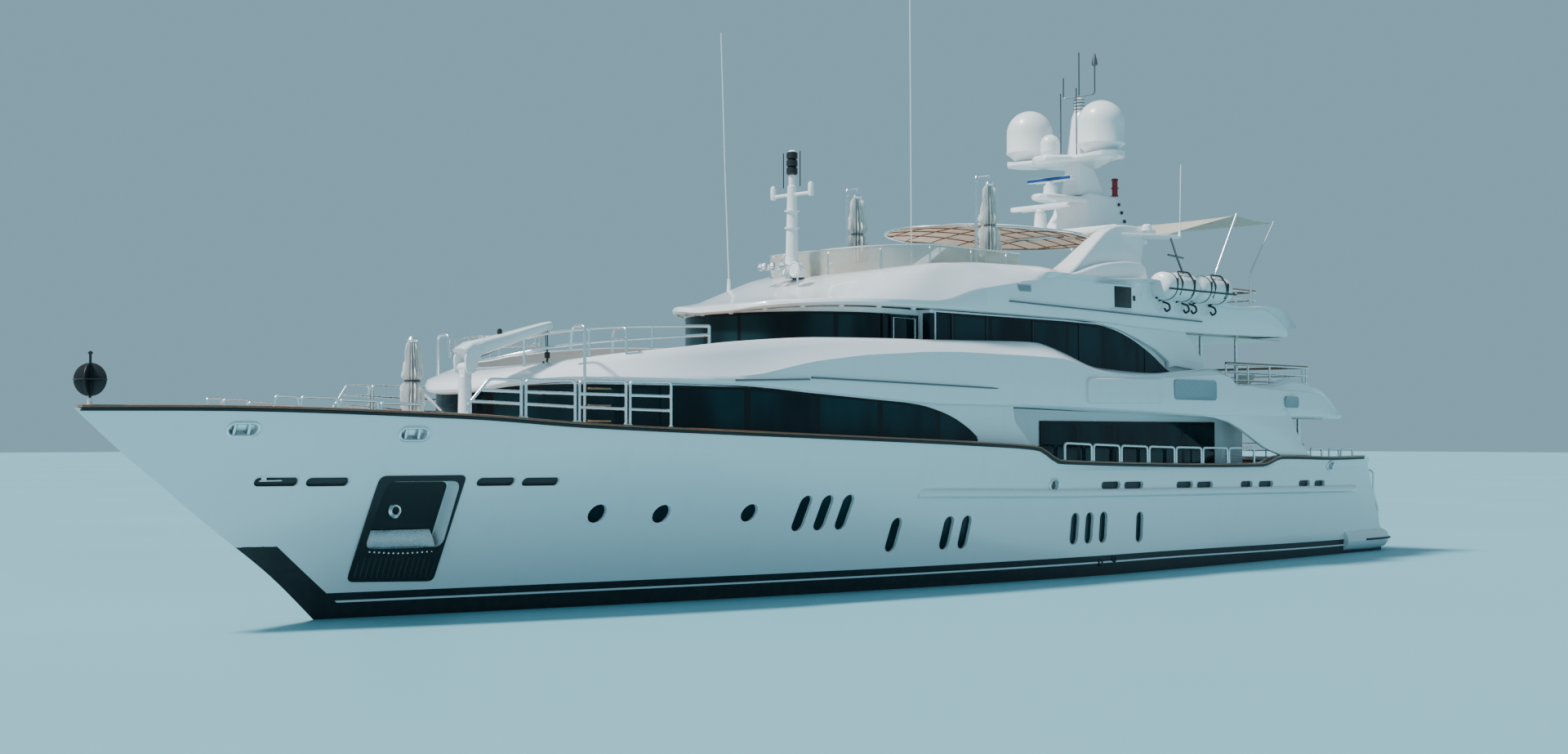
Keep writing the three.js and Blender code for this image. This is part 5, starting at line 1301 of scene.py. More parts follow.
def build_arch():
    """The radar arch with its legs, side fairings, roof, wings, ledges and lockers."""
    leg = plate("leg", ARCH_LEG, (2.75, 3.6), bevel=0.07, segments=4)
    reshaped(leg, lambda x, y, z: (x, y - (0.3 * (z - 8.3) if y > 3.2 and z > 8.3 else 0), z))
    fairing = plate("fairing", FAIRING_TOP + FAIRING_AFT, (3.1, 3.735), bevel=0.06, segments=4)
    reshaped(fairing, lambda x, y, z: (x, y - (0.1 * max(0, z - 8.2) if y > 3.2 else 0), z))
    wing = plate("wing", [(-7.5, 2.9), (-7.5, 3.1), (-8.6, 3.62), (-9.1, 3.82), (-9.7, 3.86), (-9.85, 3.7),
                          (-9.4, 2.9)], (9.68, 9.76), "z", 0.03, 3)
    ledge = plate("ledge", [(-5.2, 3.5), (-5.6, 3.8), (-6.2, 3.95), (-7.0, 3.96), (-7.4, 3.8), (-7.5, 3.5)],
                  (8.08, 8.13), "z", 0.02, 3)
    reshaped(ledge, lambda x, y, z: (x, y, z + 0.18 * max(0, 3.74 - y)))
    shelf = plate("shelf", [(-6.15, 3.6), (-6.3, 3.85), (-7.2, 3.88), (-7.35, 3.6)], (7.4, 7.44), "z", 0.015, 2)
    stub = turned("stub", [(0.16, 9.9), (0.14, 10.05), (0.1, 10.09), (0, 10.1)], (-8.9, 3.2, 0), 24)
    port = joined("arch_side", [leg, fairing, wing, ledge, shelf, stub])
    roof_half = [(-7.6, 3), (-9.7, 3), (-9.8, 2.45), (-11.2, 1.7), (-12.2, 0.95)]
    roof = plate("roof", both_halves(roof_half), (9.83, 10.02), "z", 0.06, 4)
    post = turned("post", [(0, 9.9), (0.3, 9.98), (0.25, 10.05), (0.2, 10.2), (0.17, 10.6)],
                  (SCANNER_X["lower"], 0, 0), 32)
    arch = joined("arch", [port, flipped(port, "twin"), roof, post])
    dress(arch, "white", stands_for=["radar_arch"], smooth=30)
    locker = box("locker", (-7.29, 3.6, 7.5), (-6.48, 3.76, 8.09), 0.01)
    slot_mark = box("slot_mark", (-7.5, 3.7, 7.72), (-7.38, 3.75, 7.87), 0.008)
    both_sides("arch_lockers", [locker, slot_mark], "black")
    louvre = plate("louvre", [(-2.02, 7.9), (-2.12, 7.71), (-2.64, 7.72), (-2.6, 7.91)], (3.72, 3.752), bevel=0.008)
    rows = [[(-2.06 - 0.02 * i, 3.76, 7.875 - 0.035 * i), (-2.6, 3.76, 7.885 - 0.035 * i)] for i in range(5)]
    blades = pipes("blades", rows, 0.011, 6)
    both_sides("arch_louvres", [louvre, blades], "grey")
    lamp = turned("lamp", [(0.05, 0), (0.04, 0.03), (0, 0.04)], (-7.82, 3.735, 7.89), 16, "y")
    both_sides("arch_lamp", [lamp], "plastic")
    struts = [bent([(-9.55, 3.6, 9.68), (-9.9, 3.6, 9.1), (-10.2, 3.62, 8.62)], 0.1),
              [(-9.4, 3.6, 9.2), (-10.2, 3.6, 9.15)]]
    both_sides("wing_struts", [pipes("wing_struts", struts, 0.03, 10)], "dark_steel")


MAST_X = -9.95
DOME_X, DOME_Y = -9.2, 1.36
SCANNER_X = {"upper": -8.45, "lower": -7.95}


def dome(name, x, y, foot, radius, height):
    """A radome: a foot, a rim and a round cap. Its profile is in shares of its radius."""
    rim, shoulder = foot + 0.16 * height, foot + 0.56 * height
    profile = [(0.5, foot), (0.56, foot + 0.02), (0.9, rim - 0.03), (0.97, rim), (1, rim + 0.02), (1, rim + 0.05),
               (0.985, rim + 0.07), (0.985, shoulder)]
    for angle in between(0, math.pi / 2, 15)[1:-1]:
        profile.append((0.985 * math.cos(angle), shoulder + 0.44 * height * math.sin(angle)))
    profile = [(share * radius, z) for share, z in profile] + [(0, shoulder + 0.44 * height)]
    return turned(name, profile, (x, y, 0), 56)


def build_mast():
    """The fairing, column, wing and shelf above the arch, with the small dome."""
    fairing = plate("fairing", [(-8.7, 9.98), (-9.1, 10.35), (-9.4, 10.75), (-9.5, 11.2), (-9.75, 11.36),
                                (-11.1, 11.36), (-11.3, 11.2), (-11.52, 10.6), (-11.9, 9.98)],
                    (-0.75, 0.75), bevel=0.1, segments=4)
    reshaped(fairing, lambda x, y, z: (x, y * (1 - 0.16 * max(0, z - 10)), z))
    column = plate("column", [(-9.45, 11.3), (-9.6, 12.3), (-9.72, 13.75), (-9.85, 14.0), (-10.1, 14.0),
                              (-10.2, 13.75), (-10.3, 12.3), (-10.9, 11.3)], (-0.3, 0.3), bevel=0.08, segments=4)
    reshaped(column, lambda x, y, z: (x, y * (1.25 - 0.3 * (z - 11.3)), z))
    wing_half = [(-7.95, 0.2), (-8.1, 0.42), (-8.6, 0.8), (-8.5, DOME_Y), (-8.6, 1.8), (-9.0, 2.06), (-9.5, 2.02),
                 (-9.85, 1.7), (-9.95, 1.2), (-10.35, 0.5)]
    wing = plate("wing", both_halves(wing_half), (12.12, 12.4), "z", 0.1, 4)
    reshaped(wing, lambda x, y, z: (x, y, z + (0.12 * abs(y) if z < 12.26 else 0)))
    pads = [turned("pad", [(0.5, 12.3), (0.44, 12.44)], (DOME_X, side * DOME_Y, 0), 32) for side in (1, -1)]
    shelf_half = [(-7.75, 0.12), (-7.9, 0.3), (-8.6, 0.5), (-9.6, 0.62)]
    shelf = plate("shelf", both_halves(shelf_half), (11.03, 11.2), "z", 0.06, 3)
    profile = [(0.24, 11.1), (0.26, 11.2), (0.22, 11.26), (0.2, 11.5)]
    post = turned("post", profile, (SCANNER_X["upper"], 0, 0), 32)
    small = dome("small", SCANNER_X["upper"], 0, 12.38, 0.3, 0.7)
    cap = turned("cap", [(0.16, 13.95), (0.14, 14.35), (0.08, 14.4), (0, 14.42)], (MAST_X, 0, 0), 20)
    dress(joined("mast_tower", [fairing, column, wing, *pads, shelf, post, small, cap]), "white", stands_for=["mast"],
          smooth=32)


def build_mast_fittings():
    """The aerials, the wind vane, the red lamps and the dark marks of the mast."""
    fork = [(MAST_X, -0.6, 15.1), (MAST_X, -0.6, 14.45), (MAST_X, 0.6, 14.45), (MAST_X, 0.6, 15.35)]
    rods = pipes("rods", [[(MAST_X, 0, 14.3), (MAST_X, 0, 15.83)], bent(fork, 0.1),
                          [(-9.4, 0.3, 12.4), (-9.4, 0.3, 14.6)], [(-9.4, -0.3, 12.4), (-9.4, -0.3, 14.5)],
                          [(-10.15, 0.2, 13.1), (-10.45, 0.2, 13.1)]], 0.02, 8)
    vane = turned("vane", [(0, 15.3), (0.1, 15.35), (0.08, 15.5), (0.02, 15.72), (0, 15.73)], (MAST_X, 0.6, 0), 16)
    collars = [turned("collar", [(0.17, z), (0.17, z + 0.025)], (MAST_X, 0, 0), 16)
               for z in (14.02, 14.12, 14.22, 14.32)]
    dress(joined("mast_rods", [rods, vane, *collars]), "dark_steel")
    profile = [(0.11, 11.36), (0.11, 11.42), (0.09, 11.43), (0.09, 11.6), (0.12, 11.61), (0.12, 11.66), (0.09, 11.67),
               (0.09, 11.85), (0.11, 11.87), (0.1, 11.94), (0, 11.95)]
    dress(turned("lamp_stack", profile, (-11.2, 0.45, 0), 20), "red")
    marks = []
    for x, z in ((-11.15, 11.1), (-11.25, 10.85), (-11.35, 10.58)):
        y0, y1 = 0.58 + 0.12 * (11.4 - z) / 0.9, 0.62 + 0.13 * (11.4 - z) / 0.9
        marks.append(box("mark", (x - 0.05, y0, z - 0.05), (x + 0.05, y1, z + 0.05), 0.012))
    both_sides("mast_fittings", marks, "black")


def build_domes():
    """The two large satellite domes on the mast's wing."""
    for side, word in ((1, "port"), (-1, "starboard")):
        shell = dome("dome_" + word, DOME_X, side * DOME_Y, 12.42, 0.73, 1.63)
        dress(shell, "plastic", stands_for=["satellite_dome_" + word], smooth=40)


def build_scanners():
    """Turning radar scanners with slim bars on round motor housings."""
    for node, top, length, height, tint in (
            ("upper", 11.5, 1.68, 0.13, "blue"), ("lower", 10.6, 2.18, 0.15, "plastic")):
        x, z, half, body = SCANNER_X[node], top + 0.014, length / 2, node + "_scanner"
        bar = box("bar", (x - 0.09, -half, z + 0.115), (x + 0.09, half, z + 0.105 + height), 0.035, 3)
        hub = turned("hub", [(0.13, z), (0.14, z + 0.02), (0.14, z + 0.07), (0.1, z + 0.12)], (x, 0, 0), 28)
        under = box("under", (x - 0.05, -length * 0.32, z + 0.08), (x + 0.05, length * 0.32, z + 0.13), 0.015)
        dress(joined("scanner_" + node, [bar, hub, under]), "plastic", body, stands_for=["radar_scanner_" + node])
        band = box("scanner_face_" + node, (x + 0.07, 0.02 - half, z + 0.125),
                   (x + 0.096, half - 0.02, z + 0.095 + height), 0.01)
        dress(band, tint, body)


SIGNAL_MAST_X = 2.75
HORN_X, HORN_Z = 3.2, 8.25


def build_signal_mast():
    """The light mast on the wheelhouse roof, with horns, lamps and a searchlight."""
    x = SIGNAL_MAST_X
    trunk = turned("trunk", [(0.34, 8.0), (0.3, 8.12), (0.2, 8.25), (0.17, 8.6), (0.125, 10.3), (0.12, 10.42),
                             (0.09, 10.45), (0.09, 11.1), (0.11, 11.12), (0.11, 11.34), (0.06, 11.38)], (x, 0, 0), 32)
    yard = pipes("yard", [[(x, -0.75, 10.2), (x, 0.75, 10.2)]], 0.045, 12)
    profile = [(0.07, 10.12), (0.08, 10.2), (0.08, 10.42), (0.05, 10.48), (0, 10.49)]
    lamps = [turned("lamp", profile, (x, y, 0), 20) for y in (-0.7, 0.7)]
    shelf = [turned("disc", [(0.2, z), (0.2, z + 0.03)], (x, 0, 0), 24) for z in (9.3, 9.75)]
    ribs = [(r, z + dz) for z in (10.73, 10.93, 11.13) for r, dz in ((0.11, 0), (0.15, 0.03), (0.15, 0.17))]
    lantern = turned("lantern", [(0.12, 10.72), *ribs[1:], (0.1, 11.34)], (x, 0, 0), 28)
    rods = pipes("rods", [[(x, y, 10.4), (x, y, 11.33)] for y in (-0.32, 0.3)], 0.014, 6)
    dress(joined("mast_lantern", [lantern, rods]), "black")
    dress(joined("light_mast", [trunk, yard, *lamps, *shelf]), "plastic", stands_for=["signal_mast"])
    horns = []
    for y, length in ((-0.4, 0.32), (-0.15, 0.42), (0.15, 0.42), (0.4, 0.32)):
        bell = [(0.04, -0.12), (0.035, 0.1), (0.05, 0.2), (0.11, length - 0.02), (0.12, length), (0.1, length),
                (0.04, 0.22), (0, 0.2)]
        horns.append(turned("horn", bell, (HORN_X, y, HORN_Z), 24, "x"))
    arms = pipes("arms", [[(x, 0, HORN_Z), (HORN_X, 0, HORN_Z)], [(HORN_X, -0.45, HORN_Z), (HORN_X, 0.45, HORN_Z)],
                          [(HORN_X, -0.3, 7.95), (HORN_X, -0.3, HORN_Z)],
                          [(HORN_X, 0.3, 7.95), (HORN_X, 0.3, HORN_Z)]], 0.04, 12)
    dress(joined("horns", [*horns, arms]), "steel")
    x, y, z = 3.5, 0.95, 8.12
    drum = turned("drum", [(0.1, -0.16), (0.17, -0.08), (0.18, 0.12), (0.19, 0.14), (0.17, 0.15), (0.15, 0.13)],
                  (x, y, z), 28, "x")
    fork = bent([(x, y - 0.2, z), (x, y - 0.2, z - 0.18), (x, y + 0.2, z - 0.18), (x, y + 0.2, z)], 0.06)
    dress(joined("searchlight", [drum, pipes("yoke", [[(x, y, 7.7), (x, y, 7.95)], fork], 0.025, 10)]), "plastic")


def build_whips():
    """The two tall whip aerials and the short one on the arch's port and aft corner."""
    for word, x, y, top, lean in (("port", 0.6, 2.3, 16.58, 0.05), ("starboard", 2.6, -2.6, 14.88, 0.3)):
        foot = eased(SUN_TOP_Z, x) - 0.45 if word == "starboard" else SUN_DECK_Z
        base = turned("base", [(0.16, foot), (0.18, foot + 0.06), (0.12, foot + 0.14), (0.06, foot + 0.22),
                               (0.04, foot + 0.6)], (x, y, 0), 20)
        rod = pipes("rod", [[(x, y, foot + 0.5), (x + lean * 0.5, y, (foot + top) / 2), (x + lean, y, top)]], 0.016, 8)
        dress(joined("whip_" + word, [base, rod]), "plastic", stands_for=["whip_aerial_" + word])
    rods = pipes("aft_whip", [[(-9.75, 3.78, 9.75), (-9.8, 3.8, 11.9)]], 0.014, 8)
    foot = turned("foot", [(0.06, 9.74), (0.03, 9.95)], (-9.75, 3.78, 0), 16)
    dress(joined("aft_whip", [rods, foot]), "plastic")


# Sun deck furniture and covers
def hoop_profile(inner, outer, low, high):
    return [(inner, low), (outer, low), (outer, high), (inner, high), (inner, low)]


def ellipse(cx, a, b, count=72):
    return [(cx + a * math.cos(turn), b * math.sin(turn)) for turn in between(0, 2 * math.pi, count + 1)[:-1]]


CANOPY_X, CANOPY_Z = -5.6, 9.64
CANOPY_REACH, CANOPY_HALF = 3.78, 2.58
CANOPY_CROWN = 0.3


def canopy_under(x, y):
    """A point on the underside of the canopy's crown."""
    fall = ((x - CANOPY_X) / CANOPY_REACH) ** 2 + (y / CANOPY_HALF) ** 2
    return x, y, CANOPY_Z + 0.02 + CANOPY_CROWN * (1 - fall)


def build_canopy():
    """The round sun canopy: cloth over battens inside a steel ring, on curved legs."""
    cx, z, a, b = CANOPY_X, CANOPY_Z, CANOPY_REACH, CANOPY_HALF
    rings = [[(cx + (x - cx) * t, y * t, z + 0.045 + CANOPY_CROWN * (1 - t * t))
              for x, y in ellipse(cx, a - 0.06, b - 0.06)] for t in (1, 0.85, 0.7, 0.55, 0.4, 0.25, 0.12, 0.01)]
    cover = strip("canopy_cover", [ring + ring[:1] for ring in rings])
    finish_modifier(cover, "SOLIDIFY", thickness=0.02 * SCALE, offset=1)
    dress(cover, "canopy", stands_for=["sun_deck_canopy"], smooth=30)
    ring = pipes("ring", [[(x, y, z + 0.045) for x, y in ellipse(cx, a - 0.03, b - 0.03)]], 0.045, 10, closed=True)
    legs = []
    for side in (1, -1):
        legs += [bent([(-6.2, side * 2.52, z + 0.03), (-6.6, side * 2.9, z - 0.1), (-6.95, side * 2.96, z - 0.5)],
                      0.3), bent([(-7.0, side * 1.6, z + 0.03), (-7.4, side * 1.75, z + 0.05),
                                  (-7.75, side * 1.8, z + 0.2)], 0.2)]
    dress(joined("canopy_ring", [ring, pipes("legs", legs, 0.035, 10)]), "steel")
    battens = []
    for i in range(-4, 5):
        y = i * 0.6
        reach = a * math.sqrt(max(0.05, 1 - (y / b) ** 2)) - 0.1
        battens.append([canopy_under(cx + reach * t, y) for t in between(-1, 1, 13)])
    for i in range(-3, 4):
        x = cx + i * 1.15
        reach = b * math.sqrt(max(0.05, 1 - ((x - cx) / a) ** 2)) - 0.1
        battens.append([canopy_under(x, reach * t) for t in between(-1, 1, 13)])
    dress(pipes("canopy_battens", battens, 0.016, 6), "varnish")


AWNING_HALF = [(-16.5, 2.89), (-14.25, 2.89), (-12.2, 0.92)]
AWNING_Z = [(-16.5, 10.745), (-14.25, 10.815), (-12.2, 9.995)]
POLE_Y = 2.95


def build_awning():
    """The aft awning, pulled tight between the arch and its four raking poles."""
    rows = []
    for x in between(-12.21, -16.48, 40):
        if x < -14.25:
            scallop = 0.14 * math.sin(math.pi * (x + 16.5) / 2.25)
        else:
            scallop = 0.14 * (0.6 * math.sin(math.pi * (x + 14.25) / 2.05))
        half, z = along(AWNING_HALF, x) - max(0, scallop), along(AWNING_Z, x) + 0.012
        sag = 0.05 * math.sin(math.pi * (x + 16.5) / 4.3)
        rows.append([(x, s * half, z - sag * (1 - s * s)) for s in between(-1, 1, 41)])
    cloth = strip("awning", rows)
    finish_modifier(cloth, "SOLIDIFY", thickness=0.012 * SCALE, offset=0)
    dress(cloth, "beige_cloth", stands_for=["aft_awning"], smooth=50)
    poles, cleats = [], []
    for y in (POLE_Y, -POLE_Y):
        poles += [bent([(-12.9, y, 7.46), (-12.99, y, 8.9), (-14.25, y, 10.87)], 0.2),
                  bent([(-15.0, y, 7.46), (-15.05, y, 9.03), (-16.5, y, 10.8)], 0.2)]
        cleats += [[(x, y, z), (x, math.copysign(2.9, y), z - 0.03)] for x, z in ((-14.25, 10.85), (-16.5, 10.78))]
    dress(pipes("awning_poles", poles + cleats, 0.042, 12), "steel")


CLOTH_THICKNESS = 0.0015
TIE_HEIGHT, TIE_RADIUS = 0.42, 0.175


def gathered_cloth(name, x, y, hem, top, widest):
    """A folded parasol: one sheet of cloth in deep pleats, drawn in by its tie and open at its hem."""
    count, rows, pleats = 192, 40, 16
    points = []
    for row in range(rows + 1):
        t = row / rows
        body = widest * (1 - 0.5 * t ** 1.6)
        if t < 0.06:
            body *= 0.86 + 0.14 * t / 0.06
        body *= 1 - 0.36 * math.exp(-((t - TIE_HEIGHT) / 0.035) ** 2)
        body *= 1 + 0.1 * math.exp(-((t - TIE_HEIGHT - 0.1) / 0.06) ** 2)
        if t > 0.94:
            body *= max(0.25, 1 - (t - 0.94) * 10)
        for i in range(count):
            angle = 2 * math.pi * i / count
            fold = math.sin(pleats * angle + 1.5 * t + 0.6 * math.sin(5 * t + angle * 2))
            lump = (0.1 * math.sin(3 * angle + 9 * t) + 0.06 * math.sin(5 * angle - 21 * t)
                    + 0.05 * math.sin(2 * angle + 33 * t))
            radius = body * (0.68 + 0.36 * fold + lump)
            points.append((x + radius * math.cos(angle), y + radius * math.sin(angle), hem + (top - hem) * t))
    faces = []
    last = rows * count
    for a in range(0, last, count):
        for i in range(count):
            k = (i + 1) % count
            faces.append((a + i, a + k, a + count + k, a + count + i))
    faces += [(last + i, last + (i + 1) % count, len(points)) for i in range(count)]
    cloth = outward(surface(name, points + [(x, y, top)], faces))
    return finish_modifier(cloth, "SOLIDIFY", thickness=CLOTH_THICKNESS, offset=-1)


PARASOLS = (("fore", 1.2, 0.9, SUN_DECK_Z, 10.4, 0.4, 1.95), ("mid", -2.76, 2.2, SUN_DECK_Z, 11.0, 0.57, 2.2),
            ("bow", 14.7, 0.3, FOREDECK_Z, 6.12, 0, 1.745))


def build_parasols():
    """Folded parasols on their frames, with the cloth gathered and tied."""
    for word, x, y, floor, top, ahead, drop in PARASOLS:
        cloth = gathered_cloth("parasol_cloth_" + word, x, y, top - drop, top - 0.2, 0.3 if ahead else 0.25)
        dress(cloth, "white_cloth", stands_for=["parasol_" + word], smooth=60)
        pole_x = x + ahead
        foot = box("foot", (pole_x - 0.34, y - 0.34, floor + 0.005), (pole_x + 0.34, y + 0.34, floor + 0.08), 0.015)
        paths = [[(x, y, floor + 0.06), (x, y, top - 1.7)]]
        if ahead:
            arm = bent([(pole_x, y, floor + 0.06), (pole_x, y, top - 0.03), (x, y, top + 0.06)], 0.12)
            paths = [arm, [(x, y, top + 0.08), (x, y, top - 0.26)]]
        profile = [(0, top - 0.27), (0.1, top - 0.26), (0.12, top - 0.2), (0.09, top - 0.14), (0, top - 0.12)]
        pieces = [foot, pipes("bars", paths, 0.042, 12), turned("crown", profile, (x, y, 0), 20)]
        dress(joined("parasol_arm_" + word, pieces), "steel", stands_for=["parasol_" + word + "_frame"])
        z = top - drop + (drop - 0.2) * TIE_HEIGHT
        tie = hoop_profile(TIE_RADIUS - 0.012, TIE_RADIUS, z - 0.02, z + 0.02)
        dress(turned("parasol_ties_" + word, tie, (x, y, 0), 32), "rubber")
    arms = [bent([(14.55, 0.3, 3.0), (14.3, 0.3, 3.9), (13.9, 0.3, 4.35)], 0.2),
            [(14.6, 0.3, 4.1), (13.9, 0.3, 4.35)], [(14.6, 0.3, 4.9), (13.95, 0.3, 4.4)]]
    dress(pipes("bow_frame", arms, 0.03, 10), "steel")


RAFT_Y, RAFT_Z = 3.98, 8.21


def build_rafts():
    """Life raft canisters in hooped cradles outboard of the sun deck."""
    profile = [(0, 0.0), (0.22, 0.01), (0.33, 0.05), (0.385, 0.12), (0.405, 0.2), (0.405, 0.82), (0.415, 0.83),
               (0.415, 0.91), (0.405, 0.92), (0.405, 1.54), (0.385, 1.62), (0.33, 1.69), (0.22, 1.73), (0, 1.74)]
    shells, bands = [], []
    for x in (-10.03, -11.82):
        shells.append(turned("raft", profile, (x, RAFT_Y, RAFT_Z), 44, "x"))
        bands += [turned("band", hoop_profile(0.407, 0.417, a, a + 0.04), (x, RAFT_Y, RAFT_Z), 36, "x")
                  for a in (0.4, 1.3)]
    both_sides("raft_shells", shells, "plastic", ["life_rafts"])
    paths = [bent([(x, 3.42, 7.7), (x, 3.9, 7.84), (x, 4.38, 8.1), (x, 4.4, 8.42)], 0.12)
             for x in (-8.7, -9.6, -10.5, -11.4)]
    paths += [[(-11.85, 4.38, 8.1), (-8.3, 4.38, 8.1)], [(-11.85, 3.9, 7.85), (-8.3, 3.9, 7.85)]]
    for x in (-8.95, -10.7):
        half_hoop = [(x, 4.3, 7.95), (x, 4.42, 8.3), (x, 4.2, 8.64)]
        paths.append(bent(half_hoop + [(x - 0.62, y, z) for _, y, z in reversed(half_hoop)], 0.1))
    hooks = [bent([(x, 3.72, 7.78), (x, 3.95, 7.7), (x, 4.0, 7.55), (x, 3.86, 7.47), (x, 3.8, 7.58)], 0.06)
             for x in (-8.9, -9.9, -10.3, -11.35)]
    cradle = [pipes("cradle", paths, 0.026, 10), pipes("hooks", hooks, 0.03, 10), *bands]
    both_sides("raft_cradles", cradle, "black", slot="steel")


def build_screen():
    """The curved windscreen of the sun deck in its steel frame."""
    shape = {"aft": -3.25, "bend": -0.4, "front": 2.17, "power": 2.3, "side": lambda x: beam_at(x) - 1.78, "steps": 40}
    path = round_front(plan_points(shape, 0, 60))

    def head(x):
        return 8.85 if x < 0.2 else 8.85 - 0.12 * ((x - 0.2) / 2) ** 2

    glass = strip("screen_panels", [[(x, y, 7.62 + (head(x) - 7.62) * i / 5) for i in range(6)] for x, y in path])
    finish_modifier(glass, "SOLIDIFY", thickness=0.02 * SCALE, offset=0)
    dress(glass, "screen", stands_for=["sun_deck_windscreen"])
    bars = [[(x, y, head(x) + 0.01) for x, y in path]]
    bars += [bent([(x, y, 7.5), (x, y, head(x) - 0.1), (x - 0.1, y * 0.97, head(x) + 0.02)], 0.1)
             for x, y in path[8:-8:21]]
    dress(pipes("screen_frame", bars, 0.024, 10), "steel")


# Rails
def hoop(fore, aft, height, radius):
    """A hooped frame on the capping, with rounded shoulders."""
    (xa, ya, za), (xb, yb, zb) = cap_point(fore), cap_point(aft)
    return bent([(xa, ya, za), (xa, ya, za + height), (xb, yb, zb + height), (xb, yb, zb)], radius)


def cap_point(x):
    return x, beam_at(x) - 0.07, eased(RAIL_Z, x) + 0.06


BOW_HOOPS = [(18.61, 18.18, 0.2), (18.13, 17.45, 0.2), (17.4, 16.68, 0.17), (16.62, 15.8, 0.14)]
GATES = [(14.88, 13.74), (13.64, 12.54), (12.44, 11.35), (11.25, 10.24)]
GATE_TOP_Z = 5.02
SIDE_HOOPS = [(-3.0, -4.2, 0.45), (-4.3, -5.5, 0.45), (-5.6, -6.85, 0.45), (-6.95, -8.2, 0.45), (-8.3, -9.6, 0.45),
              (-9.7, -11.0, 0.45), (-11.1, -12.5, 0.45), (-15.95, -16.7, 0.24), (-17.2, -17.9, 0.24),
              (-18.05, -18.9, 0.24)]


def gate_bars(fore, aft, lean):
    """A gate section between two posts. The first one's post leans aft, by lean at its top."""
    (xa, ya, za), (xb, yb, zb) = cap_point(fore), cap_point(aft)

    def abaft(reach, z):
        return xa - reach, ya + (yb - ya) * reach / (xa - xb), z

    knee = [(xa - 0.02, ya, za + 0.2)] if lean else []
    bars = [bent([(xa, ya, za), (xa, ya, za + 0.14), *knee, abaft(lean, GATE_TOP_Z), (xb, yb, GATE_TOP_Z),
                  (xb, yb, zb)], 0.1)]
    for share in (0.36, 0.68):
        start = 0.3 if lean and share > 0.5 else 0
        bars.append([abaft(start, za + (GATE_TOP_Z - za) * share), (xb, yb, zb + (GATE_TOP_Z - zb) * share)])
    return bars


def build_bulwark_rails():
    """Hooped rails at the bow, gate sections beside the crane, and the low rail along the side decks."""
    bars = [hoop(fore, aft, height, 0.09) for fore, aft, height in BOW_HOOPS]
    for fore, aft in GATES:
        bars += gate_bars(fore, aft, 0.45 if fore == GATES[0][0] else 0)
    bars += [hoop(fore, aft, height, 0.12) for fore, aft, height in SIDE_HOOPS]
    sockets = [turned("socket", [(0.055, 0), (0.055, 0.02), (0.035, 0.035), (0, 0.04)], cap_point(x), 14)
               for gate in GATES for x in gate]
    both_sides("bulwark_rails", [pipes("rails", bars, 0.034, 12), *sockets], "steel")


def build_ladder():
    """Steps with tall handrails from the foredeck up to the bridge deck, on both sides."""
    y = 2.8
    rails = [bent([(x, y, 2.93), (x, y, 6.24), (x, y - 0.45, 6.24), (x, y - 0.5, 5.7)], 0.12) for x in (11.94, 10.76)]
    both_sides("ladder_rails", [pipes("rails", rails, 0.036, 12)], "steel")
    treads = [box("tread", (10.8, y - 0.1, z - 0.02), (11.9, y + 0.1, z + 0.02), 0.01)
              for z in (3.4, 3.75, 4.16, 4.5, 4.87)]
    both_sides("ladder_treads", treads, "teak")


BRIDGE_RAIL = {"aft": 8.6, "bend": 9.2, "front": 12.87, "power": 2.3, "side": lambda x: beam_at(x) - 0.875}
BRIDGE_POST_GAP = 1.35
BRIDGE_RAIL_TOP_Z = [(8.6, 6.35), (10.7, 6.27), (11.7, 6.18), (12.6, 5.95), (12.87, 5.78)]
BRIDGE_RAIL_FOOT_Z = [(8.6, 5.95), (9.53, 5.84), (10.99, 5.66), (12.16, 5.45), (12.87, 5.25)]


def build_bridge_rail():
    path = round_front(plan_points(BRIDGE_RAIL, 0)[1:])
    heights = [(eased(BRIDGE_RAIL_FOOT_Z, x), eased(BRIDGE_RAIL_TOP_Z, x)) for x, _ in path]
    top = [(x, y, head) for (x, y), (_, head) in zip(path, heights)]
    middle = [(x, y, (head + foot) / 2) for (x, y), (foot, head) in zip(path, heights)]
    posts, travelled = [], BRIDGE_POST_GAP
    for i, (x, y) in enumerate(path):
        travelled += math.dist(path[i - 1], (x, y)) if i else 0
        if travelled >= BRIDGE_POST_GAP or i == len(path) - 1:
            posts.append([(x, y, heights[i][0]), (x, y, heights[i][1])])
            travelled = 0
    dress(pipes("bridge_rails", [top, middle, *posts], 0.036, 12), "steel", stands_for=["bridge_deck_rail"])


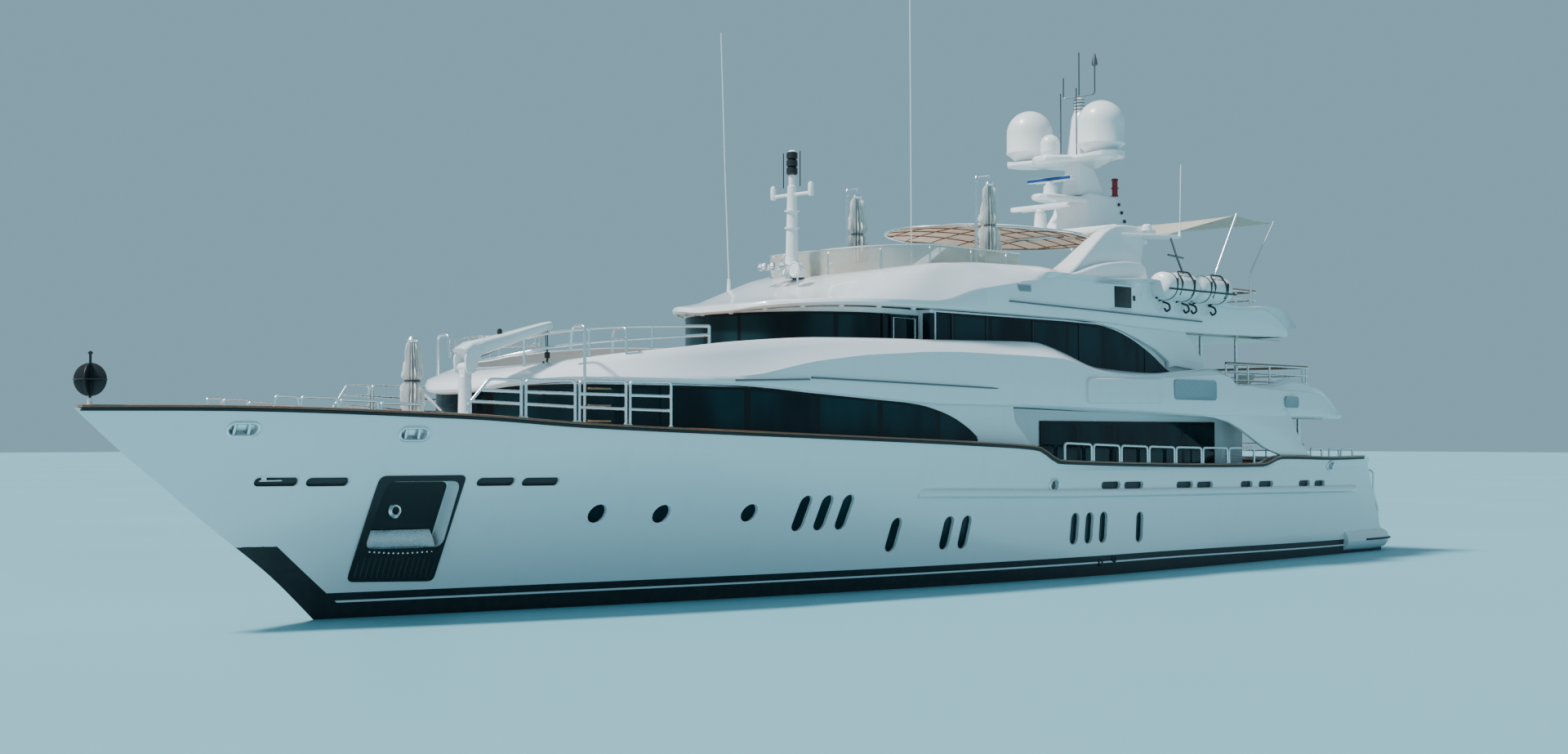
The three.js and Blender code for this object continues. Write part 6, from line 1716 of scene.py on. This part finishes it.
def build_deck_rails():
    """Guard rails round the fore and aft ends of the upper decks and across the transom."""
    build_bridge_rail()
    for name, node, aft, half, floor, start in (
            ("upper_aft_rails", "upper_aft_rail", -17.6, 3.6, BRIDGE_DECK_Z, -12.5),
            ("sun_aft_rails", "sun_deck_aft_rail", -15.6, 2.9, SUN_DECK_Z, -12.9)):
        def level_bar(z):
            return bent([(x, y, floor + z) for x, y in ((start, half), (aft, half), (aft, -half), (start, -half))],
                        0.3)

        feet = [(x, y) for y in (half, -half)
                for x in (start, (start + aft) / 2, aft + 0.3, start * 0.75 + aft * 0.25)]
        feet += [(aft, y) for y in (half - 0.3, 0, 0.3 - half)]
        paths = [level_bar(z) for z in (1.0, 0.25, 0.5, 0.75)]
        paths += [[(x, y, floor + 0.005), (x, y, floor + 1.0)] for x, y in feet]
        dress(pipes(name, paths, 0.03, 12), "steel", stands_for=[node])
        dress(pipes(name + "_grip", [level_bar(1.03)], 0.035, 12), "varnish", slot="steel")
    z = along(RAIL_Z, STERN_RAIL_X) - 0.05
    feet = [(-19.6, y, z) for y in (-2.2, -0.75, 0.75, 2.2)]
    heads = [(x, y, z + 0.5) for x, y, z in feet]
    paths = [bent([feet[0], *heads, feet[-1]], 0.1), [(x, y, z + 0.25) for x, y, z in feet]]
    paths += [[feet[i], heads[i]] for i in (1, 2)]
    dress(pipes("stern_rails", paths, 0.032, 12), "steel", stands_for=["main_aft_rail"])


def build_side_grips():
    """Long handrails on the houses and the sun deck side, with short stand-offs."""
    grips = []
    for x0, z0, x1, z1, inset in ((-1.7, 7.42, -10.9, 7.27, 0.84), (8.4, 5.1, 6.3, 5.16, 0.2),
                                  (6.2, 5.2, -2.2, 5.02, 0.22)):
        line = [(x, beam_at(x) - inset, z0 + (z1 - z0) * (x - x0) / (x1 - x0)) for x in between(x0, x1, 9)]
        grips += [line] + [[(x, y, z), (x, y - 0.1, z)] for x, y, z in line[::2]]
    both_sides("side_grips", [pipes("grips", grips, 0.022, 10)], "dark_steel")


# Deck gear
CRANE_X, CRANE_Y, KNEE_Z = 14.2, 1.55, 5.3


def crane_boom():
    """The tapering boom, from rows of its centre line (x, z) and half height."""
    path = [(14.33, 5.4, 0.2), (14.26, 5.58, 0.19), (14.1, 5.68, 0.185), (13.8, 5.76, 0.17), (13.2, 5.93, 0.145),
            (12.6, 6.11, 0.12), (12.1, 6.26, 0.1), (11.98, 6.29, 0.09)]
    rings = []
    for i in range(1, len(path)):
        px, pz, half = path[i]
        before, after = path[i - 1], path[min(len(path) - 1, i + 1)]
        dx, dz = after[0] - before[0], after[1] - before[1]
        length = math.hypot(dx, dz)
        width = 0.24 - 0.016 * max(0, i - 2)
        ring = []
        for k in range(8):
            angle = math.pi * (k + 0.5) / 8
            c, s = math.cos(angle), math.sin(angle)
            up = math.copysign(abs(c) ** 0.5, c) * half
            ring.append((px + dz / length * up, s ** 0.5 * width, pz - dx / length * up))
        rings.append([(x, y + CRANE_Y, z) for x, y, z in mirrored_ring(ring)])
    return lofted("boom", rings)


def build_crane():
    """The foredeck crane: a foot, a turning column and a goose-necked boom on its knee."""
    x, y = CRANE_X, CRANE_Y
    profile = [(0.3, FOREDECK_Z + 0.005), (0.3, 2.96), (0.24, 3.0), (0.19, 3.15), (0.165, 3.59)]
    dress(turned("foot", profile, (x, y, 0), 36), "white", stands_for=["crane_pedestal"])
    profile = [(0.17, 3.61), (0.17, 3.68), (0.155, 3.7), (0.14, 5.0), (0.14, 5.1), (0.1, 5.14)]
    column = turned("column", profile, (x, y, 0), 36)
    pin = turned("pin", [(0.11, -0.165), (0.11, 0.165)], (x, y, KNEE_Z), 28, "y")
    neck = box("neck", (x - 0.1, y - 0.12, 5.1), (x + 0.1, y + 0.12, 5.36), 0.03)
    dress(joined("crane_post_body", [column, pin, neck]), "white", "crane_post", stands_for=["crane_column"])
    side_view = rounded_outline([(14.08, 5.17), (14.32, 5.17), (14.36, 5.5), (14.22, 5.74), (13.84, 5.86),
                                 (13.84, 5.62), (14.0, 5.5)], 0.09)
    cheeks = [plate("cheek", side_view, (y + s * 0.175, y + s * 0.235), bevel=0.014, segments=3) for s in (1, -1)]
    dress(joined("crane_boom_body", [crane_boom(), *cheeks]), "white", "crane_arm", stands_for=["crane_boom"])
    dress(pipes("ram", [[(13.98, y, 5.5), (13.4, y, 5.72)]], 0.045, 12), "dark_steel", "crane_arm")
    knob = turned("knob", [(0.05, 0), (0.06, 0.03), (0.05, 0.1), (0.02, 0.12)], (13.3, y, 6.05), 20)
    wires = pipes("wires", [[(12.03, y + dy, 6.2), (12.0, y + dy / 2, 5.62)] for dy in (-0.04, 0.04)], 0.012, 6)
    hook = bent([(12.0, y, 5.62), (12.0, y, 5.5), (12.06, y, 5.42), (12.12, y, 5.48)], 0.04)
    block = box("block", (11.96, y - 0.05, 5.56), (12.05, y + 0.05, 5.7), 0.015)
    tackle = joined("crane_tackle", [knob, wires, pipes("hook", [hook], 0.025, 8), block])
    dress(tackle, "black", "crane_arm")


STAFF_X = 21.75
SIGNAL_Z = 4.915
BITTS = ((18.3, 0.7, FOREDECK_Z), (15.3, 1.5, FOREDECK_Z), (-18.6, 3.75, MAIN_DECK_Z), (-13.6, 4.0, MAIN_DECK_Z))


def build_jackstaff():
    """The staff with its day signal, a ball of three crossed discs."""
    foot = along(RAIL_Z, STAFF_X)
    rim = [(0.3, -0.014), (0.322, -0.006), (0.322, 0.006), (0.3, 0.014)]
    discs = [turned("disc", rim, (STAFF_X, 0, SIGNAL_Z), 48)]
    for turn in (math.pi / 4, -math.pi / 4):
        c, s = math.cos(turn), math.sin(turn)
        disc = turned("disc", rim, (0, 0, 0), 48, "y")
        discs.append(reshaped(disc, lambda x, y, z: (STAFF_X + x * c - y * s, x * s + y * c, SIGNAL_Z + z)))
    staff = pipes("staff", [[(STAFF_X, 0, foot + 0.003), (STAFF_X, 0, 5.46)]], 0.026, 12)
    tip = turned("tip", [(0.04, 5.4), (0.05, 5.44), (0, 5.46)], (STAFF_X, 0, 0), 16)
    dress(joined("day_signal", [*discs, staff, tip]), "black", stands_for=["jackstaff"])
    dress(pipes("sleeve", [[(STAFF_X, 0, foot + 0.005), (STAFF_X, 0, 4.56)]], 0.05, 16), "white")


def build_bow_gear():
    """The jackstaff, the windlass, bollards and locker lids of the foredeck."""
    build_jackstaff()
    drum = [(0.22, 3.0), (0.22, 3.05), (0.19, 3.1), (0.15, 3.16), (0.13, 3.28), (0.15, 3.42), (0.2, 3.54),
            (0.22, 3.58), (0.2, 3.62)]
    gypsy = [(0.16, 3.1), (0.2, 3.16), (0.16, 3.2), (0.2, 3.24), (0.16, 3.3)]
    windlass = [box("bed", (16.0, -0.75, FOREDECK_Z + 0.005), (17.0, 0.75, 3.13), 0.03)]
    bitts = []
    for side in (1, -1):
        windlass += [turned("drum", drum, (16.5, side * 0.5, 0), 36),
                     turned("gypsy", gypsy, (16.75, side * 0.5, 0), 24)]
        for x, half, z in BITTS:
            y = side * half
            post = [(0.07, z + 0.03), (0.065, z + 0.24), (0.085, z + 0.27), (0.085, z + 0.3), (0, z + 0.31)]
            bitts += [turned("bitt", post, (x + dx, y, 0), 16) for dx in (-0.16, 0.16)]
            bitts.append(box("base", (x - 0.28, y - 0.1, z + 0.02), (x + 0.28, y + 0.1, z + 0.05), 0.01))
    dress(joined("windlass_drums", windlass), "steel", stands_for=["windlass"])
    dress(joined("bollards", bitts), "steel")
    low, high = FOREDECK_Z + 0.02, FOREDECK_Z + 0.09
    hatches = [box("hatch", (x - 0.35, y - 0.35, low), (x + 0.35, y + 0.35, high), 0.03, 3)
               for x, y in ((17.9, 0.0), (15.4, -0.6))]
    dress(joined("deck_hatches", hatches), "white")


DAVIT_X, DAVIT_Y = -21.3, 3.98


def build_garage_door():
    foot, head = along(TRANSOM_X, 0.87), along(TRANSOM_X, 1.99)
    half = GARAGE_HALF - 0.02
    section = [(foot, 0.87), (head, 1.986), (head + 0.12, 1.986), (foot + 0.12, 0.87)]
    leaf = plate("transom_leaf", section, (-half, half), bevel=0.012)
    dress(leaf, "white", "transom_door", stands_for=["garage_door"])
    seams = [[(foot - 0.002, y, 0.92), (head - 0.002, y, 1.94)] for y in (-0.95, 0.0, 0.95)]
    dress(pipes("transom_leaf_seams", seams, 0.008, 6), "rubber", "transom_door")


def build_stern_gear():
    """The garage door, the stern davit, the exhausts, and the blank boards and louvres of the upper sides."""
    build_garage_door()
    davit = bent([(DAVIT_X, DAVIT_Y, 0.8), (DAVIT_X, DAVIT_Y, 1.4), (-21.15, 3.9, 1.9), (-21.15, 3.9, 2.6),
                  (-21.12, 3.78, 2.72), (-21.08, 3.6, 2.5)], 0.12)
    socket = turned("socket", [(0.09, 0.76), (0.09, 0.8), (0.05, 0.84)], (DAVIT_X, DAVIT_Y, 0), 20)
    dress(joined("stern_davit", [pipes("davit", [davit], 0.035, 12), socket]), "steel")
    lip = [(0.05, -0.05), (0.09, -0.05), (0.1, 0.02), (0.08, 0.04), (0.05, 0.02), (0.05, -0.05)]
    exhausts = [turned("exhaust", lip, (x, side_half_at(x, z), z), 24, "y") for x, z in ((-4.9, 0.36), (-5.5, 0.44))]
    both_sides("exhausts", exhausts, "rubber")
    outline = rounded_outline([(-3.95, 4.72), (-3.96, 5.4), (-7.6, 5.47), (-7.6, 4.76)], 0.16)
    both_sides("name_board", [plate("board", outline, (4.53, 4.67), bevel=0.045, segments=4)], "plastic")
    louvres = [plate("louvre", rounded_outline([(x1, z0), (x1, z1), (x0, z1), (x0, z0)], 0.12), (4.5, 4.605),
                     bevel=0.006) for x0, x1, z0, z1 in ((-10.4, -8.2, 4.88, 5.46), (-15.1, -14.3, 4.72, 5.06))]
    both_sides("side_louvres", louvres, "louvre")


def propeller_blade(turn):
    """A blade with a pear shaped outline, thick at its root and twisted towards its tip."""
    c, s = math.cos(turn), math.sin(turn)
    rings = []
    for i in range(9):
        t = i / 8
        reach = 0.1 + (PROP_RADIUS - 0.105) * t
        half = 0.24 * math.sin(math.pi * min(0.985, 0.2 + 0.78 * t)) ** 0.6 if i < 8 else 0.03
        thick = 0.024 * (1 - t) + 0.006
        pitch = math.radians(38 + 22 * (1 - t))
        angles = [math.pi * (k + 0.5) / 12 for k in range(12)]
        port = [(math.cos(angle) * half, math.sin(angle) * thick) for angle in angles]
        points = []
        for u, v in port + [(u, -v) for u, v in reversed(port)]:
            ahead, across = u * math.cos(pitch) - v * math.sin(pitch), u * math.sin(pitch) + v * math.cos(pitch)
            points.append((ahead * 0.9, across * c - reach * s, across * s + reach * c))
        rings.append(points)
    return lofted("blade", rings)


def rudder_foil():
    """The port rudder's blade, thick near its nose."""
    top = BOSS_Z - 0.1
    rings = []
    for t in (0, 0.1, 0.5, 0.94, 1):
        z = top + (-2.5 - top) * t
        nose, tail = RUDDER_X + 0.4 - 0.08 * t, RUDDER_X - 0.8 + 0.18 * t
        thick = 0.08 if 0 < t < 1 else 0.06
        side = [(nose + (tail - nose) * u ** 1.5, thick * (1.9 * math.sqrt(max(0.0004, u)) * (1 - u) + 0.03), z)
                for u in between(0, 1, 13)]
        rings.append([(x, SHAFT_Y + y, z) for x, y, z in mirrored_ring(side)])
    return lofted("foil", rings)


def build_running_gear():
    """Shafts with their brackets, five bladed propellers and rudders."""
    shaft = pipes("shaft", [[(PROP_X + 0.14, SHAFT_Y, PROP_Z), (-8.2, SHAFT_Y, -1.35)]], 0.088, 24)
    profile = [(0.14, 0), (0.158, 0.03), (0.158, 0.58), (0.12, 0.62)]
    barrel = turned("barrel", profile, (PROP_X + 0.13, SHAFT_Y, PROP_Z), 32, "x")
    outline = [(PROP_X + 0.3, PROP_Z), (PROP_X + 0.68, PROP_Z), (PROP_X + 0.68, -0.75), (PROP_X + 0.3, -0.75)]
    strut = plate("strut", outline, (SHAFT_Y - 0.04, SHAFT_Y + 0.04), bevel=0.03, segments=3)
    both_sides("shaft_line", [shaft, barrel, strut], "dark_steel", ["shaft_and_bracket"])
    profile = [(0, -0.26), (0.05, -0.25), (0.11, -0.19), (0.15, -0.05), (0.17, 0.12), (0.16, 0.2)]
    blades = [propeller_blade(i / 5 * math.pi * 2) for i in range(5)]
    screw = joined("screw", [turned("hub", profile, (0, 0, 0), 32, "x"), *blades])
    reshaped(screw, lambda x, y, z: (x + PROP_X - 0.09, y + SHAFT_Y, z + PROP_Z))
    both_sides("propeller_blades", [screw], "bronze", ["propeller"], body="screw")
    stock = pipes("stock", [[(RUDDER_X, SHAFT_Y, -1.2), (RUDDER_X, SHAFT_Y, BOSS_Z - 0.02)]], 0.098, 24)
    both_sides("rudder_foil", [rudder_foil(), stock], "boot", ["rudder"], body="blade")


# Furniture
CUSHION_SWELL = 0.03
CUSHION_VOXEL = 0.013
SWELL_FRAMES = 20
LOUNGER_HALF = 0.42
LOUNGERS = ((-16.4, 1.5, BRIDGE_DECK_Z, "upper"), (-14.3, 1.2, SUN_DECK_Z, "sun"))
BACK_ANGLE = math.radians(38)


def swollen(piece, floor):
    """Blows a pad up in its cover by a cloth simulation, no further than its swell and never under its floor."""
    flat = [vertex.co.copy() for vertex in piece.data.vertices]
    cloth = piece.modifiers.new("Cloth", "CLOTH")
    settings = cloth.settings
    settings.use_pressure, settings.uniform_pressure_force, settings.quality = True, 4, 4
    settings.effector_weights.gravity = 0
    cloth.point_cache.frame_start, cloth.point_cache.frame_end = 1, SWELL_FRAMES
    for step in range(1, SWELL_FRAMES + 1):
        bpy.context.scene.frame_set(step)
    choose(piece)
    bpy.ops.object.modifier_apply(modifier="Cloth")
    bpy.context.scene.frame_set(1)
    limit = CUSHION_SWELL * SCALE
    for vertex, start in zip(piece.data.vertices, flat):
        move = vertex.co - start
        if move.length > limit:
            vertex.co = start + move * (limit / move.length)
        vertex.co.z = max(vertex.co.z, floor * SCALE)


def cushion(name, low, high, tilted=False):
    """A pad blown up in its cover, with a welt sewn round it and two stitched channels across it."""
    (x0, y0, z0), (x1, y1, z1) = low, high
    piece = box(name, (x0 + 0.02, y0 + 0.02, z0 + 0.01), (x1 - 0.02, y1 - 0.02, z1 - 0.015), 0.035, 3)
    finish_modifier(piece, "REMESH", mode="VOXEL", voxel_size=CUSHION_VOXEL)
    swollen(piece, z0)
    finish_modifier(piece, "SUBSURF", levels=1, render_levels=1)

    def on_skin(x, y, z):
        return tuple(c / SCALE for c in piece.closest_point_on_mesh((x * SCALE, y * SCALE, z * SCALE))[1])

    y, z = (y0 + y1) / 2, (z0 + z1) / 2
    rim = bent([(x0, y, z), (x0, y0, z), (x1, y0, z), (x1, y1, z), (x0, y1, z), (x0, y + 0.01, z)], 0.06)
    long_rim = [p for a, b in zip(rim, rim[1:]) for p in (a, tuple((m + n) / 2 for m, n in zip(a, b)))]
    lines = [[on_skin(*p) for p in long_rim]]
    for share in (0.34, 0.67):
        x = x0 + (x1 - x0) * share
        lines.append([on_skin(x, y0 + (y1 - y0) * k / 12, z1 + 0.1) for k in range(1, 12)])
    piece = joined(name, [piece, pipes("welt", lines, 0.009, 8)])
    if tilted:
        c, s = math.cos(BACK_ANGLE), math.sin(BACK_ANGLE)
        reshaped(piece, lambda x, y, z: (x1 + (x - x1) * c + (z - z0) * s, y, z0 - (x - x1) * s + (z - z0) * c))
    dress(piece, "cushion", smooth=60)


def lounger_frame(x, y, low):
    """The bed of a lounger on its four legs."""
    bed = box("bed", (x - 0.75, y - LOUNGER_HALF, low + 0.22), (x + 0.95, y + LOUNGER_HALF, low + 0.28), 0.015)
    legs = [box("leg", (a - 0.03, b - 0.03, low), (a + 0.03, b + 0.03, low + 0.24), 0.008)
            for a in (x - 0.65, x + 0.85) for b in (y - 0.36, y + 0.36)]
    return [bed, *legs]


def build_furniture():
    """Sun loungers on the upper aft decks and a bench on the main aft deck, with their cushions."""
    frames = []
    for x, half, floor, deck in LOUNGERS:
        for y, word in ((half, "port"), (-half, "starboard")):
            frames += lounger_frame(x, y, floor + 0.04)
            name, low, high = "lounger_" + deck + "_" + word, floor + 0.32, floor + 0.46
            cushion(name + "_pad", (x - 0.2, y - 0.38, low), (x + 0.92, y + 0.38, high))
            cushion(name + "_back", (x - 0.98, y - 0.38, low), (x - 0.26, y + 0.38, high), tilted=True)
    frames.append(box("bench", (-18.9, -2.0, MAIN_DECK_Z + 0.03), (-18.2, 2.0, MAIN_DECK_Z + 0.42), 0.04, 3))
    frames.append(box("back", (-19.08, -2.0, MAIN_DECK_Z + 0.03), (-18.92, 2.0, MAIN_DECK_Z + 0.85), 0.04, 3))
    dress(joined("lounger_frames", frames), "varnish")
    for i, y in enumerate((-1.32, 0.0, 1.32), 1):
        cushion("bench_pad_" + str(i), (-18.88, y - 0.63, MAIN_DECK_Z + 0.43), (-18.22, y + 0.63, MAIN_DECK_Z + 0.58))


LOUNGE_BAND_LOW = [(-5.0, 7.02), (-5.97, 6.98), (-6.84, 6.86), (-7.74, 6.63), (-8.66, 6.35), (-9.31, 6.02),
                   (-9.3, 5.84)]
LOUNGE_BAND_AFT = [(-9.6, 5.9), (-10.9, 5.8), (-11.2, 5.9), (-11.1, 6.12), (-10.95, 6.26), (-10.47, 6.68),
                   (-10.08, 6.99), (-10.0, 7.1)]


def build_lounge_sides():
    """The white side panel that sweeps over the aft end of the lounge glass down to the bridge deck."""
    band = plate("lounge_side", LOUNGE_BAND_LOW + LOUNGE_BAND_AFT, (3.56, 3.68), bevel=0.02, segments=3)
    both_sides("lounge_side", [band], "white")


def build_locker_doors():
    """Louvred white doors abaft the saloon glass, one on each side."""
    y = SALOON_HALF
    frame_piece = plate("frame", [(-12.5, 2.25), (-13.7, 2.25), (-13.7, 4.3), (-12.5, 4.3)], (y - 0.02, y + 0.03),
                        bevel=0.01)
    slats = [box("slat", (-13.58, y + 0.02, z), (-12.62, y + 0.045, z + 0.045), 0.006) for z in between(2.4, 4.1, 22)]
    both_sides("locker_doors", [frame_piece] + slats, "white")


def finish_houses():
    """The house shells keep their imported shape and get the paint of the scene."""
    for node in ("main_house", "upper_house"):
        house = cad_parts[node]
        for slot in house.material_slots:
            slot.material = FINISHES["white"]


# Settings, operators and panel
class YachtPaint(bpy.types.PropertyGroup):
    white: FloatVectorProperty(
        name="White", description="Colour of the topsides and the houses", subtype="COLOR", default=(0.86, 0.87, 0.88))
    boot_top: FloatProperty(
        name="Boot top", description="Upper edge of the black band above the water", default=0.55, unit="LENGTH")


class YachtCloth(bpy.types.PropertyGroup):
    canvas: FloatVectorProperty(name="Canvas", description="Colour of the awning and the parasols", subtype="COLOR",
                                default=(0.62, 0.55, 0.44))


class YachtStage(bpy.types.PropertyGroup):
    floor_size: FloatProperty(name="Floor", description="Width of the floor", default=400, unit="LENGTH")
    key_power: FloatProperty(name="Key light", description="Strength of the high lamp", default=5.5)
    sky_power: FloatProperty(name="Soft light", description="Strength of the even light", default=0.55)


def finished(*makers):
    for maker in makers:
        maker()
    return {"FINISHED"}


class YACHT_OT_hull(bpy.types.Operator):
    """Model the hull with its rub rail, lights, anchor recesses and capping"""
    bl_idname = "yacht.hull"
    bl_label = "Hull"

    def execute(self, context):
        return finished(build_hull, build_strake, build_hull_lights, build_anchor_pocket, build_capping)


class YACHT_OT_decks(bpy.types.Operator):
    """Lay the teak decks and model the swim platform"""
    bl_idname = "yacht.decks"
    bl_label = "Decks"

    def execute(self, context):
        return finished(build_decks, build_platform)


class YACHT_OT_upper_decks(bpy.types.Operator):
    """Model the bridge deck and the sun deck with their posts, ceilings and side panels"""
    bl_idname = "yacht.upper_decks"
    bl_label = "Upper decks"

    def execute(self, context):
        return finished(build_bridge_deck, build_sun_deck, build_lounge_sides)


class YACHT_OT_windows(bpy.types.Operator):
    """Glaze the houses, add their wipers and paint their shells"""
    bl_idname = "yacht.windows"
    bl_label = "Windows"

    def execute(self, context):
        return finished(build_main_windows, build_upper_windows, build_wing_panels, build_wipers, finish_houses)


class YACHT_OT_doors(bpy.types.Operator):
    """Model the sliding doors"""
    bl_idname = "yacht.doors"
    bl_label = "Doors"

    def execute(self, context):
        return finished(build_doors, build_locker_doors)


class YACHT_OT_arch(bpy.types.Operator):
    """Model the radar arch and its lockers"""
    bl_idname = "yacht.arch"
    bl_label = "Radar arch"

    def execute(self, context):
        return finished(build_arch)


class YACHT_OT_mast(bpy.types.Operator):
    """Model the masts, aerials, domes and turning scanners"""
    bl_idname = "yacht.mast"
    bl_label = "Masts and aerials"

    def execute(self, context):
        return finished(build_mast, build_mast_fittings, build_domes, build_scanners, build_signal_mast, build_whips)


class YACHT_OT_shades(bpy.types.Operator):
    """Model the slatted canopy, the stretched awning and the folded parasols"""
    bl_idname = "yacht.shades"
    bl_label = "Canopy, awning and parasols"

    def execute(self, context):
        return finished(build_canopy, build_awning, build_parasols)


class YACHT_OT_sun_deck_fittings(bpy.types.Operator):
    """Model the life rafts and the windscreen of the sun deck"""
    bl_idname = "yacht.sun_deck_fittings"
    bl_label = "Life rafts and windscreen"

    def execute(self, context):
        return finished(build_rafts, build_screen)


class YACHT_OT_rails(bpy.types.Operator):
    """Bend the guard rails, the ladders and the handrails"""
    bl_idname = "yacht.rails"
    bl_label = "Rails"

    def execute(self, context):
        return finished(build_bulwark_rails, build_ladder, build_deck_rails, build_side_grips)


class YACHT_OT_crane(bpy.types.Operator):
    """Model the foredeck crane with its turning column and boom"""
    bl_idname = "yacht.crane"
    bl_label = "Crane"

    def execute(self, context):
        return finished(build_crane)


class YACHT_OT_bow_gear(bpy.types.Operator):
    """Model the jackstaff, the windlass and the bollards"""
    bl_idname = "yacht.bow_gear"
    bl_label = "Bow gear"

    def execute(self, context):
        return finished(build_bow_gear)


class YACHT_OT_stern_gear(bpy.types.Operator):
    """Model the garage door, the davit, the exhausts and the side boards"""
    bl_idname = "yacht.stern_gear"
    bl_label = "Stern gear"

    def execute(self, context):
        return finished(build_stern_gear)


class YACHT_OT_running_gear(bpy.types.Operator):
    """Model the shafts, the propellers and the rudders"""
    bl_idname = "yacht.running_gear"
    bl_label = "Running gear"

    def execute(self, context):
        return finished(build_running_gear)


class YACHT_OT_furniture(bpy.types.Operator):
    """Model the loungers and the bench with their padded cushions"""
    bl_idname = "yacht.furniture"
    bl_label = "Deck furniture"

    def execute(self, context):
        return finished(build_furniture)


def aimed_lamp(name, kind, place, target, **settings):
    lamp = bpy.data.lights.new(name, kind)
    for key, value in settings.items():
        setattr(lamp, key, value)
    holder = bpy.data.objects.new(name, lamp)
    bpy.context.scene.collection.objects.link(holder)
    holder.location = place
    holder.rotation_euler = (Vector(target) - Vector(place)).to_track_quat("-Z", "Y").to_euler()


CAMERA_PLACE = (18.695, 17.315, 1.915)
CAMERA_TURN = (91.82, 0, -224.76)
CAMERA_LENS = 42.73


class YACHT_OT_stage(bpy.types.Operator):
    """Set the floor, the lamps, the soft light and the camera"""
    bl_idname = "yacht.stage"
    bl_label = "Stage"

    def execute(self, context):
        settings = context.scene.yacht_stage
        deselect()
        bpy.ops.mesh.primitive_plane_add(size=settings.floor_size)
        floor = bpy.context.object
        floor.name = "studio_floor"
        floor.data.materials.append(FINISHES["floor"])
        aimed_lamp("key", "SUN", (20, -10, 34), (0, 0, 2), energy=settings.key_power, angle=0.12)
        aimed_lamp("fill", "AREA", (14, 34, 8), (0, 0, 2), energy=350, shape="RECTANGLE",
                   size=34, size_y=10, color=(0.1, 0.6, 0.8))
        world = bpy.data.worlds.new("soft_light")
        context.scene.world = world
        world.use_nodes = True
        background = world.node_tree.nodes["Background"]
        background.inputs["Color"].default_value = (0.42, 0.74, 0.9, 1)
        background.inputs["Strength"].default_value = settings.sky_power
        data = bpy.data.cameras.new("camera")
        camera = bpy.data.objects.new("camera", data)
        context.scene.collection.objects.link(camera)
        camera.location = CAMERA_PLACE
        camera.rotation_euler = [math.radians(a) for a in CAMERA_TURN]
        data.lens = CAMERA_LENS
        data.clip_end = 500
        context.scene.camera = camera
        return {"FINISHED"}


GROUPS = (("yacht_paint", YachtPaint), ("yacht_cloth", YachtCloth), ("yacht_stage", YachtStage))
OPERATORS = (YACHT_OT_hull, YACHT_OT_decks, YACHT_OT_upper_decks, YACHT_OT_windows, YACHT_OT_doors, YACHT_OT_arch,
             YACHT_OT_mast, YACHT_OT_shades, YACHT_OT_sun_deck_fittings, YACHT_OT_rails, YACHT_OT_crane,
             YACHT_OT_bow_gear, YACHT_OT_stern_gear, YACHT_OT_running_gear, YACHT_OT_furniture, YACHT_OT_stage)


class YACHT_PT_panel(bpy.types.Panel):
    """Settings and build steps of the yacht"""
    bl_idname = "YACHT_PT_panel"
    bl_label = "Motor yacht"
    bl_space_type = "VIEW_3D"
    bl_region_type = "UI"
    bl_category = "Yacht"

    def draw(self, context):
        for name, group in GROUPS:
            for prop in group.__annotations__:
                self.layout.prop(getattr(context.scene, name), prop)
        for operator in OPERATORS:
            self.layout.operator(operator.bl_idname)


def register():
    for name, group in GROUPS:
        bpy.utils.register_class(group)
        setattr(bpy.types.Scene, name, PointerProperty(type=group))
    for cls in OPERATORS + (YACHT_PT_panel,):
        bpy.utils.register_class(cls)


def unregister():
    for cls in reversed(OPERATORS + (YACHT_PT_panel,)):
        bpy.utils.unregister_class(cls)
    for name, group in GROUPS:
        delattr(bpy.types.Scene, name)
        bpy.utils.unregister_class(group)


def main():
    register()
    make_finishes(bpy.context.scene)
    for operator in OPERATORS:
        group, name = operator.bl_idname.split(".")
        getattr(getattr(bpy.ops, group), name)()


if __name__ == "__main__":
    main()
